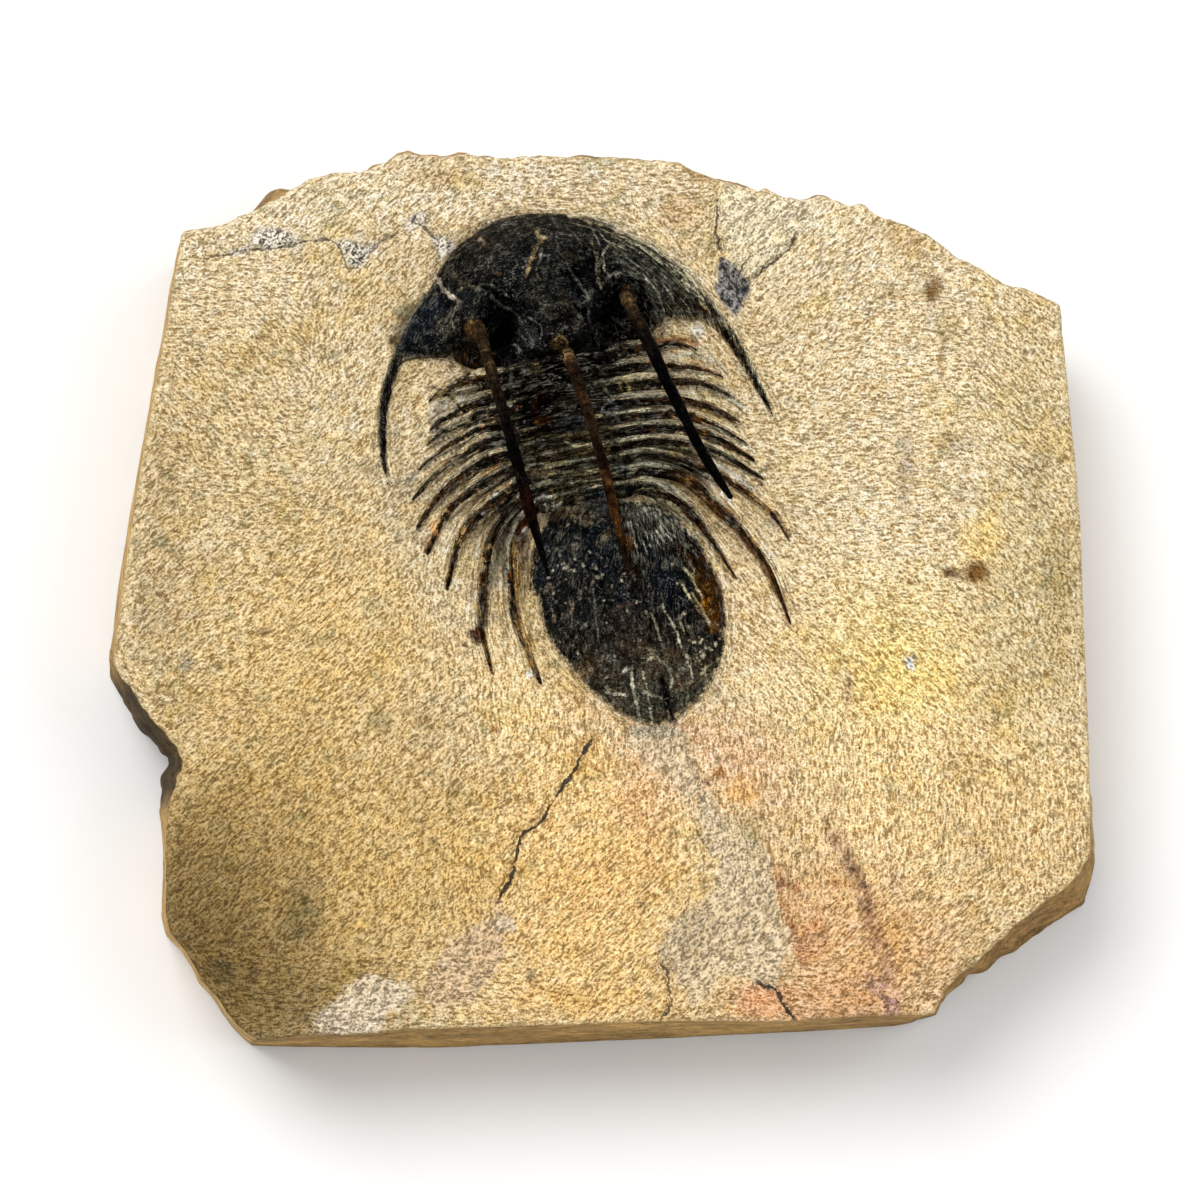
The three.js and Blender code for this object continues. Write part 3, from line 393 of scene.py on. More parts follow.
# right of the glabella
S([(591, 238), (594, 250), (598, 262), (599, 275), (600, 288)], 3.2, (134, 124, 94), 0.75, 0.25, 0.4)
S([(609, 244), (604, 254), (600, 264)], 2.6, (142, 136, 112), 0.7, 0.2)
S([(602, 292), (602, 284), (606, 279)], 3.5, (90, 70, 42), 0.6)
B(620, 262, 15, 9, 20, (52, 54, 50), 0.6)
S([(604, 282), (610, 277), (620, 274), (631, 274), (641, 280), (648, 290), (653, 302), (655, 316)], 6.5, (78, 80, 74), 0.85, 0.35)
S([(610, 276), (622, 272), (634, 273), (640, 278)], 2.4, (150, 146, 128), 0.6, 0.1)
S([(650, 292), (655, 304), (657, 318)], 2.2, (136, 132, 112), 0.7, 0.1)
S([(646, 286), (651, 300), (650, 316)], 3, (56, 58, 54), 0.6)
S([(660, 296), (664, 306), (662, 318)], 3, (116, 114, 100), 0.65, 0.1)
S([(668, 297), (672, 307), (676, 317)], 1.8, (170, 166, 144), 0.7, 0.1)
# near-black pit beside the right eye lobe: painted shade in the deep recess, over the dark shell
B(622, 318, 24, 36, -8, (2, 3, 3), 0.98, -1.5)
B(628, 296, 7, 12, -20, (112, 74, 34), 0.85, 0.5)
S([(625, 298), (630, 304), (626, 310)], 3, (140, 96, 50), 0.6)
B(658, 345, 10, 9, 0, (10, 8, 6), 0.8)
# right cheek: dark greenish brim with streaks along the rim
B(660, 285, 34, 30, 40, (46, 46, 38), 0.6)
B(690, 300, 20, 14, 40, (56, 48, 36), 0.6)
for k, (r, c, w) in enumerate([(163, (160, 152, 124), 1.8), (158.5, (60, 58, 48), 2.6), (154, (112, 108, 84), 1.6),
                               (149, (40, 40, 34), 2.4), (144, (98, 96, 78), 1.6), (138, (34, 34, 30), 2.4),
                               (133, (84, 84, 68), 1.5), (127, (40, 42, 38), 2), (121, (78, 80, 68), 1.5)]):
    a0, a1 = (-82 + 3 * k, -31 - 1.2 * k)
    pts = [(560 + r * math.cos(math.radians(a)), 380 + r * math.sin(math.radians(a)))
           for a in np.linspace(a0, a1, 9)]
    S(pts, w, c, 0.55, 0.05 if sum(c) > 230 else -0.05)
S([(575, 214), (592, 217), (608, 221), (625, 227), (640, 234), (655, 245), (670, 258), (681, 268), (691, 277),
   (702, 287), (711, 296), (719, 305), (727, 314)], 4.2, (190, 176, 142), 0.7, 0.25)
BRIM = rounded([(560, 213), (589, 217), (628, 232), (666, 257), (700, 284), (721, 308)], n=12)
for k in range(40):
    a, b, c = (k * 0.618) % 1, (k * 0.377) % 1, (k * 0.251) % 1
    start = 0.04 + 0.66 * a
    t = np.linspace(start, start + 0.14 + 0.16 * c, 6)
    p, q = at(BRIM, t), at(BRIM, t + 0.01)
    along = (q - p) / np.hypot(*(q - p).T)[:, None]
    inset = (1.5 + (7 + 26 * start) * b + 22 * (t - start) * (c - 0.4))[:, None]
    S([tuple(v) for v in p + inset * np.stack([-along[:, 1], along[:, 0]], -1)], 1.5 + 0.8 * c,
      [(196, 188, 158), (134, 130, 106), (20, 20, 17), (158, 152, 124), (52, 50, 40)][k % 5], 0.85, 0.04 if k % 5 in (0, 1, 3) else -0.04, 0.3)
for k in range(22):
    a, b, c = (k * 0.618) % 1, (k * 0.377) % 1, (k * 0.251) % 1
    t = np.linspace(0.02 + 0.74 * a, 0.16 + 0.74 * a + 0.1 * c, 6)
    p, q = at(BRIM, t), at(BRIM, t + 0.01)
    along = (q - p) / np.hypot(*(q - p).T)[:, None]
    inset = (-2.5 + (5 + 7 * a) * b + 16 * (t - t[0]) * (c - 0.5))[:, None]
    S([tuple(v) for v in p + inset * np.stack([-along[:, 1], along[:, 0]], -1)], 1.9 + 0.9 * c,
      [(214, 206, 176), (196, 186, 152), (40, 38, 32), (178, 168, 138)][k % 4], 0.85, 0.05 if k % 4 != 2 else -0.05, 0.3)
S([(602, 226), (612, 231), (620, 238), (628, 240)], 3, (34, 32, 28), 0.8)
S([(613, 233), (619, 241), (627, 246)], 3, (150, 142, 116), 0.6)
S([(612, 247), (620, 250), (628, 258), (633, 263)], 2.4, (160, 154, 130), 0.55)
S([(640, 248), (652, 256), (662, 262)], 2.2, (150, 142, 112), 0.5)
B(706, 310, 12, 7, 35, (58, 36, 22), 0.85)
S([(700, 304), (707, 308), (712, 314)], 3, (152, 136, 100), 0.6)
for pts, w, c in [
    ([(604, 251), (603, 262), (606, 272), (612, 279)], 2.4, (168, 164, 146)),
    ([(598, 252), (596, 266), (598, 280), (602, 290)], 2.2, (140, 136, 118)),
    ([(608, 262), (618, 262), (630, 266), (641, 273), (649, 282)], 2.6, (150, 148, 132)),
    ([(612, 252), (622, 256), (634, 263), (646, 272), (655, 282), (661, 294)], 2.0, (120, 120, 106)),
    ([(652, 284), (658, 294), (662, 305), (664, 314)], 2.2, (168, 164, 144)),
    ([(670, 286), (672, 297), (676, 308), (680, 318)], 2.0, (150, 146, 124)),
    ([(658, 276), (666, 288), (671, 300)], 1.8, (128, 124, 106)),
    ([(590, 226), (596, 236), (600, 246)], 2.0, (150, 146, 124)),
    ([(600, 232), (606, 240), (616, 244), (626, 250)], 1.8, (160, 154, 130)),
    ([(566, 228), (576, 236), (582, 246)], 1.8, (92, 88, 74)),
    ([(516, 238), (512, 250), (516, 262)], 2.0, (84, 80, 68)),
    ([(548, 226), (552, 238), (548, 250)], 1.8, (88, 84, 70)),
    ([(566, 262), (574, 276), (584, 290), (590, 300)], 2.2, (126, 124, 110)),
    ([(478, 286), (488, 284), (500, 290), (510, 298)], 2.2, (118, 116, 102)),
    ([(460, 300), (454, 310), (452, 322), (456, 334)], 2.0, (140, 138, 118)),
    ([(536, 300), (544, 306), (552, 304)], 2.0, (120, 116, 100)),
    ([(528, 318), (536, 322), (542, 330), (540, 340)], 2.0, (150, 148, 134)),
    ([(572, 306), (578, 314), (584, 318)], 2.0, (132, 128, 112)),
]:
    S(pts, w, c, 0.8, 0.08)
B(612, 292, 9, 9, 0, (3, 3, 4), 0.85, -0.2)
B(574, 276, 12, 16, 10, (8, 9, 11), 0.7)
B(530, 226, 36, 9, -4, (62, 56, 46), 0.5)
B(486, 252, 20, 14, -30, (54, 50, 42), 0.55)
B(640, 300, 12, 20, -20, (8, 9, 9), 0.7)
# left cheek; its bluish patches are a painted sheen
B(418, 325, 24, 34, 35, (34, 42, 50), 0.75)
B(430, 305, 12, 12, 0, (28, 40, 54), 0.7)
B(408, 346, 14, 9, -10, (30, 40, 44), 0.7)
B(440, 325, 9, 14, 20, (70, 68, 60), 0.5, 0.1)
S([(436, 318), (442, 328), (446, 336)], 3, (110, 104, 84), 0.6)
S([(428, 334), (440, 330), (448, 324)], 2.2, (98, 94, 80), 0.5)
S([(424, 302), (414, 318), (405, 335), (399, 350)], 3, (60, 62, 60), 0.55)
S([(455, 262), (448, 268), (444, 276)], 3, (120, 110, 90), 0.5)
B(452, 350, 8, 10, 0, (50, 48, 40), 0.6)
B(395, 340, 5, 6, 0, (92, 74, 40), 0.85)
# left cheek spine
S([(398, 353), (391, 367), (386, 381), (382, 397), (380.5, 412), (380.5, 428), (381.5, 445), (384, 462), (387, 479)], 8,
  (70, 64, 52), 0.9, 0.0, 0.5)
S([(399, 356), (392, 369), (387.5, 383), (384, 398), (382.5, 413), (382.5, 429), (383, 445), (385, 461)], 4, (22, 21, 18), 0.9,
  0, 0.4)
S([(392, 362), (386, 376), (381, 392), (379, 410), (379, 430), (380, 446)], 1.8, (134, 126, 104), 0.7)
S([(405, 362), (397, 374), (392, 388)], 3, (128, 120, 98), 0.6)
# right cheek spine
S([(714, 318), (724, 332), (735, 349), (746, 367), (756, 384), (764, 399), (771, 412)], 10, (92, 78, 54), 0.8, 0, 0.55)
S([(722, 328), (733, 345), (744, 361), (753, 377), (761, 392), (768, 406), (771, 414)], 5.5, (20, 15, 10), 0.92, 0, 0.35)
S([(727, 320), (736, 332), (744, 346), (751, 359), (757, 372), (763, 386), (768, 400)], 2.4, (186, 178, 152), 0.75, 0.1)
S([(722, 321), (730, 333), (738, 345), (747, 355)], 2.4, (164, 152, 118), 0.7, 0.05)
S([(727, 329), (736, 342), (744, 353)], 2.0, (30, 28, 24), 0.8)
S([(711, 322), (720, 334), (729, 346)], 2.4, (126, 98, 52), 0.7)
B(699, 331, 7, 8, 20, (190, 186, 176), 0.75, 0.15)
B(675, 328, 20, 6, -4, (206, 186, 148), 0.8)
S([(663, 326), (672, 320), (684, 318), (695, 319)], 3, (110, 96, 72), 0.6)
S([(661, 336), (664, 330), (661, 325)], 4, (36, 32, 26), 0.8)
S([(690, 336), (696, 342), (697, 348)], 4, (64, 62, 58), 0.8)
# first rib, right: a red-brown bar
S([(650, 341), (662, 340), (676, 339), (688, 341), (695, 345)], 6, (138, 82, 30), 0.85, 0.1)
S([(652, 346), (664, 346), (678, 347), (690, 348)], 4.5, (44, 18, 8), 0.9, -0.1)
S([(660, 337), (674, 336), (688, 338)], 2.0, (190, 160, 110), 0.5)

# --- thorax, right-hand ribs: pale crests; the dark bands below them are partly painted shade under the ridges
PALE, GREY, WARM = (194, 186, 160), (142, 136, 112), (168, 148, 104)
S([(620, 360), (633, 357), (645, 355), (652, 355)], 4, (150, 140, 112), 0.7, 0.15)
S([(612, 366), (620, 360), (630, 357)], 3, (130, 120, 96), 0.6)
S([(662, 354), (672, 356), (684, 354), (694, 354), (703, 357), (712, 361), (720, 366), (727, 372)], 6, (186, 180, 160), 0.8, 0.25)
S([(664, 360), (680, 361), (694, 360), (706, 363), (716, 369)], 3, (120, 108, 90), 0.6)
S([(680, 367), (695, 367), (708, 370), (720, 375)], 5, (84, 60, 44), 0.8, -0.15)
S([(607, 384), (616, 379), (628, 376), (642, 373), (656, 371)], 3, (184, 172, 130), 0.8, 0.2)
S([(668, 375), (680, 373), (692, 373), (704, 376), (714, 381), (724, 387), (732, 392)], 5, (188, 180, 156), 0.75, 0.25)
S([(672, 384), (686, 382), (698, 383), (710, 387), (722, 393), (733, 400), (742, 406)], 8, (62, 48, 32), 0.88, -0.2)
S([(612, 397), (622, 396), (635, 395), (650, 395), (664, 395)], 4.5, (176, 170, 142), 0.8, 0.25)
S([(668, 396), (682, 393), (694, 391), (706, 391), (718, 394), (730, 399), (742, 406), (750, 412)], 4, (196, 190, 166), 0.8, 0.25)
S([(690, 395), (704, 397), (716, 401), (728, 407), (740, 413)], 3, (190, 182, 154), 0.7, 0.1)
S([(712, 394), (726, 400), (738, 407)], 1.6, (60, 54, 44), 0.7)
S([(620, 386), (619, 379), (622, 392)], 2.2, (180, 160, 100), 0.7, 0.1)
S([(633, 380), (628, 386), (630, 394)], 3, (176, 154, 92), 0.8, 0.1)
S([(625, 380), (629, 388)], 2.4, (168, 146, 88), 0.6)
B(640, 384, 14, 6, -3, (50, 46, 32), 0.7)
B(634, 366, 16, 6, -8, (40, 34, 24), 0.7)
S([(640, 405), (656, 405), (672, 403), (686, 402), (700, 405), (714, 410), (728, 417), (740, 424)], 9, (64, 46, 30), 0.85, -0.2)
S([(616, 404), (628, 404), (642, 402)], 6, (34, 34, 28), 0.8, -0.15)
S([(650, 410), (664, 412), (656, 415)], 3, (126, 96, 72), 0.6)
S([(694, 407), (704, 410), (716, 412)], 2.4, (132, 100, 48), 0.6)
S([(660, 398), (668, 398), (672, 402)], 2.4, (120, 76, 40), 0.6)
S([(612, 430), (620, 425), (630, 420), (626, 416)], 3, (150, 132, 96), 0.7, 0.1)
S([(632, 425), (642, 421), (656, 420), (670, 421), (684, 423), (692, 426)], 3.4, (132, 134, 104), 0.75, 0.2)
S([(694, 416), (706, 415), (718, 417), (730, 423), (740, 430)], 3, (120, 110, 84), 0.6, 0.1)
S([(700, 427), (712, 428), (724, 434), (736, 441), (747, 447), (755, 453)], 5, (192, 184, 160), 0.75, 0.2)
S([(716, 424), (728, 429), (740, 437)], 2.0, (198, 190, 168), 0.5)
S([(640, 427), (656, 426), (672, 427), (686, 429)], 4.5, (42, 38, 30), 0.85, -0.15)
S([(640, 438), (654, 435), (668, 435), (682, 438), (694, 442)], 3.4, (170, 160, 130), 0.8, 0.2)
S([(636, 443), (650, 441), (664, 441), (678, 443), (690, 446)], 5, (52, 36, 24), 0.85, -0.15)
S([(702, 437), (714, 442), (728, 448), (742, 454), (754, 460)], 5, (62, 44, 28), 0.8, -0.15)
S([(704, 443), (714, 448), (726, 454), (740, 460), (752, 465)], 3, (140, 140, 112), 0.7, 0.15)
S([(610, 446), (620, 442), (630, 438), (640, 436)], 3, (150, 136, 100), 0.65, 0.1)
S([(632, 456), (642, 452), (656, 449), (670, 449), (684, 450), (692, 453)], 4, (148, 142, 116), 0.8, 0.2)
S([(636, 459), (650, 458), (664, 458), (676, 460)], 5, (70, 62, 46), 0.75, -0.1)
S([(704, 452), (718, 459), (732, 465), (746, 472), (757, 480), (764, 488)], 4, (60, 50, 38), 0.75, -0.15)
S([(702, 457), (714, 463), (726, 469), (738, 477), (748, 485), (757, 494), (764, 503)], 6, (196, 188, 166), 0.85, 0.25)
S([(748, 462), (756, 470), (762, 478), (766, 486)], 3, (176, 166, 138), 0.6, 0.1)
S([(716, 470), (726, 476), (736, 484), (746, 491), (753, 497)], 9, (78, 54, 28), 0.88, 0.1)
S([(729, 473), (734, 482)], 3, (176, 160, 124), 0.8, 0.1)
S([(752, 495), (760, 501), (768, 507), (773, 512)], 8, (196, 158, 98), 0.8, 0.1)
B(775, 516, 5, 4.5, 30, (56, 30, 12), 0.95, 0.1)
S([(778, 519), (784, 527), (788, 536), (789, 541)], 3, (84, 56, 26), 0.85)
S([(788, 536), (793, 532), (797, 529)], 2.2, (120, 92, 46), 0.7)
S([(772, 512), (780, 517), (786, 526)], 2.2, (150, 120, 70), 0.6)
# brown, amber-stained field between the ribs
B(690, 463, 26, 12, 22, (30, 20, 12), 0.85)
B(690, 477, 26, 9, 24, (84, 56, 24), 0.8)
B(675, 453, 7, 5, 0, (186, 162, 110), 0.85, 0.15)
S([(678, 476), (686, 480), (690, 484)], 4.5, (180, 132, 60), 0.75, 0.1)
S([(668, 475), (676, 482), (686, 487)], 4, (150, 104, 44), 0.7)
S([(684, 456), (690, 460), (694, 463)], 3, (120, 90, 60), 0.6)
B(700, 463, 5, 4, 0, (112, 88, 66), 0.7, 0.1)
S([(664, 467), (678, 467), (694, 470), (706, 474)], 3, (14, 10, 8), 0.9, -0.1)
S([(632, 470), (640, 465), (652, 464), (664, 466), (672, 468)], 3, (176, 172, 146), 0.8, 0.2)
S([(646, 468), (656, 471), (664, 470)], 2.2, (160, 156, 130), 0.6)
S([(628, 475), (636, 470), (632, 464), (640, 460)], 3.4, (180, 172, 140), 0.75, 0.15)
S([(634, 474), (648, 473), (662, 474), (672, 477)], 5, (24, 22, 18), 0.85, -0.15)
S([(700, 474), (708, 480), (716, 488), (724, 496), (733, 505), (738, 512)], 2.6, (206, 200, 180), 0.85, 0.15)
S([(704, 473), (714, 481), (724, 491), (732, 500)], 2.4, (196, 190, 168), 0.8, 0.15)
S([(710, 474), (720, 484), (729, 494)], 1.8, (150, 144, 120), 0.6)
# ninth right spine: a long brown ribbon
S([(694, 486), (704, 495), (715, 507), (726, 519), (737, 530), (746, 542), (756, 555), (765, 569), (772, 583), (779, 597),
   (784, 608), (788, 620), (791, 627)], 12, (92, 60, 26), 0.93, 0.1, 0.75)
S([(706, 494), (718, 506), (730, 519), (741, 531), (748, 542)], 6, (58, 32, 12), 0.7)
S([(700, 490), (706, 497)], 4, (176, 150, 100), 0.7)
S([(712, 496), (714, 500)], 4, (196, 178, 130), 0.8)
S([(701, 500), (712, 512), (720, 520)], 3, (160, 118, 60), 0.6)
S([(735, 524), (739, 528)], 4, (200, 160, 104), 0.75)
S([(750, 535), (756, 541), (758, 545)], 6, (206, 168, 112), 0.8)
S([(752, 530), (760, 541), (769, 555), (777, 571)], 3, (176, 168, 148), 0.5)
S([(770, 571), (777, 588), (783, 600)], 3.5, (96, 58, 18), 0.8)
# tenth right spine
S([(654, 492), (666, 496), (679, 503), (690, 513), (700, 525), (709, 538), (717, 550)], 11, (56, 38, 20), 0.93, 0.1, 0.4)
S([(717, 548), (724, 560), (731, 571), (735, 578)], 5, (70, 58, 40), 0.85, 0.0, 0.5)
S([(668, 494), (680, 500), (692, 509)], 4, (26, 18, 12), 0.8)
S([(693, 524), (698, 530)], 4, (170, 130, 76), 0.7)
S([(683, 510), (690, 520), (696, 532), (706, 544)], 4, (112, 74, 34), 0.6)
S([(699, 516), (704, 524)], 3, (130, 110, 80), 0.6)
S([(717, 553), (722, 562), (727, 573), (729, 580)], 4, (190, 148, 84), 0.7)
S([(706, 530), (714, 540), (722, 552), (730, 565)], 1.8, (150, 146, 122), 0.6)
S([(628, 481), (640, 481), (654, 481), (667, 484), (678, 490), (688, 498)], 3.4, (204, 196, 162), 0.85, 0.25)
S([(668, 481), (682, 488), (694, 497), (704, 507), (712, 518)], 6, (150, 132, 92), 0.6)
S([(645, 478), (656, 479), (664, 481)], 2.2, (170, 166, 140), 0.6)
S([(644, 484), (652, 489), (660, 492)], 2.0, (160, 158, 132), 0.6)
S([(634, 492), (646, 489), (658, 490), (668, 493)], 3, (128, 120, 84), 0.7, 0.1)
S([(634, 504), (642, 500), (652, 499), (662, 500), (672, 505)], 2.8, (196, 188, 148), 0.8, 0.2)

# --- thorax, left-hand ribs
STROKES.append(("poly", [(430, 404), (443, 396), (452, 401), (460, 409), (452, 412), (443, 416), (435, 422), (430, 427),
                         (428, 420), (429, 410)], linear((156, 146, 124)), 0.9, 0.3, 0))
STROKES.append(("poly", [(452, 392), (462, 387), (474, 385), (484, 388), (491, 393), (489, 396), (480, 400), (470, 403),
                         (462, 406), (456, 400)], linear((166, 156, 130)), 0.9, 0.35, 0))
S([(434, 404), (444, 400), (452, 404)], 2, (190, 180, 156), 0.5)
B(440, 412, 5, 4, 0, (118, 104, 90), 0.5)
B(462, 394, 5, 2.5, 0, (100, 78, 54), 0.6)
S([(462, 392), (474, 389), (484, 393)], 2, (190, 178, 148), 0.5)
S([(470, 404), (480, 401), (490, 397)], 4, (40, 40, 30), 0.85, -0.1)
S([(434, 426), (443, 420), (452, 415), (461, 411)], 5.5, (64, 62, 42), 0.9, -0.15)
S([(426, 386), (436, 388), (444, 393), (451, 399), (457, 404), (463, 410), (470, 417), (476, 423)], 4.2, (22, 14, 10), 0.93, -0.35)
S([(444, 392), (452, 388), (460, 382), (468, 379)], 5, (108, 84, 46), 0.8, -0.1)
S([(434, 398), (440, 394), (446, 390)], 4.5, (180, 146, 76), 0.8, 0.05)
S([(455, 383), (468, 378), (482, 379), (494, 384)], 6, (40, 28, 16), 0.85, -0.2)
S([(476, 384), (484, 390), (490, 396)], 3, (26, 22, 16), 0.8)
S([(484, 390), (488, 392), (492, 396)], 2.2, (164, 140, 104), 0.7)
S([(462, 372), (474, 376), (486, 377)], 5, (96, 72, 38), 0.65)
S([(456, 358), (462, 366), (468, 374)], 5, (74, 60, 36), 0.7)
S([(440, 376), (450, 368), (454, 362)], 2, (100, 84, 60), 0.8, -0.1)
S([(414, 368), (424, 361), (436, 358), (448, 360), (453, 364)], 2.4, (104, 96, 76), 0.8)
S([(454, 364), (452, 374), (458, 380)], 2.2, (74, 66, 50), 0.7)
S([(434, 433), (446, 428), (456, 422), (464, 417), (468, 420)], 8, (146, 138, 112), 0.85, 0.25)
S([(448, 430), (456, 426), (464, 422)], 2.4, (180, 172, 140), 0.6)
S([(432, 433), (438, 430), (444, 431), (444, 436), (438, 439)], 4, (20, 14, 12), 0.9, -0.3)
S([(430, 434), (436, 432), (441, 432)], 1.6, (150, 142, 126), 0.7)
S([(438, 436), (442, 437)], 3, (120, 96, 60), 0.6)
B(465, 430, 2.2, 2.6, 0, (190, 176, 136), 0.8, 0.15)
S([(470, 424), (478, 419), (486, 415)], 2.4, (150, 132, 96), 0.7, 0.05)
S([(466, 428), (478, 423), (490, 420), (502, 420)], 5, (12, 10, 8), 0.9, -0.2)
S([(492, 400), (484, 408), (474, 414)], 7, (30, 22, 12), 0.75)
S([(490, 410), (498, 416)], 5, (66, 48, 20), 0.65)
S([(421, 446), (430, 441), (440, 436), (450, 433)], 4, (150, 142, 118), 0.75, 0.1)
S([(429, 449), (440, 443), (450, 438), (458, 433)], 3, (40, 34, 26), 0.85, -0.15)
S([(424, 456), (436, 448), (448, 441), (460, 434)], 4, (104, 92, 78), 0.6)
S([(404, 486), (414, 476), (424, 468), (436, 461), (446, 453), (456, 447), (466, 441), (476, 435), (488, 431)], 3.4, (168, 158, 132), 0.8, 0.2)
S([(406, 481), (418, 471), (430, 463), (438, 456)], 2, (62, 54, 42), 0.7, -0.1)
S([(420, 462), (430, 456), (440, 452)], 2, (206, 196, 166), 0.6, 0.05)
S([(424, 470), (434, 462), (444, 455)], 2, (196, 186, 158), 0.6, 0.05)
S([(412, 474), (424, 464), (434, 458)], 1.6, (70, 62, 50), 0.6)
S([(448, 457), (453, 460), (459, 456), (465, 450), (471, 444), (478, 438), (486, 433)], 3.2, (198, 174, 130), 0.85, 0.2)
S([(450, 454), (456, 452), (462, 448)], 2.6, (20, 14, 10), 0.85, -0.15)
S([(464, 456), (474, 449), (484, 443), (494, 439), (504, 438)], 7, (48, 34, 24), 0.88, -0.2)
S([(480, 444), (484, 441), (484, 447)], 2, (92, 70, 52), 0.5)
B(500, 441, 4, 5, 30, (8, 7, 6), 0.9)
S([(440, 462), (445, 462), (446, 466)], 3, (176, 140, 80), 0.8)
S([(412, 495), (422, 484), (434, 474), (446, 466), (456, 461), (466, 457), (476, 455), (486, 451), (498, 446), (505, 444)], 4, (154, 146, 118), 0.8, 0.2)
S([(468, 468), (460, 471), (450, 478), (438, 489), (428, 500)], 2.4, (170, 162, 138), 0.75, 0.1)
S([(420, 488), (432, 478), (442, 471)], 3, (84, 64, 44), 0.65, -0.1)
S([(446, 489), (454, 483), (462, 476), (470, 472), (478, 468)], 7, (72, 46, 20), 0.88, -0.1)
S([(478, 461), (490, 457), (502, 455)], 5, (40, 30, 20), 0.8, -0.15)
S([(484, 470), (494, 467), (504, 463), (510, 460)], 4.5, (120, 82, 40), 0.8, 0.1)
S([(458, 488), (468, 483), (478, 478), (488, 472), (498, 467)], 3, (196, 160, 96), 0.8, 0.15)
S([(404, 506), (414, 496), (424, 487), (434, 478)], 2.4, (140, 130, 106), 0.7, 0.1)
S([(412, 508), (422, 497), (432, 487), (440, 480)], 2, (60, 52, 40), 0.6, -0.1)
S([(415, 512), (426, 501), (436, 492), (446, 486)], 3, (160, 152, 130), 0.7, 0.1)
S([(420, 522), (426, 512), (434, 503), (444, 494), (452, 489), (462, 483)], 4.5, (96, 74, 48), 0.75)
S([(417, 535), (423, 522), (430, 512)], 3, (70, 52, 34), 0.8)
S([(425, 508), (432, 500), (438, 494)], 2.4, (150, 112, 60), 0.7)
S([(440, 505), (450, 496), (460, 489), (468, 485)], 4, (112, 104, 84), 0.6)
S([(452, 503), (460, 496), (464, 492), (460, 490)], 4, (190, 160, 104), 0.75, 0.1)
S([(442, 514), (448, 507), (456, 500), (466, 494), (474, 489)], 5, (52, 36, 20), 0.85)
S([(468, 495), (480, 488), (492, 480), (502, 474), (508, 470)], 5, (40, 32, 24), 0.8, -0.1)
S([(474, 499), (484, 491), (494, 483), (502, 477), (508, 475)], 3, (158, 150, 128), 0.8, 0.15)
S([(488, 484), (498, 478), (510, 474)], 4, (86, 62, 44), 0.6)
S([(500, 487), (504, 490), (508, 493), (510, 488), (505, 486)], 3, (188, 164, 116), 0.85, 0.15)
S([(494, 489), (486, 496), (478, 504)], 5, (88, 58, 28), 0.75)
S([(478, 497), (472, 504), (484, 500)], 3, (150, 116, 66), 0.6)
S([(445, 512), (441, 507), (446, 510), (452, 518)], 3, (196, 166, 108), 0.7, 0.1)
S([(436, 521), (433, 528), (436, 534)], 7, (206, 156, 92), 0.8)
S([(432, 532), (429, 540), (427, 548)], 6, (168, 118, 60), 0.75)
S([(428, 543), (426, 549), (428, 553)], 4, (96, 66, 34), 0.8)
S([(440, 520), (450, 512), (458, 506)], 3, (64, 48, 30), 0.7)
S([(448, 530), (452, 520), (462, 511), (472, 505), (482, 498)], 3, (196, 190, 160), 0.75, 0.15)
S([(456, 524), (464, 516), (474, 508), (482, 502)], 2, (90, 80, 62), 0.6)
S([(462, 530), (466, 520), (472, 513), (466, 512)], 2.4, (190, 176, 136), 0.7, 0.1)
S([(518, 497), (508, 500), (500, 504), (490, 510), (480, 518), (472, 527), (464, 537), (457, 549), (452, 562), (449, 574), (446, 588)],
  8, (58, 42, 28), 0.9, 0.05, 0.55)
S([(500, 498), (490, 503), (484, 512), (476, 520)], 7, (22, 18, 14), 0.8)
B(483, 514, 2.2, 2, 0, (190, 190, 186), 0.85, 0.1)
B(462, 529, 4.5, 5.5, 20, (206, 158, 92), 0.85, 0.1)
S([(478, 527), (470, 533), (463, 540), (458, 548)], 2.2, (150, 126, 78), 0.7, 0.1)
S([(462, 538), (454, 548), (450, 560), (448, 575)], 2.4, (150, 112, 60), 0.7)
S([(458, 534), (452, 544), (448, 556), (446, 568)], 2.0, (168, 160, 130), 0.7, 0.1)
S([(472, 541), (464, 549), (459, 558)], 2.4, (120, 112, 92), 0.6)
S([(519, 508), (509, 514), (500, 520), (492, 528), (486, 538), (480, 552)], 4.5, (150, 146, 122), 0.8, 0.2)
S([(512, 503), (500, 508), (492, 515), (486, 521)], 3, (172, 168, 142), 0.7, 0.15)
S([(486, 521), (480, 535), (477, 550), (476, 566), (474, 585), (472, 602)], 3, (170, 162, 132), 0.65, 0.1)
S([(476, 538), (470, 545), (476, 552), (472, 560)], 2.2, (196, 190, 156), 0.5)
# eighth left spine: the big brown ribbon, its knot and its thin end
S([(523, 503), (513, 507), (504, 517), (496, 529), (490, 542), (486, 556), (484, 572), (483, 588), (483, 604), (483, 620)], 14,
  (70, 50, 26), 0.95, 0.1, 0.25)
S([(517, 502), (508, 508), (500, 520), (496, 530)], 7, (28, 22, 16), 0.75)
S([(496, 536), (490, 552), (487, 566)], 5, (46, 32, 18), 0.6)
S([(488, 546), (492, 546), (494, 549)], 4, (206, 172, 112), 0.8, 0.1)
S([(482, 556), (484, 562), (482, 568)], 4, (190, 150, 90), 0.75)
S([(479, 562), (485, 566), (482, 572)], 2.4, (210, 196, 150), 0.6)
S([(487, 574), (482, 580), (478, 590)], 6, (120, 82, 36), 0.7)
S([(480, 540), (484, 548)], 4, (150, 106, 50), 0.7)
S([(490, 560), (489, 580), (488, 596)], 3, (34, 26, 20), 0.75)
S([(477, 601), (478, 612), (480, 622)], 5, (190, 150, 84), 0.75)
S([(484, 604), (485, 616), (486, 626)], 4, (60, 36, 14), 0.85)
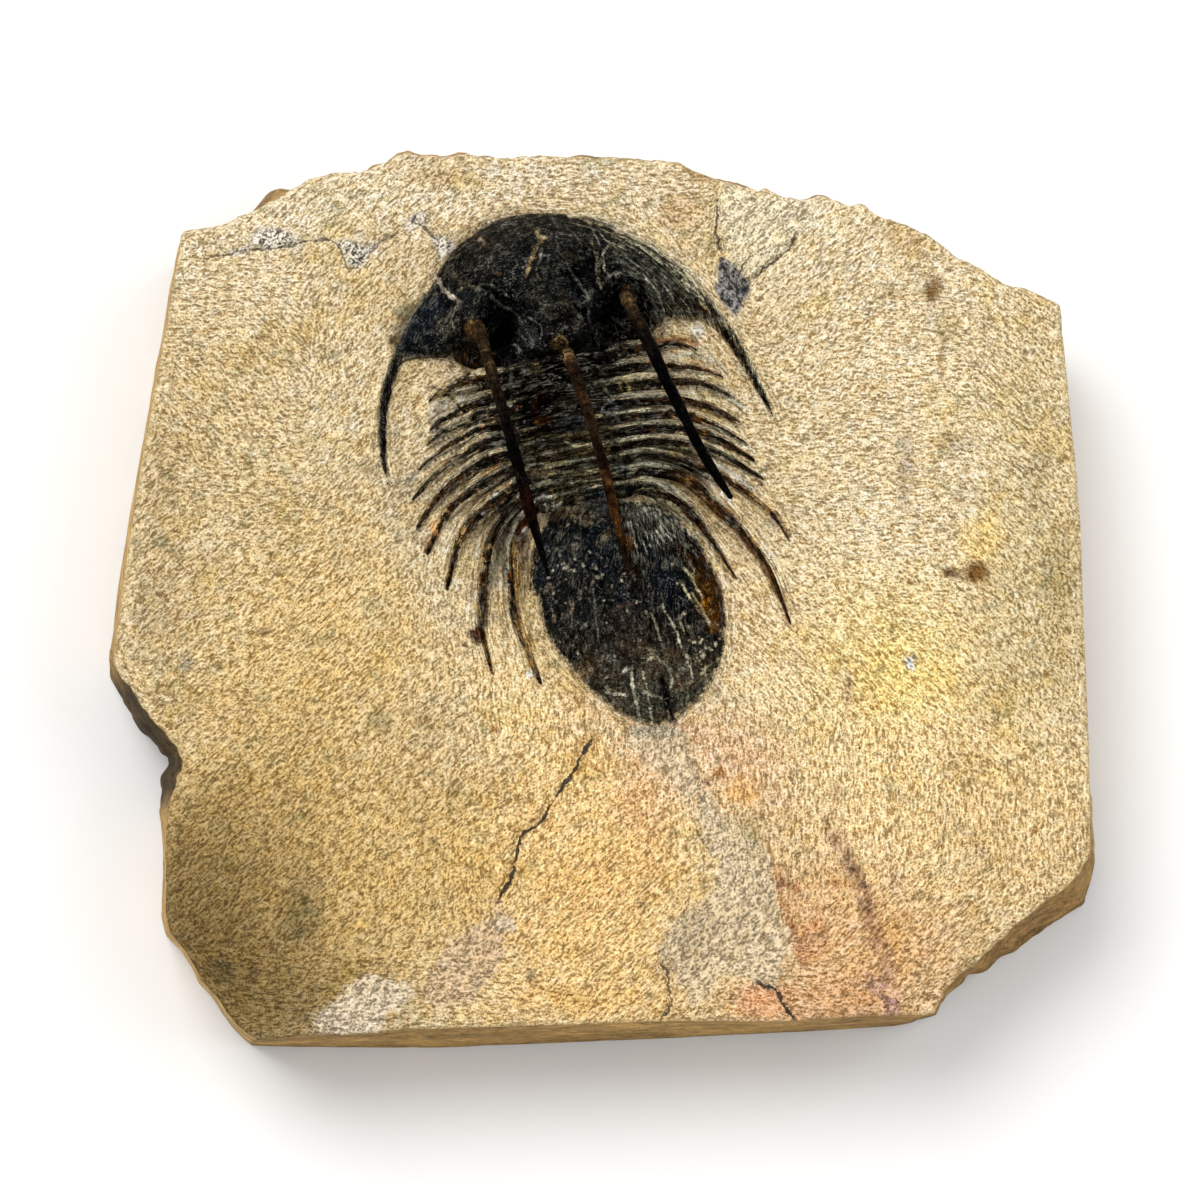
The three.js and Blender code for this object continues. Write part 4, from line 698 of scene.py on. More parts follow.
STROKES.append(("poly", [(468, 630), (474, 626), (480, 623), (485, 627), (487, 634), (485, 642), (478, 645), (473, 646),
                         (472, 639), (469, 635)], linear((58, 26, 8)), 0.97, 0.12, 0))
S([(461, 645), (467, 646)], 4, (64, 32, 12), 0.95)
S([(482, 630), (479, 640)], 3, (90, 46, 16), 0.5)
S([(483, 643), (487, 653), (490, 663), (492, 673), (493, 682)], 4.5, (150, 106, 52), 0.8, 0.05, 0.2)
S([(485, 650), (489, 661), (491, 670)], 2.0, (104, 66, 30), 0.7)
# matrix between the eighth and ninth spines, with grey strands
S([(518, 511), (509, 521), (503, 533), (499, 545), (496, 560), (494, 575), (490, 590)], 5, (158, 152, 128), 0.75, 0.15)
S([(522, 512), (514, 522), (508, 534), (505, 548)], 3, (132, 128, 106), 0.7, 0.1)
S([(512, 532), (507, 545), (505, 560), (506, 575)], 2.4, (112, 104, 86), 0.6)
B(503, 560, 6, 30, 4, (166, 158, 134), 0.5)
B(499, 582, 5, 6, 0, (206, 202, 188), 0.6)
# ninth left spine: amber with red-brown top
S([(527, 517), (522, 527), (520, 538), (519, 548)], 11, (98, 50, 24), 0.92, 0.1)
B(525, 530, 4, 2.6, -10, (226, 214, 190), 0.85, 0.1)
S([(521, 522), (524, 527)], 4, (130, 76, 34), 0.7)
B(524, 539, 6, 5, 0, (58, 26, 18), 0.7)
S([(516, 538), (515, 552), (516, 566), (518, 580), (518, 594), (517, 604)], 7, (190, 148, 84), 0.9, 0.1)
S([(523, 548), (523, 558), (521, 568)], 6, (104, 68, 36), 0.7)
S([(526, 545), (526, 560), (524, 575), (523, 590)], 4, (150, 142, 116), 0.7, 0.1)
S([(513, 537), (511, 552), (512, 568), (513, 582), (512, 594), (513, 606)], 2.6, (48, 36, 24), 0.88, -0.1)
S([(518, 570), (519, 585), (518, 598)], 2.0, (120, 84, 40), 0.7)
S([(519, 604), (519, 612), (515, 618)], 5, (196, 150, 92), 0.75)
S([(513, 618), (515, 622)], 4, (90, 60, 28), 0.8)
S([(518, 612), (520, 624), (524, 636), (528, 648), (531, 660), (532, 668)], 8, (206, 158, 88), 0.65)
S([(517, 616), (520, 628), (524, 640)], 2, (120, 80, 36), 0.7)
S([(522, 634), (527, 642)], 2.4, (140, 84, 30), 0.7)
B(531, 674, 5, 3.4, 30, (216, 214, 202), 0.7, 0.05)
S([(534, 671), (532, 676), (536, 686), (536, 700)], 2, (104, 92, 72), 0.7)
# tenth left spine: a short dark loop against the tail
S([(541, 546), (535, 551), (532, 562), (530, 576), (530, 592)], 3, (20, 16, 12), 0.93, -0.15)
S([(541, 546), (537, 552), (535, 566), (534, 582)], 5, (60, 50, 34), 0.8, 0.1)
B(541, 575, 6, 11, 0, (40, 52, 60), 0.75, 0.1)
S([(536, 556), (538, 566)], 4, (14, 12, 10), 0.85)
S([(530, 546), (528, 560), (526, 574), (526, 590)], 3, (146, 136, 110), 0.7, 0.1)
S([(532, 590), (537, 594), (541, 588)], 3.4, (110, 96, 72), 0.7)

# --- axis of the thorax
B(556, 412, 46, 26, -8, (24, 22, 18), 0.85)
B(533, 405, 18, 22, 0, (7, 6, 5), 0.92)
S([(538, 396), (535, 404), (536, 414)], 7, (52, 24, 12), 0.75)
S([(545, 388), (540, 398)], 7, (40, 18, 8), 0.7)
B(543, 421, 9, 5, 0, (98, 60, 22), 0.8)
B(511, 406, 1.8, 1.8, 0, (200, 196, 186), 0.9, 0.1)
B(524, 422, 1.3, 1.3, 0, (190, 188, 180), 0.9)
B(560, 377, 1.3, 1.3, 0, (160, 156, 148), 0.8)
B(569, 385, 1.3, 1.3, 0, (170, 164, 152), 0.8)
S([(516, 411), (517, 407), (521, 406)], 1.8, (120, 74, 48), 0.8)
S([(516, 424), (517, 430)], 2.6, (150, 138, 112), 0.8)
B(526, 371, 7, 5, 20, (118, 116, 104), 0.85, 0.3)
B(537, 369, 7, 6, 0, (110, 92, 62), 0.8, 0.3)
S([(512, 388), (516, 382), (522, 378)], 6, (96, 94, 82), 0.8, 0.2)
B(567, 402, 12, 8, -20, (74, 68, 50), 0.7, 0.1)
B(580, 393, 14, 8, -10, (72, 72, 66), 0.6, 0.1)
B(572, 424, 18, 10, 0, (54, 56, 56), 0.7, 0.1)
for k, (y0, y1, c, w) in enumerate([(436, 433, (92, 86, 56), 4), (442, 440, (34, 32, 24), 4), (450, 447, (112, 102, 74), 3.4),
                                    (456, 453, (64, 46, 26), 5), (462, 459, (120, 112, 76), 3.2), (468, 464, (58, 44, 20), 4),
                                    (473, 470, (134, 124, 92), 3), (478, 476, (30, 26, 20), 3.4), (483, 481, (158, 148, 118), 3.4)]):
    S([(522, y0 + 6), (535, y0 + 3), (550, y0 + 1), (565, y0), (580, y1), (592, y1), (604, y1 - 3)], w, c, 0.75,
      0.2 if sum(c) > 220 else -0.15)
S([(563, 441), (570, 444), (577, 446)], 2.2, (184, 174, 140), 0.8, 0.05)
S([(534, 440), (528, 447), (530, 456)], 3, (92, 84, 62), 0.6)
S([(526, 455), (533, 460), (530, 464)], 5, (124, 112, 92), 0.7, 0.2)
S([(525, 471), (531, 466), (538, 464), (545, 464)], 3, (184, 176, 150), 0.85, 0.2)
S([(545, 464), (546, 470), (543, 476), (549, 481), (556, 486)], 3.4, (166, 150, 118), 0.8, 0.2)
S([(532, 482), (538, 484), (545, 482)], 3, (164, 158, 138), 0.75, 0.15)
S([(532, 487), (535, 493), (538, 489)], 2.4, (120, 116, 102), 0.6)
B(544, 488, 5, 4, 10, (40, 42, 38), 0.85)
B(550, 472, 4, 4, 0, (150, 132, 96), 0.75, 0.1)
S([(548, 475), (556, 470), (564, 473), (570, 479)], 2.6, (150, 140, 104), 0.7, 0.1)
S([(536, 499), (543, 496), (550, 497), (554, 501), (553, 505)], 3, (196, 190, 170), 0.9, 0.2)
S([(537, 506), (542, 502), (548, 502), (550, 506)], 2.2, (40, 40, 36), 0.9)
S([(543, 503), (548, 506), (546, 511), (540, 516)], 2.6, (182, 176, 154), 0.8, 0.1)
S([(553, 508), (558, 505), (562, 502)], 3.2, (206, 200, 178), 0.85, 0.15)
S([(549, 506), (544, 514), (541, 524)], 3, (150, 142, 122), 0.7)
for x0 in (551, 556, 561, 566, 572, 577):
    S([(x0, 486), (x0 + 1, 492), (x0 + 2 + (x0 % 3), 500)], 2.4, (150, 122, 76) if x0 % 2 else (96, 76, 46), 0.7, 0.05)
S([(566, 503), (570, 511), (576, 518)], 3.4, (150, 136, 108), 0.7, 0.05)
S([(578, 490), (576, 500), (575, 510)], 2, (140, 132, 104), 0.6)
S([(602, 413), (604, 406), (609, 403), (615, 405), (618, 411), (618, 418)], 2.6, (150, 152, 148), 0.85, 0.25)
S([(607, 416), (609, 410), (614, 409), (615, 416)], 2.4, (140, 142, 138), 0.8, 0.2)
S([(607, 398), (611, 396), (614, 399)], 2.4, (140, 136, 120), 0.7, 0.1)
S([(600, 385), (606, 390), (611, 397)], 2.6, (130, 122, 98), 0.7, 0.1)
S([(604, 424), (608, 430), (606, 438)], 3.4, (60, 60, 54), 0.8)
B(614, 450, 5, 6, 20, (5, 5, 5), 0.95, -0.4)
B(613, 461, 3, 3, 0, (8, 8, 8), 0.9, -0.2)
S([(608, 440), (612, 444), (620, 446)], 2.4, (150, 138, 110), 0.7, 0.1)
B(619, 467, 7, 4, 0, (96, 98, 92), 0.7, 0.15)
S([(612, 474), (620, 471), (628, 468)], 2.6, (150, 144, 122), 0.65, 0.1)
B(629, 489, 6, 5, 0, (16, 18, 18), 0.9, -0.2)
B(623, 500, 6, 4, 0, (120, 112, 88), 0.6, 0.1)
S([(586, 372), (592, 384), (598, 394)], 5, (50, 48, 40), 0.6)
B(604, 377, 7, 5, 0, (60, 58, 48), 0.6)

# --- tail
B(600, 500, 22, 17, 0, (30, 40, 48), 0.75)
B(602, 545, 22, 24, -20, (26, 38, 46), 0.6)
B(560, 560, 26, 44, -8, (40, 42, 44), 0.5)
B(575, 610, 30, 40, -10, (44, 45, 42), 0.5)
B(662, 575, 12, 34, -14, (22, 30, 38), 0.8)
B(648, 560, 7, 26, -6, (12, 15, 18), 0.75)
B(632, 555, 9, 42, -6, (44, 30, 18), 0.8)
B(628, 540, 5, 12, 0, (104, 60, 20), 0.7)
B(636, 590, 8, 14, 0, (24, 20, 14), 0.8)
STROKES.append(("poly", [(612, 606), (626, 600), (640, 604), (647, 616), (649, 634), (647, 648), (638, 658), (626, 663),
                         (614, 656), (604, 643), (602, 624)], linear((66, 55, 45)), 0.5, 0.1, 0))
S([(604, 640), (616, 640), (630, 638)], 4, (44, 36, 28), 0.6, -0.05)
S([(612, 612), (622, 606), (634, 604)], 3, (110, 88, 76), 0.55)
S([(618, 650), (626, 658), (636, 660)], 5, (40, 26, 14), 0.8, -0.1)
B(648, 625, 5, 10, 0, (100, 84, 66), 0.6)
STROKES.append(("poly", [(668, 524), (682, 534), (694, 545), (705, 556), (712, 568), (718, 580), (723, 596), (724, 612),
                         (721, 626), (714, 633), (706, 627), (700, 612), (697, 596), (692, 580), (684, 562), (676, 546)],
                linear((66, 44, 20)), 0.85, 0.0, 0))
B(690, 545, 9, 12, -35, (38, 28, 20), 0.7)
B(710, 588, 11, 20, -20, (88, 55, 14), 0.85)
B(711, 611, 11, 15, -10, (112, 68, 12), 0.9)
B(714, 628, 7, 7, 0, (126, 78, 18), 0.8)
B(698, 570, 8, 16, -25, (66, 41, 12), 0.75)
B(706, 604, 4, 9, -10, (134, 84, 18), 0.6)
S([(708, 606), (716, 604), (722, 602)], 2.4, (30, 20, 10), 0.8)
S([(704, 571), (712, 577), (718, 583)], 2.4, (130, 96, 48), 0.6)
S([(710, 567), (715, 573), (718, 578)], 3, (176, 160, 124), 0.75)
B(716, 640, 9, 7, 0, (34, 32, 28), 0.7)
# borders and striations at the top right
S([(636, 505), (646, 501), (658, 501), (668, 507), (680, 516), (692, 526), (702, 536), (711, 546), (717, 557), (722, 570)], 3.6,
  (186, 178, 146), 0.85, 0.2)
S([(672, 515), (684, 526), (696, 537), (706, 549)], 2, (150, 142, 118), 0.6)
S([(660, 503), (672, 513), (684, 525), (696, 536)], 2.4, (112, 104, 84), 0.6)
S([(645, 506), (642, 515), (641, 526)], 2.2, (130, 130, 112), 0.7, 0.05)
S([(650, 508), (649, 518), (652, 528), (650, 540)], 2.0, (112, 112, 98), 0.6, 0.05)
S([(657, 508), (662, 517), (660, 528), (657, 545)], 2.0, (116, 116, 100), 0.6, 0.05)
S([(664, 509), (670, 518), (676, 528)], 2.0, (120, 116, 96), 0.6)
S([(638, 502), (640, 508), (646, 512)], 2.2, (150, 146, 120), 0.6)
S([(655, 540), (656, 552), (654, 560)], 1.8, (92, 90, 74), 0.5)
S([(634, 506), (637, 514), (641, 524), (643, 536)], 4.5, (8, 9, 9), 0.93, -0.3)
S([(626, 505), (630, 515), (632, 526)], 6, (74, 66, 60), 0.6, 0.1)
S([(672, 530), (676, 540), (678, 550)], 6, (50, 40, 36), 0.6)
S([(612, 512), (606, 520), (602, 528)], 4, (60, 56, 44), 0.4)
# a fan of hair-fine strands
for k in range(26):
    a, b, c = k / 25, (k * 0.618) % 1, (k * 0.377) % 1
    long_ = 22 + 34 * c
    bend = 0.12 + 0.8 * a
    S([(626 + 37 * a + bend * u * long_ * (0.55 + 0.45 * u), 506 - 4 * math.sin(math.pi * a) + 8 * b + u * long_ * (1 - 0.2 * a))
       for u in (0, 0.25, 0.5, 0.75, 1)], 1.5 + 0.7 * c,
      [(158, 160, 144), (112, 116, 108), (186, 182, 158), (12, 15, 18), (140, 138, 118)][k % 5], 0.8, 0.04 if k % 5 != 3 else -0.05, 0.4)
# scratches
for pts, w, c in [
    ([(662, 604), (666, 613), (672, 622), (677, 632), (680, 643), (684, 653), (689, 664), (693, 678)], 2.4, (196, 188, 160)),
    ([(651, 613), (655, 622), (658, 631), (661, 640)], 2.2, (158, 152, 126)),
    ([(681, 583), (686, 592), (691, 600)], 2.6, (180, 170, 132)),
    ([(684, 568), (690, 575), (696, 586), (702, 597)], 2.2, (164, 154, 120)),
    ([(690, 577), (694, 570), (691, 566)], 2.0, (130, 124, 96)),
    ([(691, 592), (698, 603), (705, 614), (710, 626)], 2.4, (184, 166, 120)),
    ([(692, 601), (700, 612), (706, 618)], 2.2, (150, 124, 76)),
    ([(679, 619), (682, 627), (685, 634)], 2.6, (190, 176, 136)),
    ([(592, 584), (594, 598), (595, 612), (597, 628), (600, 645), (603, 656)], 2.0, (116, 116, 104)),
    ([(582, 500), (580, 530), (582, 560)], 1.6, (74, 74, 68)),
    ([(568, 545), (570, 575), (568, 605)], 1.6, (84, 84, 76)),
    ([(570, 602), (572, 622), (568, 640)], 1.8, (104, 100, 84)),
    ([(556, 548), (552, 560)], 3, (104, 98, 82)),
    ([(558, 540), (564, 534)], 3, (96, 90, 74)),
    ([(632, 666), (632, 680), (635, 696), (638, 712), (640, 724)], 3.0, (176, 174, 152)),
    ([(642, 668), (645, 682), (648, 696), (651, 712), (652, 722)], 2.2, (168, 164, 138)),
    ([(648, 648), (656, 656), (664, 664), (672, 670)], 2.6, (120, 116, 98)),
    ([(606, 693), (614, 694), (624, 695)], 3.0, (198, 192, 168)),
    ([(612, 690), (606, 686), (610, 696)], 2.2, (160, 154, 130)),
    ([(643, 692), (652, 695), (663, 698)], 3.0, (170, 166, 142)),
    ([(668, 668), (672, 680), (670, 690)], 2.0, (132, 130, 110)),
    ([(674, 655), (690, 658), (704, 664)], 2.2, (140, 132, 104)),
    ([(700, 676), (706, 668), (712, 664)], 2.4, (170, 160, 124)),
    ([(684, 680), (688, 694), (686, 706)], 2.0, (110, 108, 90)),
    ([(676, 690), (680, 704), (684, 712)], 2.0, (126, 120, 96)),
    ([(700, 690), (694, 700), (690, 708)], 3.0, (122, 112, 86)),
    ([(588, 668), (594, 674)], 2.2, (120, 112, 88)),
]:
    S(pts, w * 0.95, tuple(min(235, v * 1.12) for v in c), 0.85, 0.05)
S([(628, 668), (620, 674), (626, 670), (632, 668)], 3.4, (206, 200, 176), 0.85, 0.1)
S([(640, 664), (648, 660), (653, 658)], 3, (184, 178, 150), 0.8, 0.1)
S([(622, 666), (632, 664), (642, 663)], 2.4, (44, 36, 28), 0.7, -0.1)
S([(649, 616), (649, 630), (648, 646)], 4.4, (6, 6, 6), 0.93, -0.25)
S([(661, 676), (664, 688), (667, 700), (670, 712), (674, 723)], 6.5, (6, 7, 8), 0.95, -0.4)
S([(668, 712), (671, 722)], 3, (170, 164, 138), 0.8)
S([(681, 703), (686, 712), (680, 720)], 3, (180, 170, 132), 0.6)
B(612, 672, 16, 9, 20, (42, 32, 22), 0.7)
B(690, 655, 16, 12, 0, (70, 60, 50), 0.55)
B(676, 652, 9, 8, 0, (110, 86, 64), 0.6)
B(596, 655, 9, 8, 0, (76, 62, 48), 0.55)
B(588, 628, 7, 5, 0, (72, 64, 54), 0.6)
B(578, 655, 9, 8, 0, (14, 15, 16), 0.8)
B(553, 615, 11, 9, 0, (16, 18, 20), 0.7)
B(568, 636, 8, 7, 0, (20, 22, 24), 0.6)
S([(545, 592), (549, 586), (554, 590)], 6, (150, 132, 112), 0.7, 0.1)
S([(571, 602), (572, 609), (569, 613)], 5, (150, 130, 104), 0.8, 0.1)
B(554, 619, 3, 4, 0, (140, 124, 104), 0.75, 0.05)
B(565, 616, 3, 3, 0, (130, 116, 98), 0.7)
B(568, 646, 5, 3, -20, (130, 122, 100), 0.7)
B(586, 524, 6, 4, 0, (134, 120, 98), 0.7, 0.05)
B(576, 546, 5, 3.4, 20, (140, 132, 118), 0.75, 0.05)
B(606, 536, 9, 6, -35, (110, 96, 74), 0.65)
B(600, 545, 5, 3, 0, (96, 84, 64), 0.5)
B(560, 534, 4, 3, 0, (120, 110, 92), 0.65)
for x, y, r in [(566, 567, 3), (575, 571, 2.6), (583, 565, 2.4), (597, 577, 3), (602, 574, 2), (584, 580, 2.4), (594, 582, 2),
                (560, 556, 2), (553, 571, 2), (580, 592, 3), (586, 588, 2.4), (590, 552, 2), (612, 586, 2), (622, 580, 2),
                (673, 564, 2.6), (681, 617, 3.4), (684, 613, 2.6), (689, 627, 2.4), (694, 642, 2.2), (702, 640, 1.8),
                (716, 644, 2.4), (720, 639, 2), (712, 650, 1.8), (687, 656, 3), (690, 659, 2.2), (703, 656, 3.6), (701, 652, 2),
                (718, 660, 1.8), (610, 660, 2), (615, 656, 1.6), (606, 700, 2.2), (612, 703, 2), (598, 702, 2.2), (641, 640, 1.6),
                (700, 643, 2), (706, 648, 1.6), (559, 590, 2), (566, 580, 2), (548, 578, 2.4)]:
    B(x, y, r * 0.95, r * 0.7, (x * 37 + y * 11) % 180, (204, 190, 158) if x > 660 else (172, 162, 142), 0.9, 0.04)
scatter = np.random.default_rng(77)
for k in range(96):
    cx, cy, sx, sy = [(572, 580, 17, 34), (696, 656, 15, 14), (628, 620, 42, 46)][k % 3]
    gx, gy, size, wide, way, tint = cx + sx * scatter.normal(), cy + sy * scatter.normal(), *scatter.random(4)
    B(gx, gy, 0.9 + 2.1 * size**2, 0.8 + 0.9 * wide, 180 * way, (128 + 66 * tint, 122 + 60 * tint, 104 + 48 * tint), 0.35 + 0.5 * tint, 0.03)

# --- the slab: cracks (kept apart, they are cut sharply), filler patches and stains
CRACKS = [
    (rounded([(596, 736), (582, 754), (573, 773), (559, 792), (548, 810), (539, 824), (527, 831), (520, 838), (517, 856),
              (511, 877), (505, 888), (497, 904)], n=6), 5.6, 1.0),
    (rounded([(752, 981), (759, 983), (766, 987), (776, 989), (783, 1004), (790, 1014), (797, 1024)], n=6), 5.4, 1.0),
    (rounded([(658, 959), (663, 966), (668, 974), (670, 992), (672, 1003), (663, 1017), (656, 1022)], n=6), 3.4, 0.85),
    (rounded([(594, 1008), (614, 995), (630, 987), (640, 972), (647, 955)], n=6), 1.3, 0.45),
    (rounded([(695, 824), (701, 838), (712, 856)], n=6), 2.0, 0.5),
    (rounded([(200, 260), (225, 255), (250, 250), (280, 248), (320, 240), (338, 245), (345, 262), (352, 268), (370, 255),
              (380, 243), (400, 232), (415, 222), (425, 228), (440, 245)], n=6), 2.5, 0.75),
    (rounded([(718, 195), (717, 210), (716, 225), (715, 233), (718, 240), (722, 256)], n=6), 3.2, 0.9),
    (rounded([(752, 280), (758, 275), (765, 268), (775, 262), (784, 254), (790, 248), (797, 232)], n=6), 3.4, 0.85),
    (rounded([(748, 258), (742, 268), (737, 280), (738, 296), (745, 312)], n=6), 2.4, 0.9),
    (rounded([(720, 262), (730, 278), (741, 290), (752, 288)], n=6), 2.4, 0.9),
]
SLAB_MARKS = []


def M(kind, shape, colour, strength, soft=3.0, relief=0.0):
    SLAB_MARKS.append((kind, shape, linear(colour), strength, soft, relief))


# broad zones: the stone is brightest in the middle and lower middle and darker toward the left and lower left, partly a
# painted pool of light
M("blob", (250, 260, 120, 80, -20), (221, 202, 166), 0.85, 1)
M("blob", (420, 190, 160, 40, -5), (222, 204, 168), 0.8, 1)
M("blob", (600, 185, 140, 34, 5), (216, 197, 162), 0.7, 1)
M("blob", (860, 260, 190, 90, 25), (225, 204, 165), 0.8, 1)
M("blob", (930, 480, 150, 170, 0), (227, 205, 164), 0.9, 1)
M("blob", (880, 660, 130, 90, 0), (236, 206, 138), 0.8, 1)
M("blob", (1030, 560, 60, 260, 0), (206, 184, 136), 0.8, 1)
M("blob", (250, 460, 140, 190, 10), (208, 184, 138), 0.9, 1)
M("blob", (330, 640, 150, 110, -30), (214, 182, 122), 0.9, 1)
M("blob", (280, 830, 170, 140, 0), (196, 164, 104), 0.95, 1)
M("blob", (250, 970, 150, 100, 20), (140, 114, 64), 0.85, 1)
M("blob", (235, 930, 135, 125, 30), (105, 84, 43), 0.78, 1)
M("blob", (290, 905, 90, 60, 0), (126, 103, 60), 0.5, 1)
M("blob", (210, 830, 50, 60, 10), (146, 120, 70), 0.5, 1)
M("blob", (900, 770, 110, 50, 10), (244, 214, 156), 0.5, 1)
M("blob", (420, 880, 150, 110, 0), (204, 170, 108), 0.8, 1)
M("blob", (600, 820, 110, 120, 0), (234, 194, 130), 0.9, 1)
M("blob", (600, 960, 120, 90, 0), (230, 190, 126), 0.85, 1)
M("blob", (720, 760, 80, 50, 20), (222, 180, 138), 0.8, 1)
M("blob", (650, 745, 90, 40, 30), (228, 194, 152), 0.7, 1)
M("blob", (860, 930, 110, 110, 0), (216, 170, 118), 0.9, 1)
M("blob", (940, 800, 140, 100, 0), (240, 206, 148), 0.8, 1)
M("blob", (1010, 850, 80, 80, 0), (220, 188, 134), 0.8, 1)
M("blob", (760, 1000, 34, 20, 0), (224, 158, 112), 0.8, 1)
M("blob", (840, 1005, 70, 26, 0), (206, 156, 110), 0.7, 1)
M("blob", (340, 400, 60, 70, 0), (216, 196, 156), 0.6, 1)
M("blob", (430, 540, 40, 120, -25), (214, 196, 160), 0.7, 1)
M("blob", (820, 440, 60, 130, 10), (220, 198, 156), 0.6, 1)
M("blob", (770, 640, 70, 80, 0), (230, 202, 156), 0.7, 1)
M("blob", (170, 560, 40, 190, 0), (196, 172, 128), 0.6, 1)
M("blob", (520, 700, 50, 60, -30), (236, 204, 146), 0.7, 1)
M("blob", (905, 680, 45, 40, 0), (244, 210, 126), 0.6, 1)
M("blob", (985, 540, 18, 34, 15), (236, 200, 120), 0.6, 1)
# filler and patches
M("poly", [(718, 185), (760, 195), (830, 200), (815, 222), (800, 236), (782, 252), (752, 278), (738, 268), (724, 260), (719, 235)],
  (226, 212, 180), 0.75, 3)
M("poly", [(633, 730), (660, 728), (686, 734), (690, 750), (700, 769), (708, 792), (720, 812), (743, 831), (766, 845), (771, 865),
           (776, 890), (784, 916), (792, 941), (789, 955), (776, 988), (754, 979), (738, 973), (716, 976), (711, 998),
           (694, 1001), (676, 990), (668, 972), (664, 952), (662, 930), (680, 909), (699, 900), (714, 886), (717, 865),
           (709, 847), (695, 822), (686, 799), (679, 782), (660, 774), (642, 768), (634, 750)],
  (212, 191, 156), 0.88, 1.6, -0.14)
M("blob", (690, 940, 26, 40, 20), (188, 166, 130), 0.6, 1)
M("poly", [(378, 976), (407, 980), (415, 993), (402, 1004), (387, 1022), (378, 1033), (311, 1036), (324, 1011), (346, 989),
           (365, 980)], (214, 196, 168), 0.88, 1.6, -0.08)
M("poly", [(500, 905), (508, 918), (506, 940), (492, 968), (480, 988), (462, 1003), (445, 1006), (425, 1000), (424, 985),
           (433, 968), (445, 945), (468, 925)], (206, 178, 144), 0.74, 2.2, -0.06)
M("blob", (505, 925, 12, 10, 0), (200, 184, 160), 0.7, 1)
for shape in [[(250, 234), (268, 226), (284, 228), (298, 238), (302, 247), (286, 246), (268, 250), (252, 246)],
              [(336, 243), (350, 240), (366, 246), (378, 243), (372, 256), (356, 270), (346, 266), (341, 254)],
              [(405, 222), (416, 212), (426, 214), (428, 224), (416, 226), (408, 232)],
              [(430, 236), (444, 234), (456, 244), (452, 254), (440, 260), (436, 248)],
              [(228, 250), (250, 246), (246, 254), (230, 257)]]:
    M("poly", shape, (204, 198, 186), 0.85, 3.5, 0.08)
M("poly", [(720, 256), (727, 258), (733, 266), (742, 276), (750, 280), (749, 292), (744, 302), (738, 318), (729, 311),
           (722, 301), (717, 287), (717, 271)], (122, 120, 120), 0.95, 1.6, -0.15)
M("blob", (745, 290, 5, 4, 0), (26, 26, 30), 0.95, 1, -0.1)
M("blob", (726, 302, 5, 4, 30), (30, 30, 34), 0.9, 1, -0.1)
# stains and specks
M("blob", (931, 292, 7, 12, 10), (106, 76, 34), 0.9, 1)
M("blob", (976, 573, 15, 13, 0), (112, 74, 18), 0.95, 1)
M("blob", (952, 573, 11, 6, 20), (84, 56, 20), 0.9, 1)
M("blob", (934, 288, 10, 14, 10), (112, 80, 34), 0.8, 1)
M("blob", (910, 580, 4, 3, -30), (120, 74, 30), 0.85, 1)
M("blob", (910, 663, 4, 8, 10), (206, 216, 226), 0.95, 1, 0.08)
M("blob", (914, 657, 5, 2.5, 20), (70, 78, 88), 0.9, 1)
M("blob", (495, 729, 5, 4, 0), (150, 96, 34), 0.8, 1)
M("blob", (394, 340, 6, 6, 0), (112, 88, 44), 0.8, 1)
M("blob", (262, 337, 8, 5, 0), (128, 102, 60), 0.75, 1)
M("blob", (305, 915, 22, 34, 15), (120, 104, 66), 0.65, 1)
M("blob", (224, 972, 14, 12, 0), (92, 78, 46), 0.75, 1)
M("blob", (362, 830, 5, 4, 0), (88, 66, 32), 0.8, 1)
M("blob", (186, 665, 8, 8, 0), (132, 128, 112), 0.7, 1)
M("blob", (382, 720, 16, 14, 40), (150, 134, 92), 0.6, 1)
M("blob", (265, 632, 10, 6, 0), (130, 102, 70), 0.7, 1)
M("blob", (905, 465, 9, 44, -4), (166, 148, 118), 0.7, 1)
M("blob", (948, 445, 14, 18, 0), (170, 152, 116), 0.65, 1)
M("blob", (1058, 585, 16, 60, 0), (166, 146, 98), 0.65, 1)
M("blob", (1040, 470, 14, 30, 20), (176, 158, 120), 0.55, 1)
M("blob", (892, 292, 10, 9, 0), (150, 130, 86), 0.65, 1)
M("blob", (948, 325, 16, 26, 0), (186, 166, 118), 0.6, 1)
M("blob", (962, 490, 30, 10, 20), (186, 170, 134), 0.5, 1)
M("blob", (848, 690, 7, 22, 0), (160, 138, 112), 0.6, 1)
M("blob", (680, 210, 26, 20, 0), (196, 160, 112), 0.6, 1)
M("blob", (440, 175, 30, 14, 0), (190, 160, 108), 0.6, 1)
M("blob", (900, 235, 30, 12, 25), (192, 160, 110), 0.6, 1)
M("blob", (700, 175, 24, 8, 20), (160, 130, 86), 0.6, 1)
M("blob", (160, 470, 14, 40, 5), (176, 150, 104), 0.6, 1)
M("blob", (150, 610, 18, 40, 0), (180, 160, 118), 0.6, 1)
M("blob", (380, 610, 26, 24, -20), (196, 174, 128), 0.5, 1)
M("blob", (1000, 700, 30, 24, 0), (196, 170, 112), 0.6, 1)
M("blob", (965, 760, 30, 20, 0), (196, 166, 112), 0.6, 1)
M("stroke", ([(420, 820), (430, 836), (438, 848), (446, 856)], 7), (116, 98, 74), 0.85, 2)
M("stroke", ([(518, 964), (530, 976), (543, 991)], 9), (128, 106, 72), 0.8, 2)
M("stroke", ([(838, 838), (846, 856), (862, 892), (870, 918), (882, 950), (888, 980), (893, 1008)], 17), (138, 96, 84), 0.85, 6)
M("stroke", ([(845, 850), (852, 866), (864, 880), (868, 906), (876, 930)], 4), (96, 62, 46), 0.9, 2)
M("stroke", ([(776, 866), (780, 888), (788, 915), (797, 942), (803, 966)], 6), (128, 62, 32), 0.95, 3)
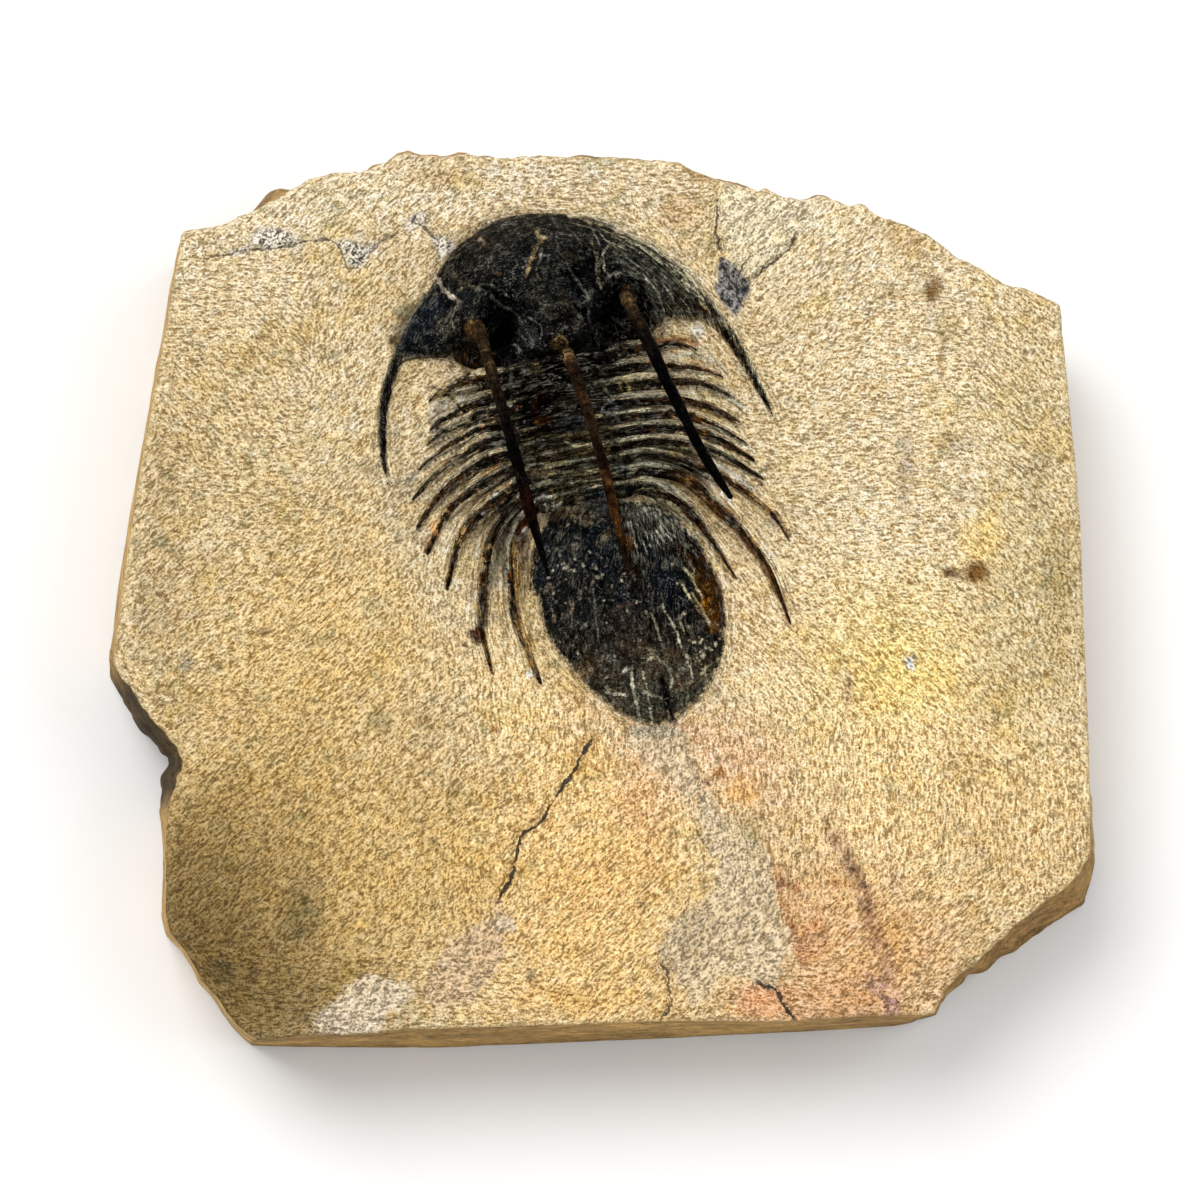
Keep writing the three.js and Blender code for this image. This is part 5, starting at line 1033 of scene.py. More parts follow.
M("stroke", ([(776, 872), (784, 880), (796, 888)], 10), (168, 98, 52), 0.85, 4)
M("stroke", ([(866, 980), (878, 990), (892, 1000)], 16), (150, 116, 112), 0.7, 5)
M("blob", (720, 772, 9, 6, 0), (184, 122, 56), 0.7, 1)
M("blob", (706, 782, 5, 4, 0), (112, 76, 40), 0.75, 1)
M("blob", (838, 790, 5, 14, 20), (140, 108, 78), 0.6, 1)
M("blob", (826, 826, 5, 12, -20), (124, 92, 66), 0.6, 1)
M("blob", (836, 884, 6, 7, 0), (150, 88, 58), 0.6, 1)
M("blob", (812, 940, 16, 26, 20), (204, 146, 100), 0.6, 1)
M("blob", (742, 790, 20, 16, 30), (226, 172, 104), 0.7, 1)
M("blob", (600, 880, 60, 30, -20), (228, 180, 112), 0.5, 1)
M("blob", (640, 800, 30, 40, 0), (232, 184, 136), 0.6, 1)
M("blob", (580, 1000, 60, 14, 0), (214, 168, 96), 0.6, 1)
M("blob", (466, 860, 40, 30, 20), (214, 176, 104), 0.5, 1)
M("blob", (300, 930, 10, 8, 0), (96, 80, 52), 0.7, 1)
M("blob", (252, 972, 7, 9, 30), (84, 70, 44), 0.7, 1)
M("blob", (640, 905, 9, 7, 0), (150, 122, 78), 0.6, 1)
M("blob", (545, 898, 8, 7, 0), (160, 128, 76), 0.6, 1)
M("blob", (654, 868, 12, 20, 0), (222, 176, 122), 0.5, 1)
M("blob", (696, 917, 5, 7, 0), (150, 130, 104), 0.6, 1)
M("blob", (702, 888, 3, 5, 30), (120, 104, 84), 0.6, 1)
M("stroke", ([(955, 820), (968, 836), (984, 860)], 9), (142, 120, 90), 0.7, 4)
M("stroke", ([(370, 918), (378, 945), (382, 975)], 14), (176, 150, 102), 0.5, 5)
M("stroke", ([(888, 842), (893, 870), (896, 900)], 8), (170, 146, 118), 0.5, 4)
M("stroke", ([(842, 720), (846, 745), (852, 770)], 5), (150, 124, 92), 0.5, 3)
M("stroke", ([(620, 886), (628, 880)], 3), (110, 90, 60), 0.6, 2)
# dark, tool-marked stone round the fossil
M("stroke", ([(390, 520), (396, 500), (404, 486), (414, 470)], 20), (172, 156, 128), 0.6, 9)
M("stroke", ([(418, 570), (412, 550), (408, 530)], 16), (176, 160, 130), 0.5, 8)
M("stroke", ([(566, 668), (582, 686), (598, 702), (616, 716), (634, 726)], 3.4), (176, 146, 96), 0.7, 2)
M("stroke", ([(560, 650), (575, 668), (592, 686)], 2.4), (150, 126, 86), 0.7, 2)
M("stroke", ([(558, 652), (576, 674), (598, 698), (620, 714), (636, 722)], 2.2), (232, 220, 186), 0.6, 1.5, 0.05)
M("stroke", ([(574, 690), (586, 706), (600, 722)], 3), (168, 130, 80), 0.6, 2)
M("stroke", ([(540, 660), (552, 676), (566, 694)], 2.4), (178, 142, 92), 0.5, 2)
M("stroke", ([(728, 590), (730, 610), (730, 640), (726, 665)], 5), (178, 166, 136), 0.55, 4)
M("stroke", ([(700, 700), (712, 690), (720, 676)], 6), (176, 150, 104), 0.5, 4)
M("blob", (655, 730, 26, 9, 0), (176, 168, 146), 0.75, 1, 0.05)
M("stroke", ([(570, 212), (600, 217), (630, 226), (660, 246), (690, 272), (716, 298), (735, 322)], 6), (204, 190, 156), 0.6, 4, 0.1)
M("stroke", ([(780, 470), (790, 490), (800, 500)], 12), (196, 176, 138), 0.4, 6)


def paint(x, y, base, marks=True, amount=1.0):
    """Colour and relief of the drawn strokes at sheet points. base: (n, 3) starting colours."""
    colour = np.array(base, float)
    relief = np.zeros(x.shape)
    wx = 0.9 * fbm(x / 6, y / 6, 91, 3) + 0.5 * noise(x / 2.2, y / 2.2, 93)
    wy = 0.9 * fbm(x / 6, y / 6, 95, 3) + 0.5 * noise(x / 2.2, y / 2.2, 97)
    xs, ys = x + wx, y + wy
    grit = fbm(x / 2.3, y / 2.3, 99, 3, 0.7)
    clump = fbm(x / 4.6, y / 4.6, 103, 3, 0.65)
    ragged = fbm(x / 3.4, y / 3.4, 107, 3, 0.7)
    if not marks:
        return colour, relief
    for k, (shape, width, col, strength, rel, taper) in enumerate(STROKES):
        if isinstance(shape, str):  # ("poly", edge, colour, strength, relief, 0)
            _, edge, col, strength, rel, _ = STROKES[k]
            e = np.array(edge, float)
            m = (xs > e[:, 0].min() - 3) & (xs < e[:, 0].max() + 3) & (ys > e[:, 1].min() - 3) & (ys < e[:, 1].max() + 3)
            if not m.any():
                continue
            w = smooth(-1.8, 2.2, inside_distance(xs[m], ys[m], e) + 2.6 * ragged[m] + 1.5 * clump[m])
        elif width is None:  # blob
            cx, cy, rx, ry, turn = shape
            r = max(rx, ry) * 1.35 + 2
            m = (np.abs(xs - cx) < r) & (np.abs(ys - cy) < r)
            if not m.any():
                continue
            c, s = math.cos(math.radians(turn)), math.sin(math.radians(turn))
            u = ((xs[m] - cx) * c + (ys[m] - cy) * s) / rx
            v = (-(xs[m] - cx) * s + (ys[m] - cy) * c) / ry
            soft = 0.45 if max(rx, ry) > 6 else 0.3
            small = max(rx, ry) <= 6
            q = np.sqrt(u * u + v * v) + (0.55 * ragged[m] if small else 0.4 * ragged[m] + 0.2 * grit[m])
            w = 1 - smooth(1 - soft, 1 + soft * 0.7, q)
        else:
            r = width + 3
            m = (
                (xs > shape[:, 0].min() - r) & (xs < shape[:, 0].max() + r)
                & (ys > shape[:, 1].min() - r) & (ys < shape[:, 1].max() + r)
            )
            if not m.any():
                continue
            d, t, _ = line_distance(xs[m], ys[m], shape)
            half = width / 2 * (1 - taper * t) * (1 + 0.6 * clump[m] + 0.25 * grit[m])
            w = 1 - smooth(half * 0.5, half * 1.1 + 0.4, d)
            if width < 5:
                w = w * (0.3 + 0.7 * smooth(-0.45, 0.15, ragged[m] + 0.5 * grit[m] + 0.12))
            ends = np.minimum(t, 1 - t)
            w = w * (0.55 + 0.45 * smooth(0.0, 0.08, ends)) if len(shape) > 4 else w
        relief[m] += rel * w
        w = w * strength * amount * np.clip(1 + 0.35 * grit[m], 0, 1.1)
        shade = np.exp2(0.9 * clump[m] + 0.7 * grit[m])[:, None]
        colour[m] += (col * shade - colour[m]) * np.clip(w, 0, 1)[:, None]
    return colour, relief


# =====================================================================================================
# Heights of the shell above the slab's top, in mm
# =====================================================================================================
def head_height(x, y):
    inside = np.clip(inside_distance(x, y, HEAD_EDGE), 0, None)
    h = 0.9 + 3.9 * (1 - np.exp(-inside / 26))
    h = h + 3.3 * swell(x, y, 528, 266, 88, 62, -8, 0.8)
    h = h + 2.2 * swell(x, y, 557, 326, 42, 48, 0, 1.0)
    h = h + 2.4 * swell(x, y, 478, 322, 30, 34, 0, 1.0)
    h = h + 2.4 * swell(x, y, 628, 300, 30, 34, 0, 1.0)
    h = h - 1.6 * swell(x, y, 505, 340, 18, 26, 0, 1.0)
    h = h - 1.6 * swell(x, y, 604, 326, 16, 26, 0, 1.0)
    h = np.maximum(h, 0.9)
    # the border: rounded off at the edge, with a raised brim and a shallow gutter inside it
    h = h - 0.5 * np.exp(-((inside / 3.5) ** 1.6))
    return h + 0.2 * np.exp(-(((inside - 6) / 3) ** 2)) - 0.22 * np.exp(-(((inside - 13) / 4) ** 2))


def tail_height(x, y):
    inside = np.clip(inside_distance(x, y, TAIL_EDGE), 0, None)
    h = 0.9 + 2.5 * (1 - np.exp(-inside / 24))
    # the front stands nearly as high as the last ring of the thorax
    h = h + 1.7 * swell(x, y, 592, 508, 62, 26, 4, 0.9)
    return h + 1.2 * swell(x, y, 612, 560, 42, 115, -14, 1.0)


# =====================================================================================================
# Mesh helpers
# =====================================================================================================
def make_object(name, verts_mm, faces, colours=None, extra=None, smooth_faces=True):
    """A mesh from points in mm and quads or triangles, with colour and number attributes per vertex."""
    faces = np.asarray(faces, np.int64)
    mesh = bpy.data.meshes.new(name)
    n, m, k = len(verts_mm), len(faces), faces.shape[1]
    mesh.vertices.add(n)
    mesh.vertices.foreach_set("co", (np.asarray(verts_mm, float) / 1000).astype(np.float32).ravel())
    mesh.loops.add(m * k)
    mesh.loops.foreach_set("vertex_index", faces.astype(np.int32).ravel())
    mesh.polygons.add(m)
    mesh.polygons.foreach_set("loop_start", (np.arange(m) * k).astype(np.int32))
    mesh.polygons.foreach_set("loop_total", np.full(m, k, np.int32))
    mesh.polygons.foreach_set("use_smooth", np.full(m, smooth_faces, bool))
    mesh.update(calc_edges=True)
    mesh.validate()
    if colours is not None:
        a = mesh.color_attributes.new("tone", "FLOAT_COLOR", "POINT")
        rgba = np.ones((n, 4), np.float32)
        rgba[:, :3] = np.clip(colours, 0, 1)
        a.data.foreach_set("color", rgba.ravel())
    for key, values in (extra or {}).items():
        values = np.asarray(values, np.float32)
        if values.ndim == 1:
            a = mesh.attributes.new(key, "FLOAT", "POINT")
            a.data.foreach_set("value", values)
        else:
            a = mesh.color_attributes.new(key, "FLOAT_COLOR", "POINT")
            a.data.foreach_set("color", values.ravel())
    obj = bpy.data.objects.new(name, mesh)
    bpy.context.scene.collection.objects.link(obj)
    return obj


def grid_faces(rows, columns, start=0, wrap=False, flip=False):
    """Quads between rows of points."""
    i = np.arange(rows - 1)[:, None]
    j = np.arange(columns if wrap else columns - 1)[None, :]
    k = (j + 1) % columns
    a, b, c, d = (start + i * columns + j, start + i * columns + k, start + (i + 1) * columns + k,
                  start + (i + 1) * columns + j)
    q = np.stack([a, d, c, b] if not flip else [a, b, c, d], -1)
    return q.reshape(-1, 4)


def project(p):
    """Row-frame mm back to the sheet."""
    q = p + ORIGIN - EYE
    z = q @ FORWARD
    return 600 + (q @ RIGHT) / z * 10 * EYE_DISTANCE, 600 - (q @ UP) / z * 10 * EYE_DISTANCE


def outward(verts, faces):
    """Faces turned so that their normals point away from the piece's middle."""
    c = np.array([verts[:, 0].mean(), verts[:, 1].mean(), verts[:, 2].min()])
    p = verts[faces] - c
    vol = np.einsum("ij,ij->i", p[:, 0], np.cross(p[:, 1], p[:, 2])).sum()
    if faces.shape[1] == 4:
        vol += np.einsum("ij,ij->i", p[:, 0], np.cross(p[:, 2], p[:, 3])).sum()
    return faces[:, ::-1] if vol < 0 else faces


def closed_outline(edge, n):
    e = rounded(edge, closed=True, n=8)
    return at(np.concatenate([e, e[:1]]), np.arange(n) / n)


def mottle(x, y, colour, seed, amount=0.5):
    """Uneven staining of the shell."""
    f = amount * (0.7 * fbm(x / 22, y / 22, seed + 17, 2) + 0.6 * fbm(x / 10, y / 10, seed, 3) + 0.7 * fbm(x / 4.2, y / 4.2, seed + 7, 4, 0.7))
    warm = 0.3 * fbm(x / 19, y / 19, seed + 13, 2) + 0.12 * noise(x / 5, y / 5, seed + 15)
    out = colour * np.exp2(3.3 * f)[:, None]
    out[:, 0] *= 1 + warm
    out[:, 2] *= 1 - warm
    return out


MATRIX = linear((204, 184, 146))


def matrix_tone(x, y):
    """The stone's own colour, where it clings to the shell."""
    return MATRIX * np.exp2(0.5 * fbm(x / 8, y / 8, 71, 3) + 0.35 * noise(x / 2.1, y / 2.1, 73))[:, None]


def polar(x, y, cx, cy, radius, along_radius, weight, mark):
    """Fibre coordinates in mm round a point: along the fibre, across it, a number apart, and their strength."""
    a, r = np.arctan2(y - cy, x - cx), np.hypot(x - cx, y - cy)
    one, two = (r / 10, a * radius / 10) if along_radius else (a * radius / 10, r / 10)
    return np.stack([one, two, np.full(x.shape, float(mark)), weight + np.zeros(x.shape)], -1)


# ---------------------------------------------------------------------------------------------- plates
# Each plate carries eight numbers a vertex: colour (3), fibre coordinates and strength (4), clinging stone (1).
def round_plate(edge, middle, around, rings, height, base, seed, fibre, stony, rim_edge=None, inset=0.8, rim=0.6):
    outline = closed_outline(edge, around)
    mid = np.array(middle, float)
    d = np.hypot(*(outline - mid).T)
    jag = 1.3 * fbm(outline[:, 0] / 7, outline[:, 1] / 7, seed + 41, 4, 0.6) + 0.5 * noise(outline[:, 0] / 2, outline[:, 1] / 2, seed + 43)
    outline = mid + (outline - mid) * ((d - inset + jag) / d)[:, None]
    r = (np.arange(1, rings + 1) / rings) ** 0.9
    pts = mid + (outline - mid)[None] * r[:, None, None]
    xs = np.concatenate([[middle[0]], pts[..., 0].ravel()])
    ys = np.concatenate([[middle[1]], pts[..., 1].ravel()])
    e = rounded(rim_edge if rim_edge is not None else edge, closed=True, n=5)
    inside = np.clip(inside_distance(xs, ys, e), 0, None)
    tone = mottle(xs, ys, base(xs, ys), seed)
    cling = stony(xs, ys, inside)
    tone = tone + (matrix_tone(xs, ys) - tone) * cling[:, None]
    colour, relief = paint(xs, ys, tone)
    h = height(xs, ys) - rim * np.exp(-((inside / 4.5) ** 1.5))
    h = h + 0.8 * relief + 0.13 * fbm(xs / 9, ys / 9, seed + 31, 4, 0.65) + 0.07 * fbm(xs / 2.6, ys / 2.6, seed + 37, 2)
    verts = lift(xs, ys, TOP + np.maximum(h, 0.25))
    data = np.concatenate([colour, fibre(xs, ys), cling[:, None]], 1)
    rim_pts = verts[-around:]
    middle_plan = verts[0]
    skirt, skirt_data = [], []
    for z, out in [(0.75, 0.05), (0.45, 0.1), (0.15, 0.16), (0.0, 0.2)]:
        q = rim_pts.copy()
        q[:, 2] = TOP - 0.45 + (rim_pts[:, 2] - TOP + 0.45) * z
        away = q[:, :2] - middle_plan[:2]
        q[:, :2] += away / np.hypot(*away.T)[:, None] * out
        skirt.append(q)
        skirt_data.append(data[-around:])
    verts = np.concatenate([verts, *skirt])
    data = np.concatenate([data, *skirt_data])
    rows = rings + 4
    faces = grid_faces(rows, around, start=1, wrap=True)
    j = np.arange(0, around, 2)
    cap = np.stack([np.zeros_like(j), 1 + (j + 2) % around, 1 + (j + 1) % around, 1 + j], -1)
    # the cap's quads wind the same way as the rings'
    n_ring = np.cross(verts[faces[0, 1]] - verts[faces[0, 0]], verts[faces[0, 2]] - verts[faces[0, 0]])[2]
    n_cap = np.cross(verts[cap[0, 1]] - verts[cap[0, 0]], verts[cap[0, 2]] - verts[cap[0, 0]])[2]
    if n_ring * n_cap < 0:
        cap = cap[:, ::-1]
    return verts, outward(verts, np.concatenate([cap, faces])), data


def head_base(x, y):
    c = np.tile(linear((22, 23, 22)), (len(x), 1))
    # a bluish cast toward the left cheek: painted sheen on the black shell
    blue = smooth(440, 405, x) * smooth(362, 330, y)
    c = c + (linear((30, 40, 50)) - c) * blue[:, None]
    # the right cheek pales toward its rim
    inside = np.clip(inside_distance(x, y, HEAD_EDGE), 0, None)
    brim = smooth(585, 640, x) * smooth(40, 4, inside + 7 * fbm(x / 9, y / 9, 603, 3))
    return c + (linear((100, 96, 78)) - c) * (0.85 * brim)[:, None]


def head_cling(x, y, inside):
    n = fbm(x / 5, y / 5, 601, 4, 0.65)
    right = smooth(560, 620, x)
    return (0.35 + 0.65 * right) * smooth(0.5, -0.6, (inside - 1.6 - 2.0 * right) / 2.2 + 2.2 * n)


def tail_base(x, y):
    c = np.tile(linear((26, 28, 29)), (len(x), 1))
    low = smooth(600, 690, y)
    c = c + (linear((86, 77, 60)) - c) * low[:, None]
    # the striped field at the top right, and the worn front
    field = swell(x, y, 668, 535, 44, 40, -35, 0.8)
    c = c + (linear((60, 60, 54)) - c) * (0.8 * field)[:, None]
    front = swell(x, y, 575, 508, 50, 18, 0, 0.8)
    return c + (linear((92, 78, 54)) - c) * (0.7 * front)[:, None]


def tail_cling(x, y, inside):
    n = fbm(x / 4.5, y / 4.5, 611, 4, 0.7)
    return smooth(0.6, -0.7, (inside - 2.2) / 2.4 + 2.4 * n)


def strip_mesh(x, y, h, data):
    """A plate from a grid of sheet points and heights, with skirts down its two long sides and closed ends."""
    rows, cols = x.shape
    top = lift(x, y, TOP + h)
    data = data.reshape(rows, cols, -1)
    centre = top.mean(axis=1, keepdims=True)

    def skirt(side):
        out = []
        for z, o in [(0.7, 0.04), (0.35, 0.08), (0.0, 0.12)]:
            q = top[:, side].copy()
            q[:, 2] = TOP - 0.45 + (q[:, 2] - TOP + 0.45) * z
            away = q[:, :2] - centre[:, 0, :2]
            q[:, :2] += away / (np.hypot(*away.T)[:, None] + 1e-9) * o
            out.append(q)
        return out

    first, last = skirt(0), skirt(-1)
    grid = np.concatenate([np.stack(first[::-1], 1), top, np.stack(last, 1)], 1)
    tone = np.concatenate([np.repeat(data[:, :1], 3, 1), data, np.repeat(data[:, -1:], 3, 1)], 1)
    # ends: drawn together and down
    caps = []
    for row in (0, -1):
        m = grid[row].mean(axis=0, keepdims=True)
        step = m[0, :2] - grid[1 if row == 0 else -2].mean(axis=0)[:2]
        step = step / (np.hypot(*step) + 1e-9) * 0.18
        q = m + (grid[row] - m) * np.array([0.45, 0.45, 0.8])
        q[:, :2] += step
        q2 = m + (grid[row] - m) * np.array([0.02, 0.02, 0.2])
        q2[:, :2] += step * 1.6
        q[:, 2] = np.minimum(q[:, 2], grid[row][:, 2] - 0.05)
        q2[:, 2] = TOP - 0.3
        caps.append((q, q2))
    grid = np.concatenate([[caps[0][1]], [caps[0][0]], grid, [caps[1][0]], [caps[1][1]]])
    tone = np.concatenate([tone[:1], tone[:1], tone, tone[-1:], tone[-1:]])
    r, c = grid.shape[:2]
    verts = grid.reshape(-1, 3)
    return verts, outward(verts, grid_faces(r, c)), tone.reshape(r * c, -1)


def cheek(trace, steps, across, seed):
    t = (np.arange(steps + 1) / steps) ** 0.95
    curve = rounded(np.array(trace, float), n=8)
    p = at(curve, t)
    v = np.arange(across + 1) / across
    x = p[:, :1] + (p[:, 2:3] - p[:, :1]) * v
    y = p[:, 1:2] + (p[:, 3:4] - p[:, 1:2]) * v
    edge_noise = 0.9 * fbm(p[:, 0] / 6, p[:, 1] / 6, seed + 51, 3)[:, None] * (1 - v) ** 2
    w = np.hypot(p[:, 2] - p[:, 0], p[:, 3] - p[:, 1])[:, None] + 1e-6
    x = x + (p[:, 2:3] - p[:, :1]) / w * edge_noise
    y = y + (p[:, 3:4] - p[:, 1:2]) / w * edge_noise
    spine = smooth(0.45, 0.62, t)[:, None]
    arch = 0.5 + 0.55 * np.sqrt(np.clip(1 - (2 * v[None, :] - 1) ** 2, 0, None))
    xs, ys = x.ravel(), y.ravel()
    e = rounded(HEAD_EDGE, closed=True, n=5)
    inside = np.clip(inside_distance(xs, ys, e), 0, None)
    h = (1 - spine) * head_height(xs, ys).reshape(x.shape) + spine * arch
    tone = mottle(xs, ys, head_base(xs, ys), seed)
    s = (spine + 0 * x).ravel()
    cling = head_cling(xs, ys, inside) * (1 - s)
    border = np.minimum(v, 1 - v)[None, :] * w / 1.0
    cling = cling + s * (smooth(0.35, -0.35, (border.ravel() - 1.2) / 1.6 + 1.2 * fbm(xs / 4, ys / 4, seed + 53, 3)))
    cling = np.clip(cling, 0, 1)
    tone = tone + (matrix_tone(xs, ys) - tone) * cling[:, None]
    colour, relief = paint(xs, ys, tone)
    h = h + (0.8 * relief + 0.1 * fbm(xs / 7, ys / 7, seed + 3, 4, 0.6)).reshape(x.shape)
    h = h * (1 - 0.6 * smooth(0.88, 1.0, t))[:, None]
    fib = polar(xs, ys, 560, 380, 165, False, 0.5 + 0.8 * smooth(590, 650, xs), 2)
    return strip_mesh(x, y, np.maximum(h, 0.2), np.concatenate([colour, fib, cling[:, None]], 1))


RIB_CURVES = [(rounded(a, n=8), rounded(b, n=8)) for a, b in zip(RIBS_LEFT, RIBS_RIGHT)]


def band_point(i, u):
    if i < 0:
        a, b = band_point(0, u), band_point(1, u)
        return a + (a - b) * -i
    if i > 9:
        a, b = band_point(9, u), band_point(8, u)
        return a + (a - b) * (i - 9)
    left, right = RIB_CURVES[i]
    pl = at(left, np.clip((-0.3 - u) / 0.7, 0, 1))
    pr = at(right, np.clip((u - 0.3) / 0.7, 0, 1))
    t = np.clip((u + 0.3) / 0.6, 0, 1)
    mid = np.stack([left[0, 0] + (right[0, 0] - left[0, 0]) * t,
                    left[0, 1] + (right[0, 1] - left[0, 1]) * t - 3 * np.sin(math.pi * t)], -1)
    return np.where((u < -0.3)[:, None], pl, np.where((u > 0.3)[:, None], pr, mid))


def thorax_height(i, a):
    rib = 4.0 - 3.0 * smooth(0.45, 0.92, a) - 0.04 * i
    crown = np.where(a < 0.3, 1.6 * np.cos(np.clip(a / 0.3, 0, 1) * math.pi / 2) ** 0.7, 0)
    return rib * (1 - 0.04 * i) + crown


def core_width(i, a):
    """Half-width of the dark shell along a rib, in sheet units."""
    t = smooth(0.3, 1.0, a)
    end = (1.8, 1.9, 2.1, 2.3, 2.7, 3.1, 3.6, 4.0, 3.6, 2.8)[i]
    return (7.0 if i == 8 else 5.6) * (1 - t) + end * t


def segment(i, steps=420, across=18):
    u = -1 + 2 * np.arange(steps + 1) / steps
    here, before, after = band_point(i, u), band_point(i - 1, u), band_point(i + 1, u)
    a = np.abs(u)
    tip = np.clip((a - 0.55) / 0.45, 0, None)
    most = 12 - 9.5 * tip**0.8

    def reach(p, q, share):
        d = np.hypot(*(p - q).T)
        d = np.where(d == 0, 1, d)
        w = np.maximum(1.2, np.minimum(share * d, most) - 0.3)
        w = w + 0.9 * fbm(u * 36 + 3 * i, i * 3.1 + share * 50, 5, 3) * smooth(0.3, 0.5, a)
        return w, (p - q) / d[:, None]

    (wf, df), (wb, db) = reach(before, here, 0.72), reach(after, here, 0.28)
    v = np.arange(across + 1) / across
    front, back = here + df * wf[:, None], here + db * wb[:, None]
    x = front[:, :1] + (back[:, :1] - front[:, :1]) * v
    y = front[:, 1:] + (back[:, 1:] - front[:, 1:]) * v
    A, V = a[:, None], v[None, :]
    s = -wf[:, None] + (wf + wb)[:, None] * V
    inner = 1 - smooth(0.48, 0.72, A)
    wd = core_width(i, A)
    furrow = np.exp(-(((A - 0.31) / 0.025) ** 2))
    ridge = 0.34 * np.cos(2 * math.pi * (V - 0.27)) - 0.3 * np.exp(-((V / 0.08) ** 2)) - 0.3 * np.exp(-(((1 - V) / 0.08) ** 2))
    spine = 0.42 * np.exp(-((s / wd) ** 2)) - 0.30
    h = thorax_height(i, A) + inner * ridge + (1 - inner) * spine - 0.6 * furrow
    h = h * (1 - 0.5 * smooth(0.94, 1.0, A))
    # long narrow flutes along the ribs
    h = h + 0.09 * noise(u[:, None] * 16 + i * 7.7, V * 9 + i * 3.3, 41) + 0.05 * noise(u[:, None] * 60, V * 14, 43 + i)
    xs, ys = x.ravel(), y.ravel()
    # pale stone on each ridge's crest and a near-black band behind it: the crest's bright middle is partly a painted
    # highlight, the dark band partly painted shade under the ridge
    crest = (0.5 + 0.5 * np.cos(2 * math.pi * (V - 0.27))) * np.ones_like(A)
    axis = np.exp(-((A / 0.29) ** 6))
    dark, pale = linear((22, 18, 12)), linear((176, 168, 140))
    tone = dark + (pale - dark) * (crest**3.0 * (1 - axis) * inner)[..., None]
    brown = linear((52, 36, 18))
    tone = tone + (brown - tone) * ((1 - inner) * 0.95)[..., None]
    amber = smooth(0.15, 0.75, noise(u[:, None] * 34 + 9 * i, V * 2.5, 47)) * smooth(0.33, 0.55, A) * (0.32 + 0.07 * i)
    tone = tone + (linear((150, 92, 34)) - tone) * amber[..., None]
    low_axis = smooth(2, 6, i)
    black = linear((24, 21, 16)) * (1 - low_axis) + linear((74, 64, 42)) * low_axis
    tone = tone + (black - tone) * (axis * 0.85)[..., None]
    ring = np.exp(-(((V - 0.3) / 0.1) ** 2)) * axis * min(0.9, 0.12 + 0.13 * i)
    tone = tone + (linear((140, 132, 104)) - tone) * ring[..., None]
    streak = 0.6 * noise(u[:, None] * 26 + 5.1 * i, V * 11 + i, 51) + 0.5 * noise(u[:, None] * 90, V * 17, 53 + i)
    tone = (tone * np.exp2(1.8 * streak)[..., None]).reshape(-1, 3)
    wander = 0.4 * noise(u[:, None] * 44 + i, s / 3 + 2 * i, 57) + 0.3 * noise(u[:, None] * 130, s / 2, 59 + i)
    cling = (smooth(0.36, 0.6, A) * smooth(0.75, 1.35, np.abs(s) / wd + wander)).ravel()
    tone = mottle(xs, ys, tone, 200 + i, 0.4)
    tone = tone + (matrix_tone(xs, ys) - tone) * (0.95 * cling)[:, None]
    colour, relief = paint(xs, ys, tone)
    h = h + 0.6 * relief.reshape(x.shape) + 0.06 * fbm(xs / 5, ys / 5, 61, 3).reshape(x.shape)
    fib = np.stack([np.broadcast_to(u[:, None] * 15, x.shape), s / 10, np.full(x.shape, 3.0 * i), np.ones(x.shape)], -1)
    return strip_mesh(x, y, np.maximum(h, 0.2), np.concatenate([colour, fib.reshape(-1, 4), cling[:, None]], 1))


def guides():
    """Points along ribs, cheek spines and the head's and tail's edges: where stone clings and how high it stands."""
    rows = []
    u = -1 + 2 * np.arange(361) / 360
    for i in range(10):
        p, q = band_point(i, u), band_point(i, u + 1e-3)
        a = np.abs(u)
        h = (thorax_height(i, a) - (1.5 - 1.05 * smooth(0.5, 0.7, a))) * (1 - 0.45 * smooth(0.92, 1.0, a))
        t = q - p
        t = np.where(np.abs(t).sum(1, keepdims=True) == 0, [[1.0, 0.0]], t)
        t = t / np.hypot(*t.T)[:, None]
        for k in range(len(u)):
            rows.append((p[k, 0], p[k, 1], h[k], 15 * u[k], t[k, 0], t[k, 1], 3.0 * i,
                         smooth(0.3, 0.45, a[k]) * smooth(1.0, 0.9, a[k])))
    for trace in (CHEEK_LEFT, CHEEK_RIGHT):
        c = rounded(np.array(trace, float), n=8)
        for k in np.linspace(0.55, 0.97, 60):
            p = at(c, k)
            rows.append(((p[0] + p[2]) / 2, (p[1] + p[3]) / 2, 0.55, 30 * k, 0.3, 1, 50.0, 0.7))
    for edge, h, w in ((HEAD_EDGE, 0.35, 0.5), (TAIL_EDGE, 0.45, 0.7)):
        c = closed_outline(edge, 260)
        t = np.roll(c, -1, 0) - np.roll(c, 1, 0)
        t = t / np.hypot(*t.T)[:, None]
        for k in range(260):
            rows.append((c[k, 0], c[k, 1], h, k * 0.4, t[k, 0], t[k, 1], 60.0, w))
    return np.array(rows)


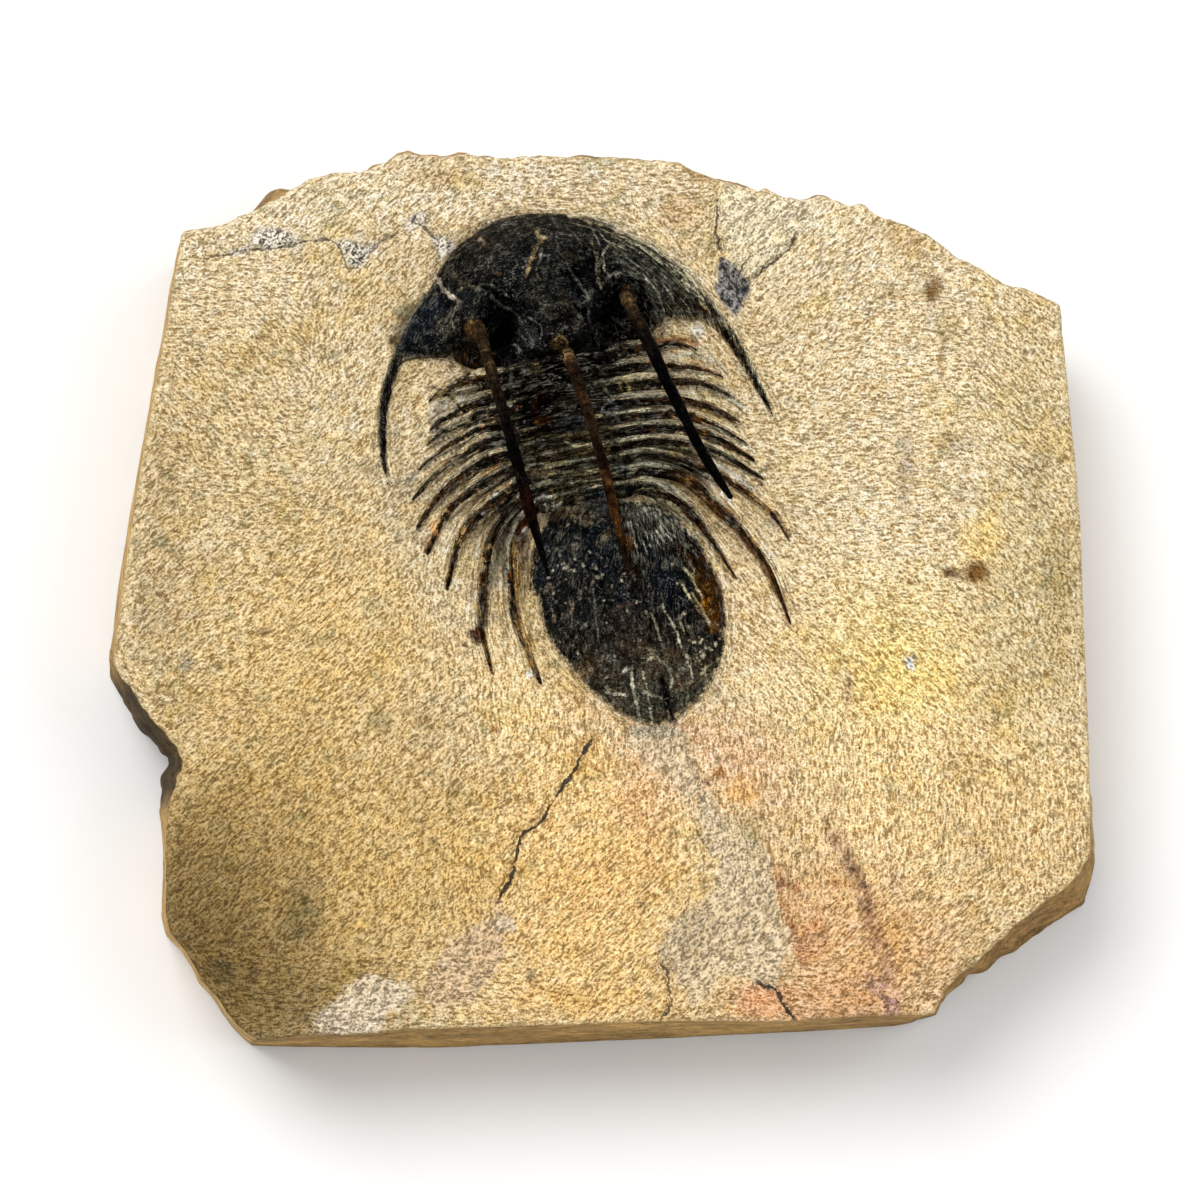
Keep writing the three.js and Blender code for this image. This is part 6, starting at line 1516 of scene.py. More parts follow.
def spine_tube(trace, tones, seed, sides=28, steps=170):
    """A long tapering spine; tones are (fraction, colour) stops along it."""
    tr = np.array(trace, float)
    pts = lift(tr[:, 0], tr[:, 1], TOP + tr[:, 2])
    curve = rounded(pts, n=24)
    seg = np.linspace(0, 1, len(curve))
    t = (np.arange(steps + 1) / steps)
    p = np.stack([np.interp(t, seg, curve[:, k]) for k in range(3)], -1)
    r = np.interp(t, np.linspace(0, 1, len(tr)), tr[:, 3]) / 2
    kernel = np.ones(9) / 9
    r = np.minimum(np.convolve(np.pad(r, 4, mode="edge"), kernel, "valid"), 0.62)
    tangent = np.gradient(p, axis=0)
    tangent /= np.linalg.norm(tangent, axis=1)[:, None]
    side = np.cross(tangent, [0, 0, 1.0])
    side /= np.linalg.norm(side, axis=1)[:, None]
    up = np.cross(side, tangent)
    a = np.arange(sides) / sides * 2 * math.pi
    A, Tt = np.meshgrid(a, t)
    rough = 1 + 0.10 * fbm(np.cos(A) * 1.3 + Tt * 26, np.sin(A) * 1.3 + 3.1 * seed, seed, 3) \
        + 0.07 * noise(Tt * 90, np.cos(A) * 1.5 + np.sin(A) * 2.1, seed + 5)
    rough = rough + 0.10 * np.clip(noise(Tt * 14, A * 0 + seed, seed + 9), -1, 1)
    R = r[:, None] * rough
    # the tip is rounded off
    R = R * np.sqrt(np.clip(1 - smooth(0.985, 1.0, t) ** 2, 0.02, 1))[:, None]
    q = p[:, None, :] + R[..., None] * (np.cos(A)[..., None] * side[:, None, :] + np.sin(A)[..., None] * up[:, None, :])
    stops = np.array([s[0] for s in tones])
    cols = np.array([linear(s[1]) for s in tones])
    colour = np.stack([np.interp(Tt, stops, cols[:, k]) for k in range(3)], -1)
    fleck = 0.8 * fbm(Tt * 40, np.cos(A) * 1.2 + seed, seed + 11, 3) + 0.5 * noise(Tt * 150, np.sin(A) * 2, seed + 13)
    colour = colour * np.exp2(2.1 * fleck)[..., None]
    verts = q.reshape(-1, 3)
    faces = grid_faces(steps + 1, sides, wrap=True)
    # which way do the tube's faces wind?
    f = faces[0]
    n = np.cross(verts[f[1]] - verts[f[0]], verts[f[2]] - verts[f[0]])
    if np.dot(n, verts[f[0]] - p[0]) < 0:
        faces = faces[:, ::-1]
    caps = []
    for row in (0, steps):
        k = row * sides
        for j in range(1, sides - 1, 2):
            quad = [k, k + j, k + j + 1, k + (j + 2) % sides]
            caps.append(quad if row else quad[::-1])
    fib = np.stack([Tt * 25, A * R * 1.5, np.full(A.shape, seed / 3.0), np.full(A.shape, 0.5)], -1).reshape(-1, 4)
    data = np.concatenate([colour.reshape(-1, 3), fib, np.zeros((A.size, 1)), np.ones((A.size, 1))], 1)
    return verts, np.concatenate([faces, np.array(caps)]), data


def join(*parts):
    verts, faces, colours, n = [], [], [], 0
    for v, f, c in parts:
        verts.append(v)
        faces.append(f + n)
        colours.append(c)
        n += len(v)
    return np.concatenate(verts), np.concatenate(faces), np.concatenate(colours)


# =====================================================================================================
# The slab
# =====================================================================================================
# directions of the tool marks in the stone, degrees anticlockwise from +X, on a 75-unit grid of the sheet
FLOW = {
    150: "- - 33 35 28 13 7 10 175 - - - -",
    225: "- 33 32 42 58 - - 133 45 47 53 - -",
    300: "- 4 145 62 - - - - 127 36 21 4 120",
    375: "53 151 155 74 30 - - - 142 31 23 173 120",
    450: "59 142 160 52 43 - - - 136 13 175 176 134",
    525: "44 35 10 40 57 - - - 124 157 162 161 123",
    600: "38 38 34 46 87 96 - - 108 159 162 168 105",
    675: "123 28 24 44 50 100 125 102 124 131 132 151 112",
    750: "- 34 30 53 59 54 79 75 94 92 87 115 118",
    825: "- 43 34 56 58 64 61 63 73 88 95 83 77",
    900: "- 50 50 57 72 81 47 53 54 85 54 38 -",
    975: "- 136 12 13 7 3 24 44 21 172 25 - -",
}


def flow(x, y):
    vx, vy = np.zeros(x.shape), np.zeros(x.shape)
    for row, text in FLOW.items():
        for k, word in enumerate(text.split()):
            if word == "-":
                continue
            a = 2 * math.radians(float(word))
            w = np.exp(-((x - 120 - 75 * k) ** 2 + (y - row) ** 2) / (2 * 42**2)) + 1e-12
            vx += w * math.cos(a)
            vy += w * math.sin(a)
    # round the fossil, strands that follow its outline are added in make_slab, not here
    return np.arctan2(vy, vx) / 2


def stations(trace, level):
    rows = []
    for p in trace:
        top = lift(p[0], p[1], TOP)
        if len(p) < 4 or math.isnan(p[2]):
            mid = low = top
        else:
            wide = lift(p[2], p[3], level)
            mid = wide if level > 1 else top * 0.7 + wide * 0.3
            low = top * 0.8 + wide * 0.2 if level > 1 else wide
        rows.append([p[0], p[1], *mid, *low])
    return np.array(rows)


def spread(stops):
    """Grid fractions from (start, end, count) stretches."""
    out = []
    for a, b, n in stops:
        out.append(a + (b - a) * np.arange(n) / n)
    out.append([stops[-1][1]])
    return np.concatenate(out)


def make_slab():
    U = spread([(0, 0.235, 38), (0.235, 0.72, 206), (0.72, 1, 46)])
    V = spread([(0, 0.04, 10), (0.04, 0.68, 196), (0.68, 1, 62)])
    nu, nv = len(U), len(V)
    back, front = stations(SLAB_BACK, TOP - 3), stations(SLAB_FRONT, 0)
    left, right = stations(SLAB_LEFT, 0), stations(SLAB_RIGHT, 0)
    B_, F_, L_, R_ = at(back, U), at(front, U), at(left, V), at(right, V)
    b, f, l, r = B_[:, :2], F_[:, :2], L_[:, :2], R_[:, :2]
    u, v = U[None, :, None], V[:, None, None]
    grid = (1 - v) * b[None] + v * f[None] + (1 - u) * l[:, None] + u * r[:, None] - (
        (1 - u) * (1 - v) * b[0] + u * (1 - v) * b[-1] + (1 - u) * v * f[0] + u * v * f[-1])
    # ragged edges: strong at the back, the notch and the broken corner, faint on the sawn sides
    x, y = grid[..., 0], grid[..., 1]
    Ug, Vg = np.broadcast_to(U[None, :], x.shape), np.broadcast_to(V[:, None], x.shape)
    broken = np.maximum.reduce([
        smooth(0.05, 0.0, Vg),
        smooth(0.03, 0.0, Ug) * smooth(640, 670, y) * smooth(960, 900, y),
        smooth(0.97, 1.0, Ug) * smooth(845, 870, y),
    ])
    near_edge = np.maximum.reduce([smooth(0.02, 0, Ug), smooth(0.98, 1, Ug), smooth(0.02, 0, Vg), smooth(0.985, 1, Vg)])
    amp = 0.5 * near_edge + 1.9 * broken
    x = x + amp * (fbm(x / 9, y / 9, 301, 4, 0.6))
    y = y + amp * (fbm(x / 9, y / 9, 303, 4, 0.6))
    xs, ys = x.ravel(), y.ravel()

    # colour of the top face
    colour = np.tile(linear((208, 184, 140)), (len(xs), 1))
    filler = np.zeros(len(xs))
    relief = np.zeros(len(xs))
    wx, wy = 9 * fbm(xs / 60, ys / 60, 311, 4), 9 * fbm(xs / 60, ys / 60, 313, 4)
    fx, fy = 2.2 * fbm(xs / 9, ys / 9, 315, 4, 0.6), 2.2 * fbm(xs / 9, ys / 9, 317, 4, 0.6)
    broken_ = fbm(xs / 5.5, ys / 5.5, 319, 4, 0.7)
    ragged = 15 * fbm(xs / 17, ys / 17, 321, 5, 0.72)
    for kind, shape, col, strength, soft, rel in SLAB_MARKS:
        if kind == "blob":
            cx, cy, rx, ry, turn = shape
            big = max(rx, ry) > 26
            m = (np.abs(xs - cx) < 1.7 * max(rx, ry) + 14) & (np.abs(ys - cy) < 1.7 * max(rx, ry) + 14)
            if not m.any():
                continue
            c, s = math.cos(math.radians(turn)), math.sin(math.radians(turn))
            px = xs[m] - cx + (wx[m] if big else fx[m] * min(1, max(rx, ry) / 12))
            py = ys[m] - cy + (wy[m] if big else fy[m] * min(1, max(rx, ry) / 12))
            rr = np.sqrt(((px * c + py * s) / rx) ** 2 + ((-px * s + py * c) / ry) ** 2)
            w = (1 - smooth(0.25, 1.55, rr)) if big else (1 - smooth(0.45, 1.25, rr))
        elif kind == "poly":
            e = np.array(shape, float)
            m = (xs > e[:, 0].min() - 14) & (xs < e[:, 0].max() + 14) & (ys > e[:, 1].min() - 14) & (ys < e[:, 1].max() + 14)
            if not m.any():
                continue
            size = np.clip((np.ptp(e, axis=0).min() - 12) / 50, 0, 1)
            w = smooth(-soft, soft, inside_distance(xs[m] + fx[m], ys[m] + fy[m], e) + ragged[m] * size)
            if col[2] > 0.17:
                filler[m] = np.maximum(filler[m], w * (1.0 if col[2] > 0.47 or col[0] < 0.3 else 0.78))
        else:
            pts, width = shape
            e = rounded(pts, n=5)
            m = (xs > e[:, 0].min() - width - 8) & (xs < e[:, 0].max() + width + 8) & (
                ys > e[:, 1].min() - width - 8) & (ys < e[:, 1].max() + width + 8)
            if not m.any():
                continue
            d, t, _ = line_distance(xs[m] + fx[m], ys[m] + fy[m], e)
            w = 1 - smooth(width / 2 - soft * 0.4, width / 2 + soft * 0.6, d * (1 + 0.5 * broken_[m]))
            w = w * np.clip(0.5 + 1.1 * broken_[m], 0.0, 1.0)
        relief[m] += rel * w
        colour[m] += (col - colour[m]) * (w * strength)[:, None]
    near = (xs > 370) & (xs < 810) & (ys > 200) & (ys < 740)
    colour[near], rel2 = paint(xs[near], ys[near], colour[near])
    relief[near] += 0.7 * rel2

    # cracks: signed distance, strength and half-width, cut in the material and, broadly, in the surface
    crack = np.zeros((len(xs), 4))
    crack[:, 0] = 50
    best = np.full(len(xs), 1e9)
    for pts, width, strength in CRACKS:
        m = (xs > pts[:, 0].min() - 22) & (xs < pts[:, 0].max() + 22) & (ys > pts[:, 1].min() - 22) & (ys < pts[:, 1].max() + 22)
        d, t, side = line_distance(xs[m], ys[m], pts)
        better = d < best[m]
        idx = np.nonzero(m)[0][better]
        length = arc(pts)[-1]
        end = np.minimum(t, 1 - t)[better] * length
        best[idx] = d[better]
        crack[idx, 0] = (d * side)[better]
        crack[idx, 1] = strength * smooth(14, 9, d[better]) * smooth(0, 7, end)
        crack[idx, 2] = width / 2
        relief[idx] -= 0.45 * strength * (1 - smooth(0.4, 1.6, d[better] / width)) * smooth(0, 7, end)

    edge_in = np.minimum.reduce([
        np.broadcast_to(np.minimum(U, 1 - U)[None, :] * 930, x.shape),
        np.broadcast_to(np.minimum(V, 1 - V)[:, None] * 860, x.shape),
    ]).ravel()
    z = 0.14 * fbm(xs / 85, ys / 85, 321, 4) + 0.05 * fbm(xs / 14, ys / 14, 323, 3)
    z = z * smooth(0, 40, edge_in) - 0.22 * np.exp(-edge_in / 3.0) + relief
    # stone clings between the ribs and along the edges, nearly as high as they are
    fibre = np.zeros((len(xs), 4))
    G_ = guides()
    tree = KDTree(len(G_))
    for k, row in enumerate(G_):
        tree.insert((row[0], row[1], 0.0), k)
    tree.balance()
    close = np.nonzero((xs > 350) & (xs < 820) & (ys > 185) & (ys < 760))[0]
    hit = [tree.find((xs[k], ys[k], 0.0)) for k in close]
    near_i = np.array([hh[1] for hh in hit])
    near_d = np.array([hh[2] for hh in hit])
    gr = G_[near_i]
    fall = np.exp(-((near_d / 15.0) ** 2))
    mound = gr[:, 2] * fall
    cx_, cy_ = xs[close], ys[close]
    in_head = inside_distance(cx_, cy_, HEAD_EDGE)
    in_tail = inside_distance(cx_, cy_, TAIL_EDGE)
    mound = np.where(in_head > -1, np.minimum(mound, 0.3), mound)
    mound = np.where(in_tail > -1, np.minimum(mound, 0.35), mound)
    z[close] += mound
    sx = (cx_ - gr[:, 0]) * -gr[:, 5] + (cy_ - gr[:, 1]) * gr[:, 4]
    fibre[close] = np.stack([gr[:, 3], sx / 10, gr[:, 6] + 0.7, gr[:, 7] * np.exp(-((near_d / 14.0) ** 2))], -1)
    # the stone close to the ribs, cheek spines and the head's and tail's edges is darkened a little: painted shade
    # beside the raised shell
    shade = (gr[:, 7] * np.exp(-((near_d / 13.0) ** 2)) * np.clip(0.5 + 0.8 * fbm(cx_ / 5, cy_ / 5, 77, 3), 0, 1))[:, None]
    colour[close] *= 1 - 0.12 * shade
    top = lift(xs, ys, TOP + z)
    theta = flow(xs, ys)
    weights = np.stack([np.clip(np.cos(2 * (theta - math.radians(k))), 0, None) for k in (0, 45, 90, 135)], -1)

    # walls
    idx = np.arange(nu * nv).reshape(nv, nu)
    ring = np.concatenate([idx[:-1, 0], idx[-1, :-1], idx[:0:-1, -1], idx[0, :0:-1]])
    mids = np.concatenate([L_[:-1, 2:5], F_[:-1, 2:5], R_[:0:-1, 2:5], B_[:0:-1, 2:5]])
    lows = np.concatenate([L_[:-1, 5:8], F_[:-1, 5:8], R_[:0:-1, 5:8], B_[:0:-1, 5:8]])
    tops = top[ring]
    n = len(ring)
    which = np.concatenate([np.full(nv - 1, 0), np.full(nu - 1, 1), np.full(nv - 1, 2), np.full(nu - 1, 3)])
    ry_ = ys[ring]
    rx_ = xs[ring]
    rough = np.select(
        [which == 3, (which == 0) & (ry_ > 655) & (ry_ < 800), (which == 2) & (ry_ > 850)],
        [0.75, 0.6, 0.75], 0.09)
    kern = np.ones(15) / 15
    rough = np.convolve(np.concatenate([rough[-7:], rough, rough[:7]]), kern, "valid")
    tangent = np.roll(tops, -2, 0) - np.roll(tops, 2, 0)
    normal = np.stack([tangent[:, 1], -tangent[:, 0]], -1)
    normal = normal / (np.hypot(*normal.T)[:, None] + 1e-9)
    for _ in range(4):
        normal = (np.roll(normal, 1, 0) + normal + np.roll(normal, -1, 0)) / 3
    normal /= np.hypot(*normal.T)[:, None]
    s = np.concatenate([[0], np.cumsum(np.hypot(*(np.diff(tops[:, :2], axis=0).T)))])
    levels = [16.62, 16.2, 15.5, 14.5, 13.2, 11.8, 10.2, 8.4, 6.4, 4.4, 2.4, 0.8, 0.0]
    rows, tones = [], []
    wall_col = {0: (196, 160, 100), 1: (166, 131, 75), 2: (190, 158, 104), 3: (158, 126, 80)}
    base = np.array([linear(wall_col[k]) for k in which])
    # the wall in the notch is darker: partly a darker brown crust, partly painted shade in the recess
    notch = ((which == 0) * smooth(650, 695, ry_) * smooth(830, 785, ry_))[:, None]
    base = base + (linear((80, 64, 39)) - base) * notch
    base = np.where(((which == 2) & (ry_ > 850))[:, None], linear((150, 116, 66)), base)
    pale_front = ((which == 1)[:, None]) * 1.0
    for z_ in levels:
        if z_ > TOP - 4:
            k = (TOP - z_) / 4
            plan = tops[:, :2] * (1 - k) + mids[:, :2] * k
        elif z_ > 5:
            k = (TOP - 4 - z_) / (TOP - 9)
            plan = mids[:, :2] * (1 - k) + (mids[:, :2] * 0.3 + lows[:, :2] * 0.7) * k
        else:
            k = (5 - z_) / 5
            plan = (mids[:, :2] * 0.3 + lows[:, :2] * 0.7) * (1 - k) + lows[:, :2] * k
        fade = smooth(TOP, TOP - 1.2, z_) * (0.35 + 0.65 * smooth(0, 1.5, z_))
        lump = fbm(s / 5.5, z_ / 4.0, 331, 4, 0.55) + 0.8 * (np.abs(noise(s / 3.1, z_ / 2.2, 337)) - 0.4)
        # broken stone steps back in ledges
        ledge = 0.5 * np.sign(noise(s / 8.0, z_ * 0.45, 341)) * np.abs(noise(s / 8.0, z_ * 0.45, 341)) ** 0.4
        off = rough * (lump + ledge * (rough > 0.3)) * fade
        saw = 0.035 * noise(s / 30, z_ * 2.4, 343)
        under = -0.35 * smooth(0.7, 0.0, z_)
        q = np.concatenate([plan + normal * (off + saw + under)[:, None], np.full((n, 1), z_)], 1)
        rows.append(q)
        grime = 0.5 * fbm(s / 7, z_ / 3.5, 351, 4) + 0.35 * noise(s / 1.6, z_ / 0.8, 353)
        layer = 0.16 * noise(s / 60 + 3, z_ / 1.3, 357)
        tone = base * np.exp2(1.1 * grime + layer)[:, None]
        tone = tone * (0.85 + 0.15 * smooth(0, 6, z_))
        tones.append(tone)
    wall = np.concatenate(rows)
    verts = np.concatenate([top, wall])
    colour = np.concatenate([colour, *tones])
    m = nu * nv
    faces = [grid_faces(nv, nu)]
    up_normal = np.cross(verts[faces[0][0, 1]] - verts[faces[0][0, 0]], verts[faces[0][0, 2]] - verts[faces[0][0, 0]])
    if up_normal[2] < 0:
        faces[0] = faces[0][:, ::-1]
    rings = [ring] + [m + k * n + np.arange(n) for k in range(len(levels))]
    for a_, b_ in zip(rings[:-1], rings[1:]):
        quad = np.stack([a_, b_, np.roll(b_, -1), np.roll(a_, -1)], -1)
        faces.append(quad)
    p0 = verts[faces[1][:, 0]]
    nq = np.cross(verts[faces[1][:, 1]] - p0, verts[faces[1][:, 2]] - p0)
    if (nq[:, :2] * normal).sum() < 0:
        faces[1:] = [q[:, ::-1] for q in faces[1:]]
        flip = True
    else:
        flip = False
    # the flat underside: quads from its middle
    centre = len(verts)
    verts = np.concatenate([verts, [[*verts[rings[-1]][:, :2].mean(axis=0), 0.0]]])
    colour = np.concatenate([colour, [linear((196, 166, 112))]])
    last = rings[-1]
    j = np.arange(0, n - n % 2, 2)
    bottom = np.stack([np.full(len(j), centre), last[(j + 2) % n], last[(j + 1) % n], last[j]], -1)
    if n % 2:
        bottom = np.concatenate([bottom[:-1], [[centre, last[n - 1], last[n - 2], last[n - 3]]],
                                 [[centre, last[0], last[n - 1], last[n - 1]]]])
        bottom = bottom[:-1]
    nb = np.cross(verts[bottom[0, 1]] - verts[bottom[0, 0]], verts[bottom[0, 2]] - verts[bottom[0, 0]])
    if nb[2] > 0:
        bottom = bottom[:, ::-1]
    faces = np.concatenate(faces + [bottom])
    k = len(verts) - m
    wide = lambda a, fill: np.concatenate([a, np.tile(np.asarray(fill, float), (k, 1))]) if a.ndim == 2 else \
        np.concatenate([a, np.full(k, float(fill))])
    face_wall = np.concatenate([smooth(2.0, 0.0, edge_in) * 0.4, np.ones(k)])
    return make_object(
        "slab_skin", verts, faces, colour,
        {"flow": wide(weights, (1, 0, 0, 0)), "crack": wide(crack, (50, 0, 1, 0)), "filler": wide(filler, 0),
         "fibre": wide(fibre, (0, 0, 0, 0)),
         "side": face_wall},
    )


# =====================================================================================================
# Materials
# =====================================================================================================
class Graph:
    def __init__(self, name):
        self.mat = bpy.data.materials.new(name)
        self.mat.use_nodes = True
        self.tree = self.mat.node_tree
        self.tree.nodes.clear()
        self.out = self.tree.nodes.new("ShaderNodeOutputMaterial")
        self.bsdf = self.tree.nodes.new("ShaderNodeBsdfPrincipled")
        self.tree.links.new(self.bsdf.outputs[0], self.out.inputs["Surface"])
        self.coord = self.tree.nodes.new("ShaderNodeTexCoord").outputs["Object"]

    def put(self, value, socket):
        if isinstance(value, bpy.types.NodeSocket):
            self.tree.links.new(value, socket)
        else:
            socket.default_value = value

    def math(self, op, a, b=0.0, c=0.0, clamp=False):
        n = self.tree.nodes.new("ShaderNodeMath")
        n.operation = op
        n.use_clamp = clamp
        for v, s in zip((a, b, c), n.inputs):
            self.put(v, s)
        return n.outputs[0]

    def vec(self, op, a, b=(0, 0, 0), c=(0, 0, 0), scale=None):
        n = self.tree.nodes.new("ShaderNodeVectorMath")
        n.operation = op
        for v, s in zip((a, b, c), n.inputs):
            self.put(v, s)
        if scale is not None:
            self.put(scale, n.inputs["Scale"])
        return n.outputs[0]

    def mix(self, factor, a, b):
        n = self.tree.nodes.new("ShaderNodeMix")
        n.data_type = "RGBA"
        self.put(factor, n.inputs[0])
        self.put(a, n.inputs[6])
        self.put(b, n.inputs[7])
        return n.outputs[2]

    def ramp(self, value, a, b):
        n = self.tree.nodes.new("ShaderNodeMapRange")
        n.interpolation_type = "SMOOTHSTEP"
        self.put(value, n.inputs["Value"])
        self.put(a, n.inputs["From Min"])
        self.put(b, n.inputs["From Max"])
        return n.outputs[0]

    def mapped(self, size, turn=0.0, shift=(0, 0, 0), where=None):
        """Coordinates turned about Z and measured in the given feature size, in metres."""
        n = self.tree.nodes.new("ShaderNodeMapping")
        n.vector_type = "TEXTURE"
        self.put(self.coord if where is None else where, n.inputs["Vector"])
        n.inputs["Location"].default_value = shift
        n.inputs["Rotation"].default_value = (0, 0, math.radians(turn))
        n.inputs["Scale"].default_value = size
        return n.outputs[0]

    def warped(self, size, amount):
        """The object's coordinates, shifted about by up to the given amount in metres."""
        n = self.tree.nodes.new("ShaderNodeTexNoise")
        n.noise_dimensions = "3D"
        self.put(self.mapped((size, size, size)), n.inputs["Vector"])
        n.inputs["Scale"].default_value = 1.0
        n.inputs["Detail"].default_value = 0.0
        lift_ = self.vec("SUBTRACT", n.outputs["Color"], (0.5, 0.5, 0.5))
        return self.vec("MULTIPLY_ADD", lift_, (amount, amount, amount), self.coord)

    def noise(self, size, turn=0.0, shift=(0, 0, 0), detail=2.0, rough=0.5, distortion=0.0, where=None):
        """Noise from about -1 to 1."""
        n = self.tree.nodes.new("ShaderNodeTexNoise")
        n.noise_dimensions = "3D"
        self.put(self.mapped(size, turn, shift, where), n.inputs["Vector"])
        n.inputs["Scale"].default_value = 1.0
        n.inputs["Detail"].default_value = detail
        n.inputs["Roughness"].default_value = rough
        n.inputs["Distortion"].default_value = distortion
        return self.math("MULTIPLY_ADD", n.outputs[0], 4.0, -2.0)

    def strands(self, coordinates, length, width, shift, curl=0.4):
        """Noise stretched along a surface's own fibre coordinates, which are in mm."""
        n = self.tree.nodes.new("ShaderNodeTexNoise")
        n.noise_dimensions = "3D"
        self.put(self.vec("MULTIPLY_ADD", coordinates, (1 / length, 1 / width, 1.37), (shift, 0.3 * shift, 0)), n.inputs["Vector"])
        n.inputs["Scale"].default_value = 1.0
        n.inputs["Detail"].default_value = 2.0
        n.inputs["Roughness"].default_value = 0.6
        n.inputs["Distortion"].default_value = curl
        return self.math("MULTIPLY_ADD", n.outputs[0], 4.0, -2.0)

    def cells(self, size, turn=0.0, feature="F1", randomness=1.0):
        n = self.tree.nodes.new("ShaderNodeTexVoronoi")
        n.feature = feature
        self.put(self.mapped(size, turn), n.inputs["Vector"])
        n.inputs["Scale"].default_value = 1.0
        n.inputs["Randomness"].default_value = randomness
        return n.outputs["Distance"], n.outputs["Color"] if "Color" in n.outputs else None

    def attribute(self, name, output="Color"):
        n = self.tree.nodes.new("ShaderNodeAttribute")
        n.attribute_name = name
        return n.outputs[output]

    def split(self, colour):
        n = self.tree.nodes.new("ShaderNodeSeparateColor")
        self.put(colour, n.inputs[0])
        return n.outputs

    def bump(self, height, distance, strength=1.0):
        n = self.tree.nodes.new("ShaderNodeBump")
        n.inputs["Distance"].default_value = distance
        n.inputs["Strength"].default_value = strength
        self.put(height, n.inputs["Height"])
        return n.outputs[0]


STONE_GAIN = 0.98
SHELL_GAIN = 0.5


def stone_material():
    g = Graph("limestone")
    tone = g.attribute("tone")
    w = list(g.split(g.attribute("flow")))[:3] + [g.attribute("flow", "Alpha")]
    side = g.attribute("side", "Fac")
    filler = g.attribute("filler", "Fac")

    wavy = g.warped(0.0007, 0.00034)

    def strokes(length, width, shift, detail):
        total = None
        for k, turn in enumerate((0, 45, 90, 135)):
            n = g.noise((length, width, width), turn, (shift + 0.013 * k, 0.007 * shift * 100, 0), detail, 0.6, 0.0, wavy)
            term = g.math("MULTIPLY", n, w[k])
            total = term if total is None else g.math("ADD", total, term)
        return total

    marks = strokes(0.00088, 0.00027, 0.11, 1.0)
    broad = g.noise((0.0052, 0.0052, 0.0052), 0, (0.3, 0.1, 0), 3.0, 0.55)
    patch = g.noise((0.0014, 0.0014, 0.0014), 0, (0.5, 0.7, 0), 2.0, 0.6)
    grain = g.noise((0.00024, 0.00024, 0.00024), 0, (0.9, 0.2, 0), 1.0, 0.6)
    # fine strands of stone running along the ribs
    fibre = g.attribute("fibre")
    fw = g.attribute("fibre", "Alpha")
    strand = g.strands(fibre, 1.9, 0.17, 1.0, 0.8)
    # brightness of the stone: strokes, patches and grain
    keep = g.math("MULTIPLY_ADD", fw, -0.5, 1.0)
    t = g.math("MULTIPLY", g.math("MULTIPLY", marks, 1.3), keep)
    t = g.math("MULTIPLY_ADD", g.math("MULTIPLY", strand, fw), 2.5, t)
    t = g.math("MULTIPLY_ADD", patch, 0.22, t)
    t = g.math("MULTIPLY_ADD", broad, 0.32, t)
    t = g.math("MULTIPLY_ADD", grain, 1.15, t)
    up_ = g.math("MAXIMUM", t, 0.0)
    down = g.math("MAXIMUM", g.math("MULTIPLY", t, -1.0), 0.0)
    factor = g.vec("MULTIPLY_ADD", g.vec("SCALE", (1, 1, 1), scale=up_), (0.40, 0.50, 0.80), (1, 1, 1))
    deep = g.vec("MULTIPLY_ADD", g.vec("SCALE", (1, 1, 1), scale=down), (0.88, 1.05, 1.45), (1, 1, 1))
    factor = g.vec("DIVIDE", factor, deep)
    colour = g.vec("MULTIPLY", tone, factor)
    # the hue wanders between ochre and grey
    hue = g.vec("MULTIPLY_ADD", g.vec("SCALE", (1, 1, 1), scale=g.math("MULTIPLY_ADD", grain, 0.6, patch)), (0.07, 0.0, -0.15), (1, 1, 1))
    colour = g.vec("MULTIPLY", colour, hue)
    # ochre and olive staining
    stain = g.ramp(g.noise((0.0075, 0.0060, 0.006), 20, (0.13, 0.4, 0), 3.0, 0.62), 0.10, 0.75)
    colour = g.vec("MULTIPLY", colour, g.vec("MULTIPLY_ADD", g.vec("SCALE", (1, 1, 1), scale=stain), (-0.08, -0.12, -0.28), (1, 1, 1)))
    olive = g.ramp(g.noise((0.0026, 0.0018, 0.0026), 35, (0.7, 0.25, 0), 2.0, 0.65), 0.30, 0.90)
    colour = g.vec("MULTIPLY", colour, g.vec("MULTIPLY_ADD", g.vec("SCALE", (1, 1, 1), scale=olive), (-0.34, -0.30, -0.34), (1, 1, 1)))
    # thin dark tool marks, here and there
    crease = g.ramp(g.math("MULTIPLY", marks, -1.0), 0.50, 0.78)
    colour = g.mix(g.math("MULTIPLY", g.math("MULTIPLY", crease, keep), 0.62), colour, g.vec("MULTIPLY", tone, (0.36, 0.27, 0.17)))
    thin = g.math("SUBTRACT", 1.0, g.ramp(g.math("ABSOLUTE", g.math("ADD", marks, 0.38)), 0.03, 0.16))
    where = g.ramp(g.noise((0.0016, 0.0016, 0.0016), 0, (0.21, 0.83, 0), 2.0, 0.65), 0.14, 0.55)
    thin = g.math("MULTIPLY", g.math("MULTIPLY", thin, where), keep)
    colour = g.mix(g.math("MULTIPLY", thin, 0.8), colour, g.vec("MULTIPLY", tone, (0.17, 0.13, 0.085)))
    # brown and black flecks
    fleck = g.ramp(g.noise((0.00055, 0.0004, 0.0005), 30, (0.61, 0.17, 0), 2.0, 0.6), 0.60, 0.90)
    colour = g.mix(g.math("MULTIPLY", fleck, 0.75), colour, (0.09, 0.05, 0.018, 1))
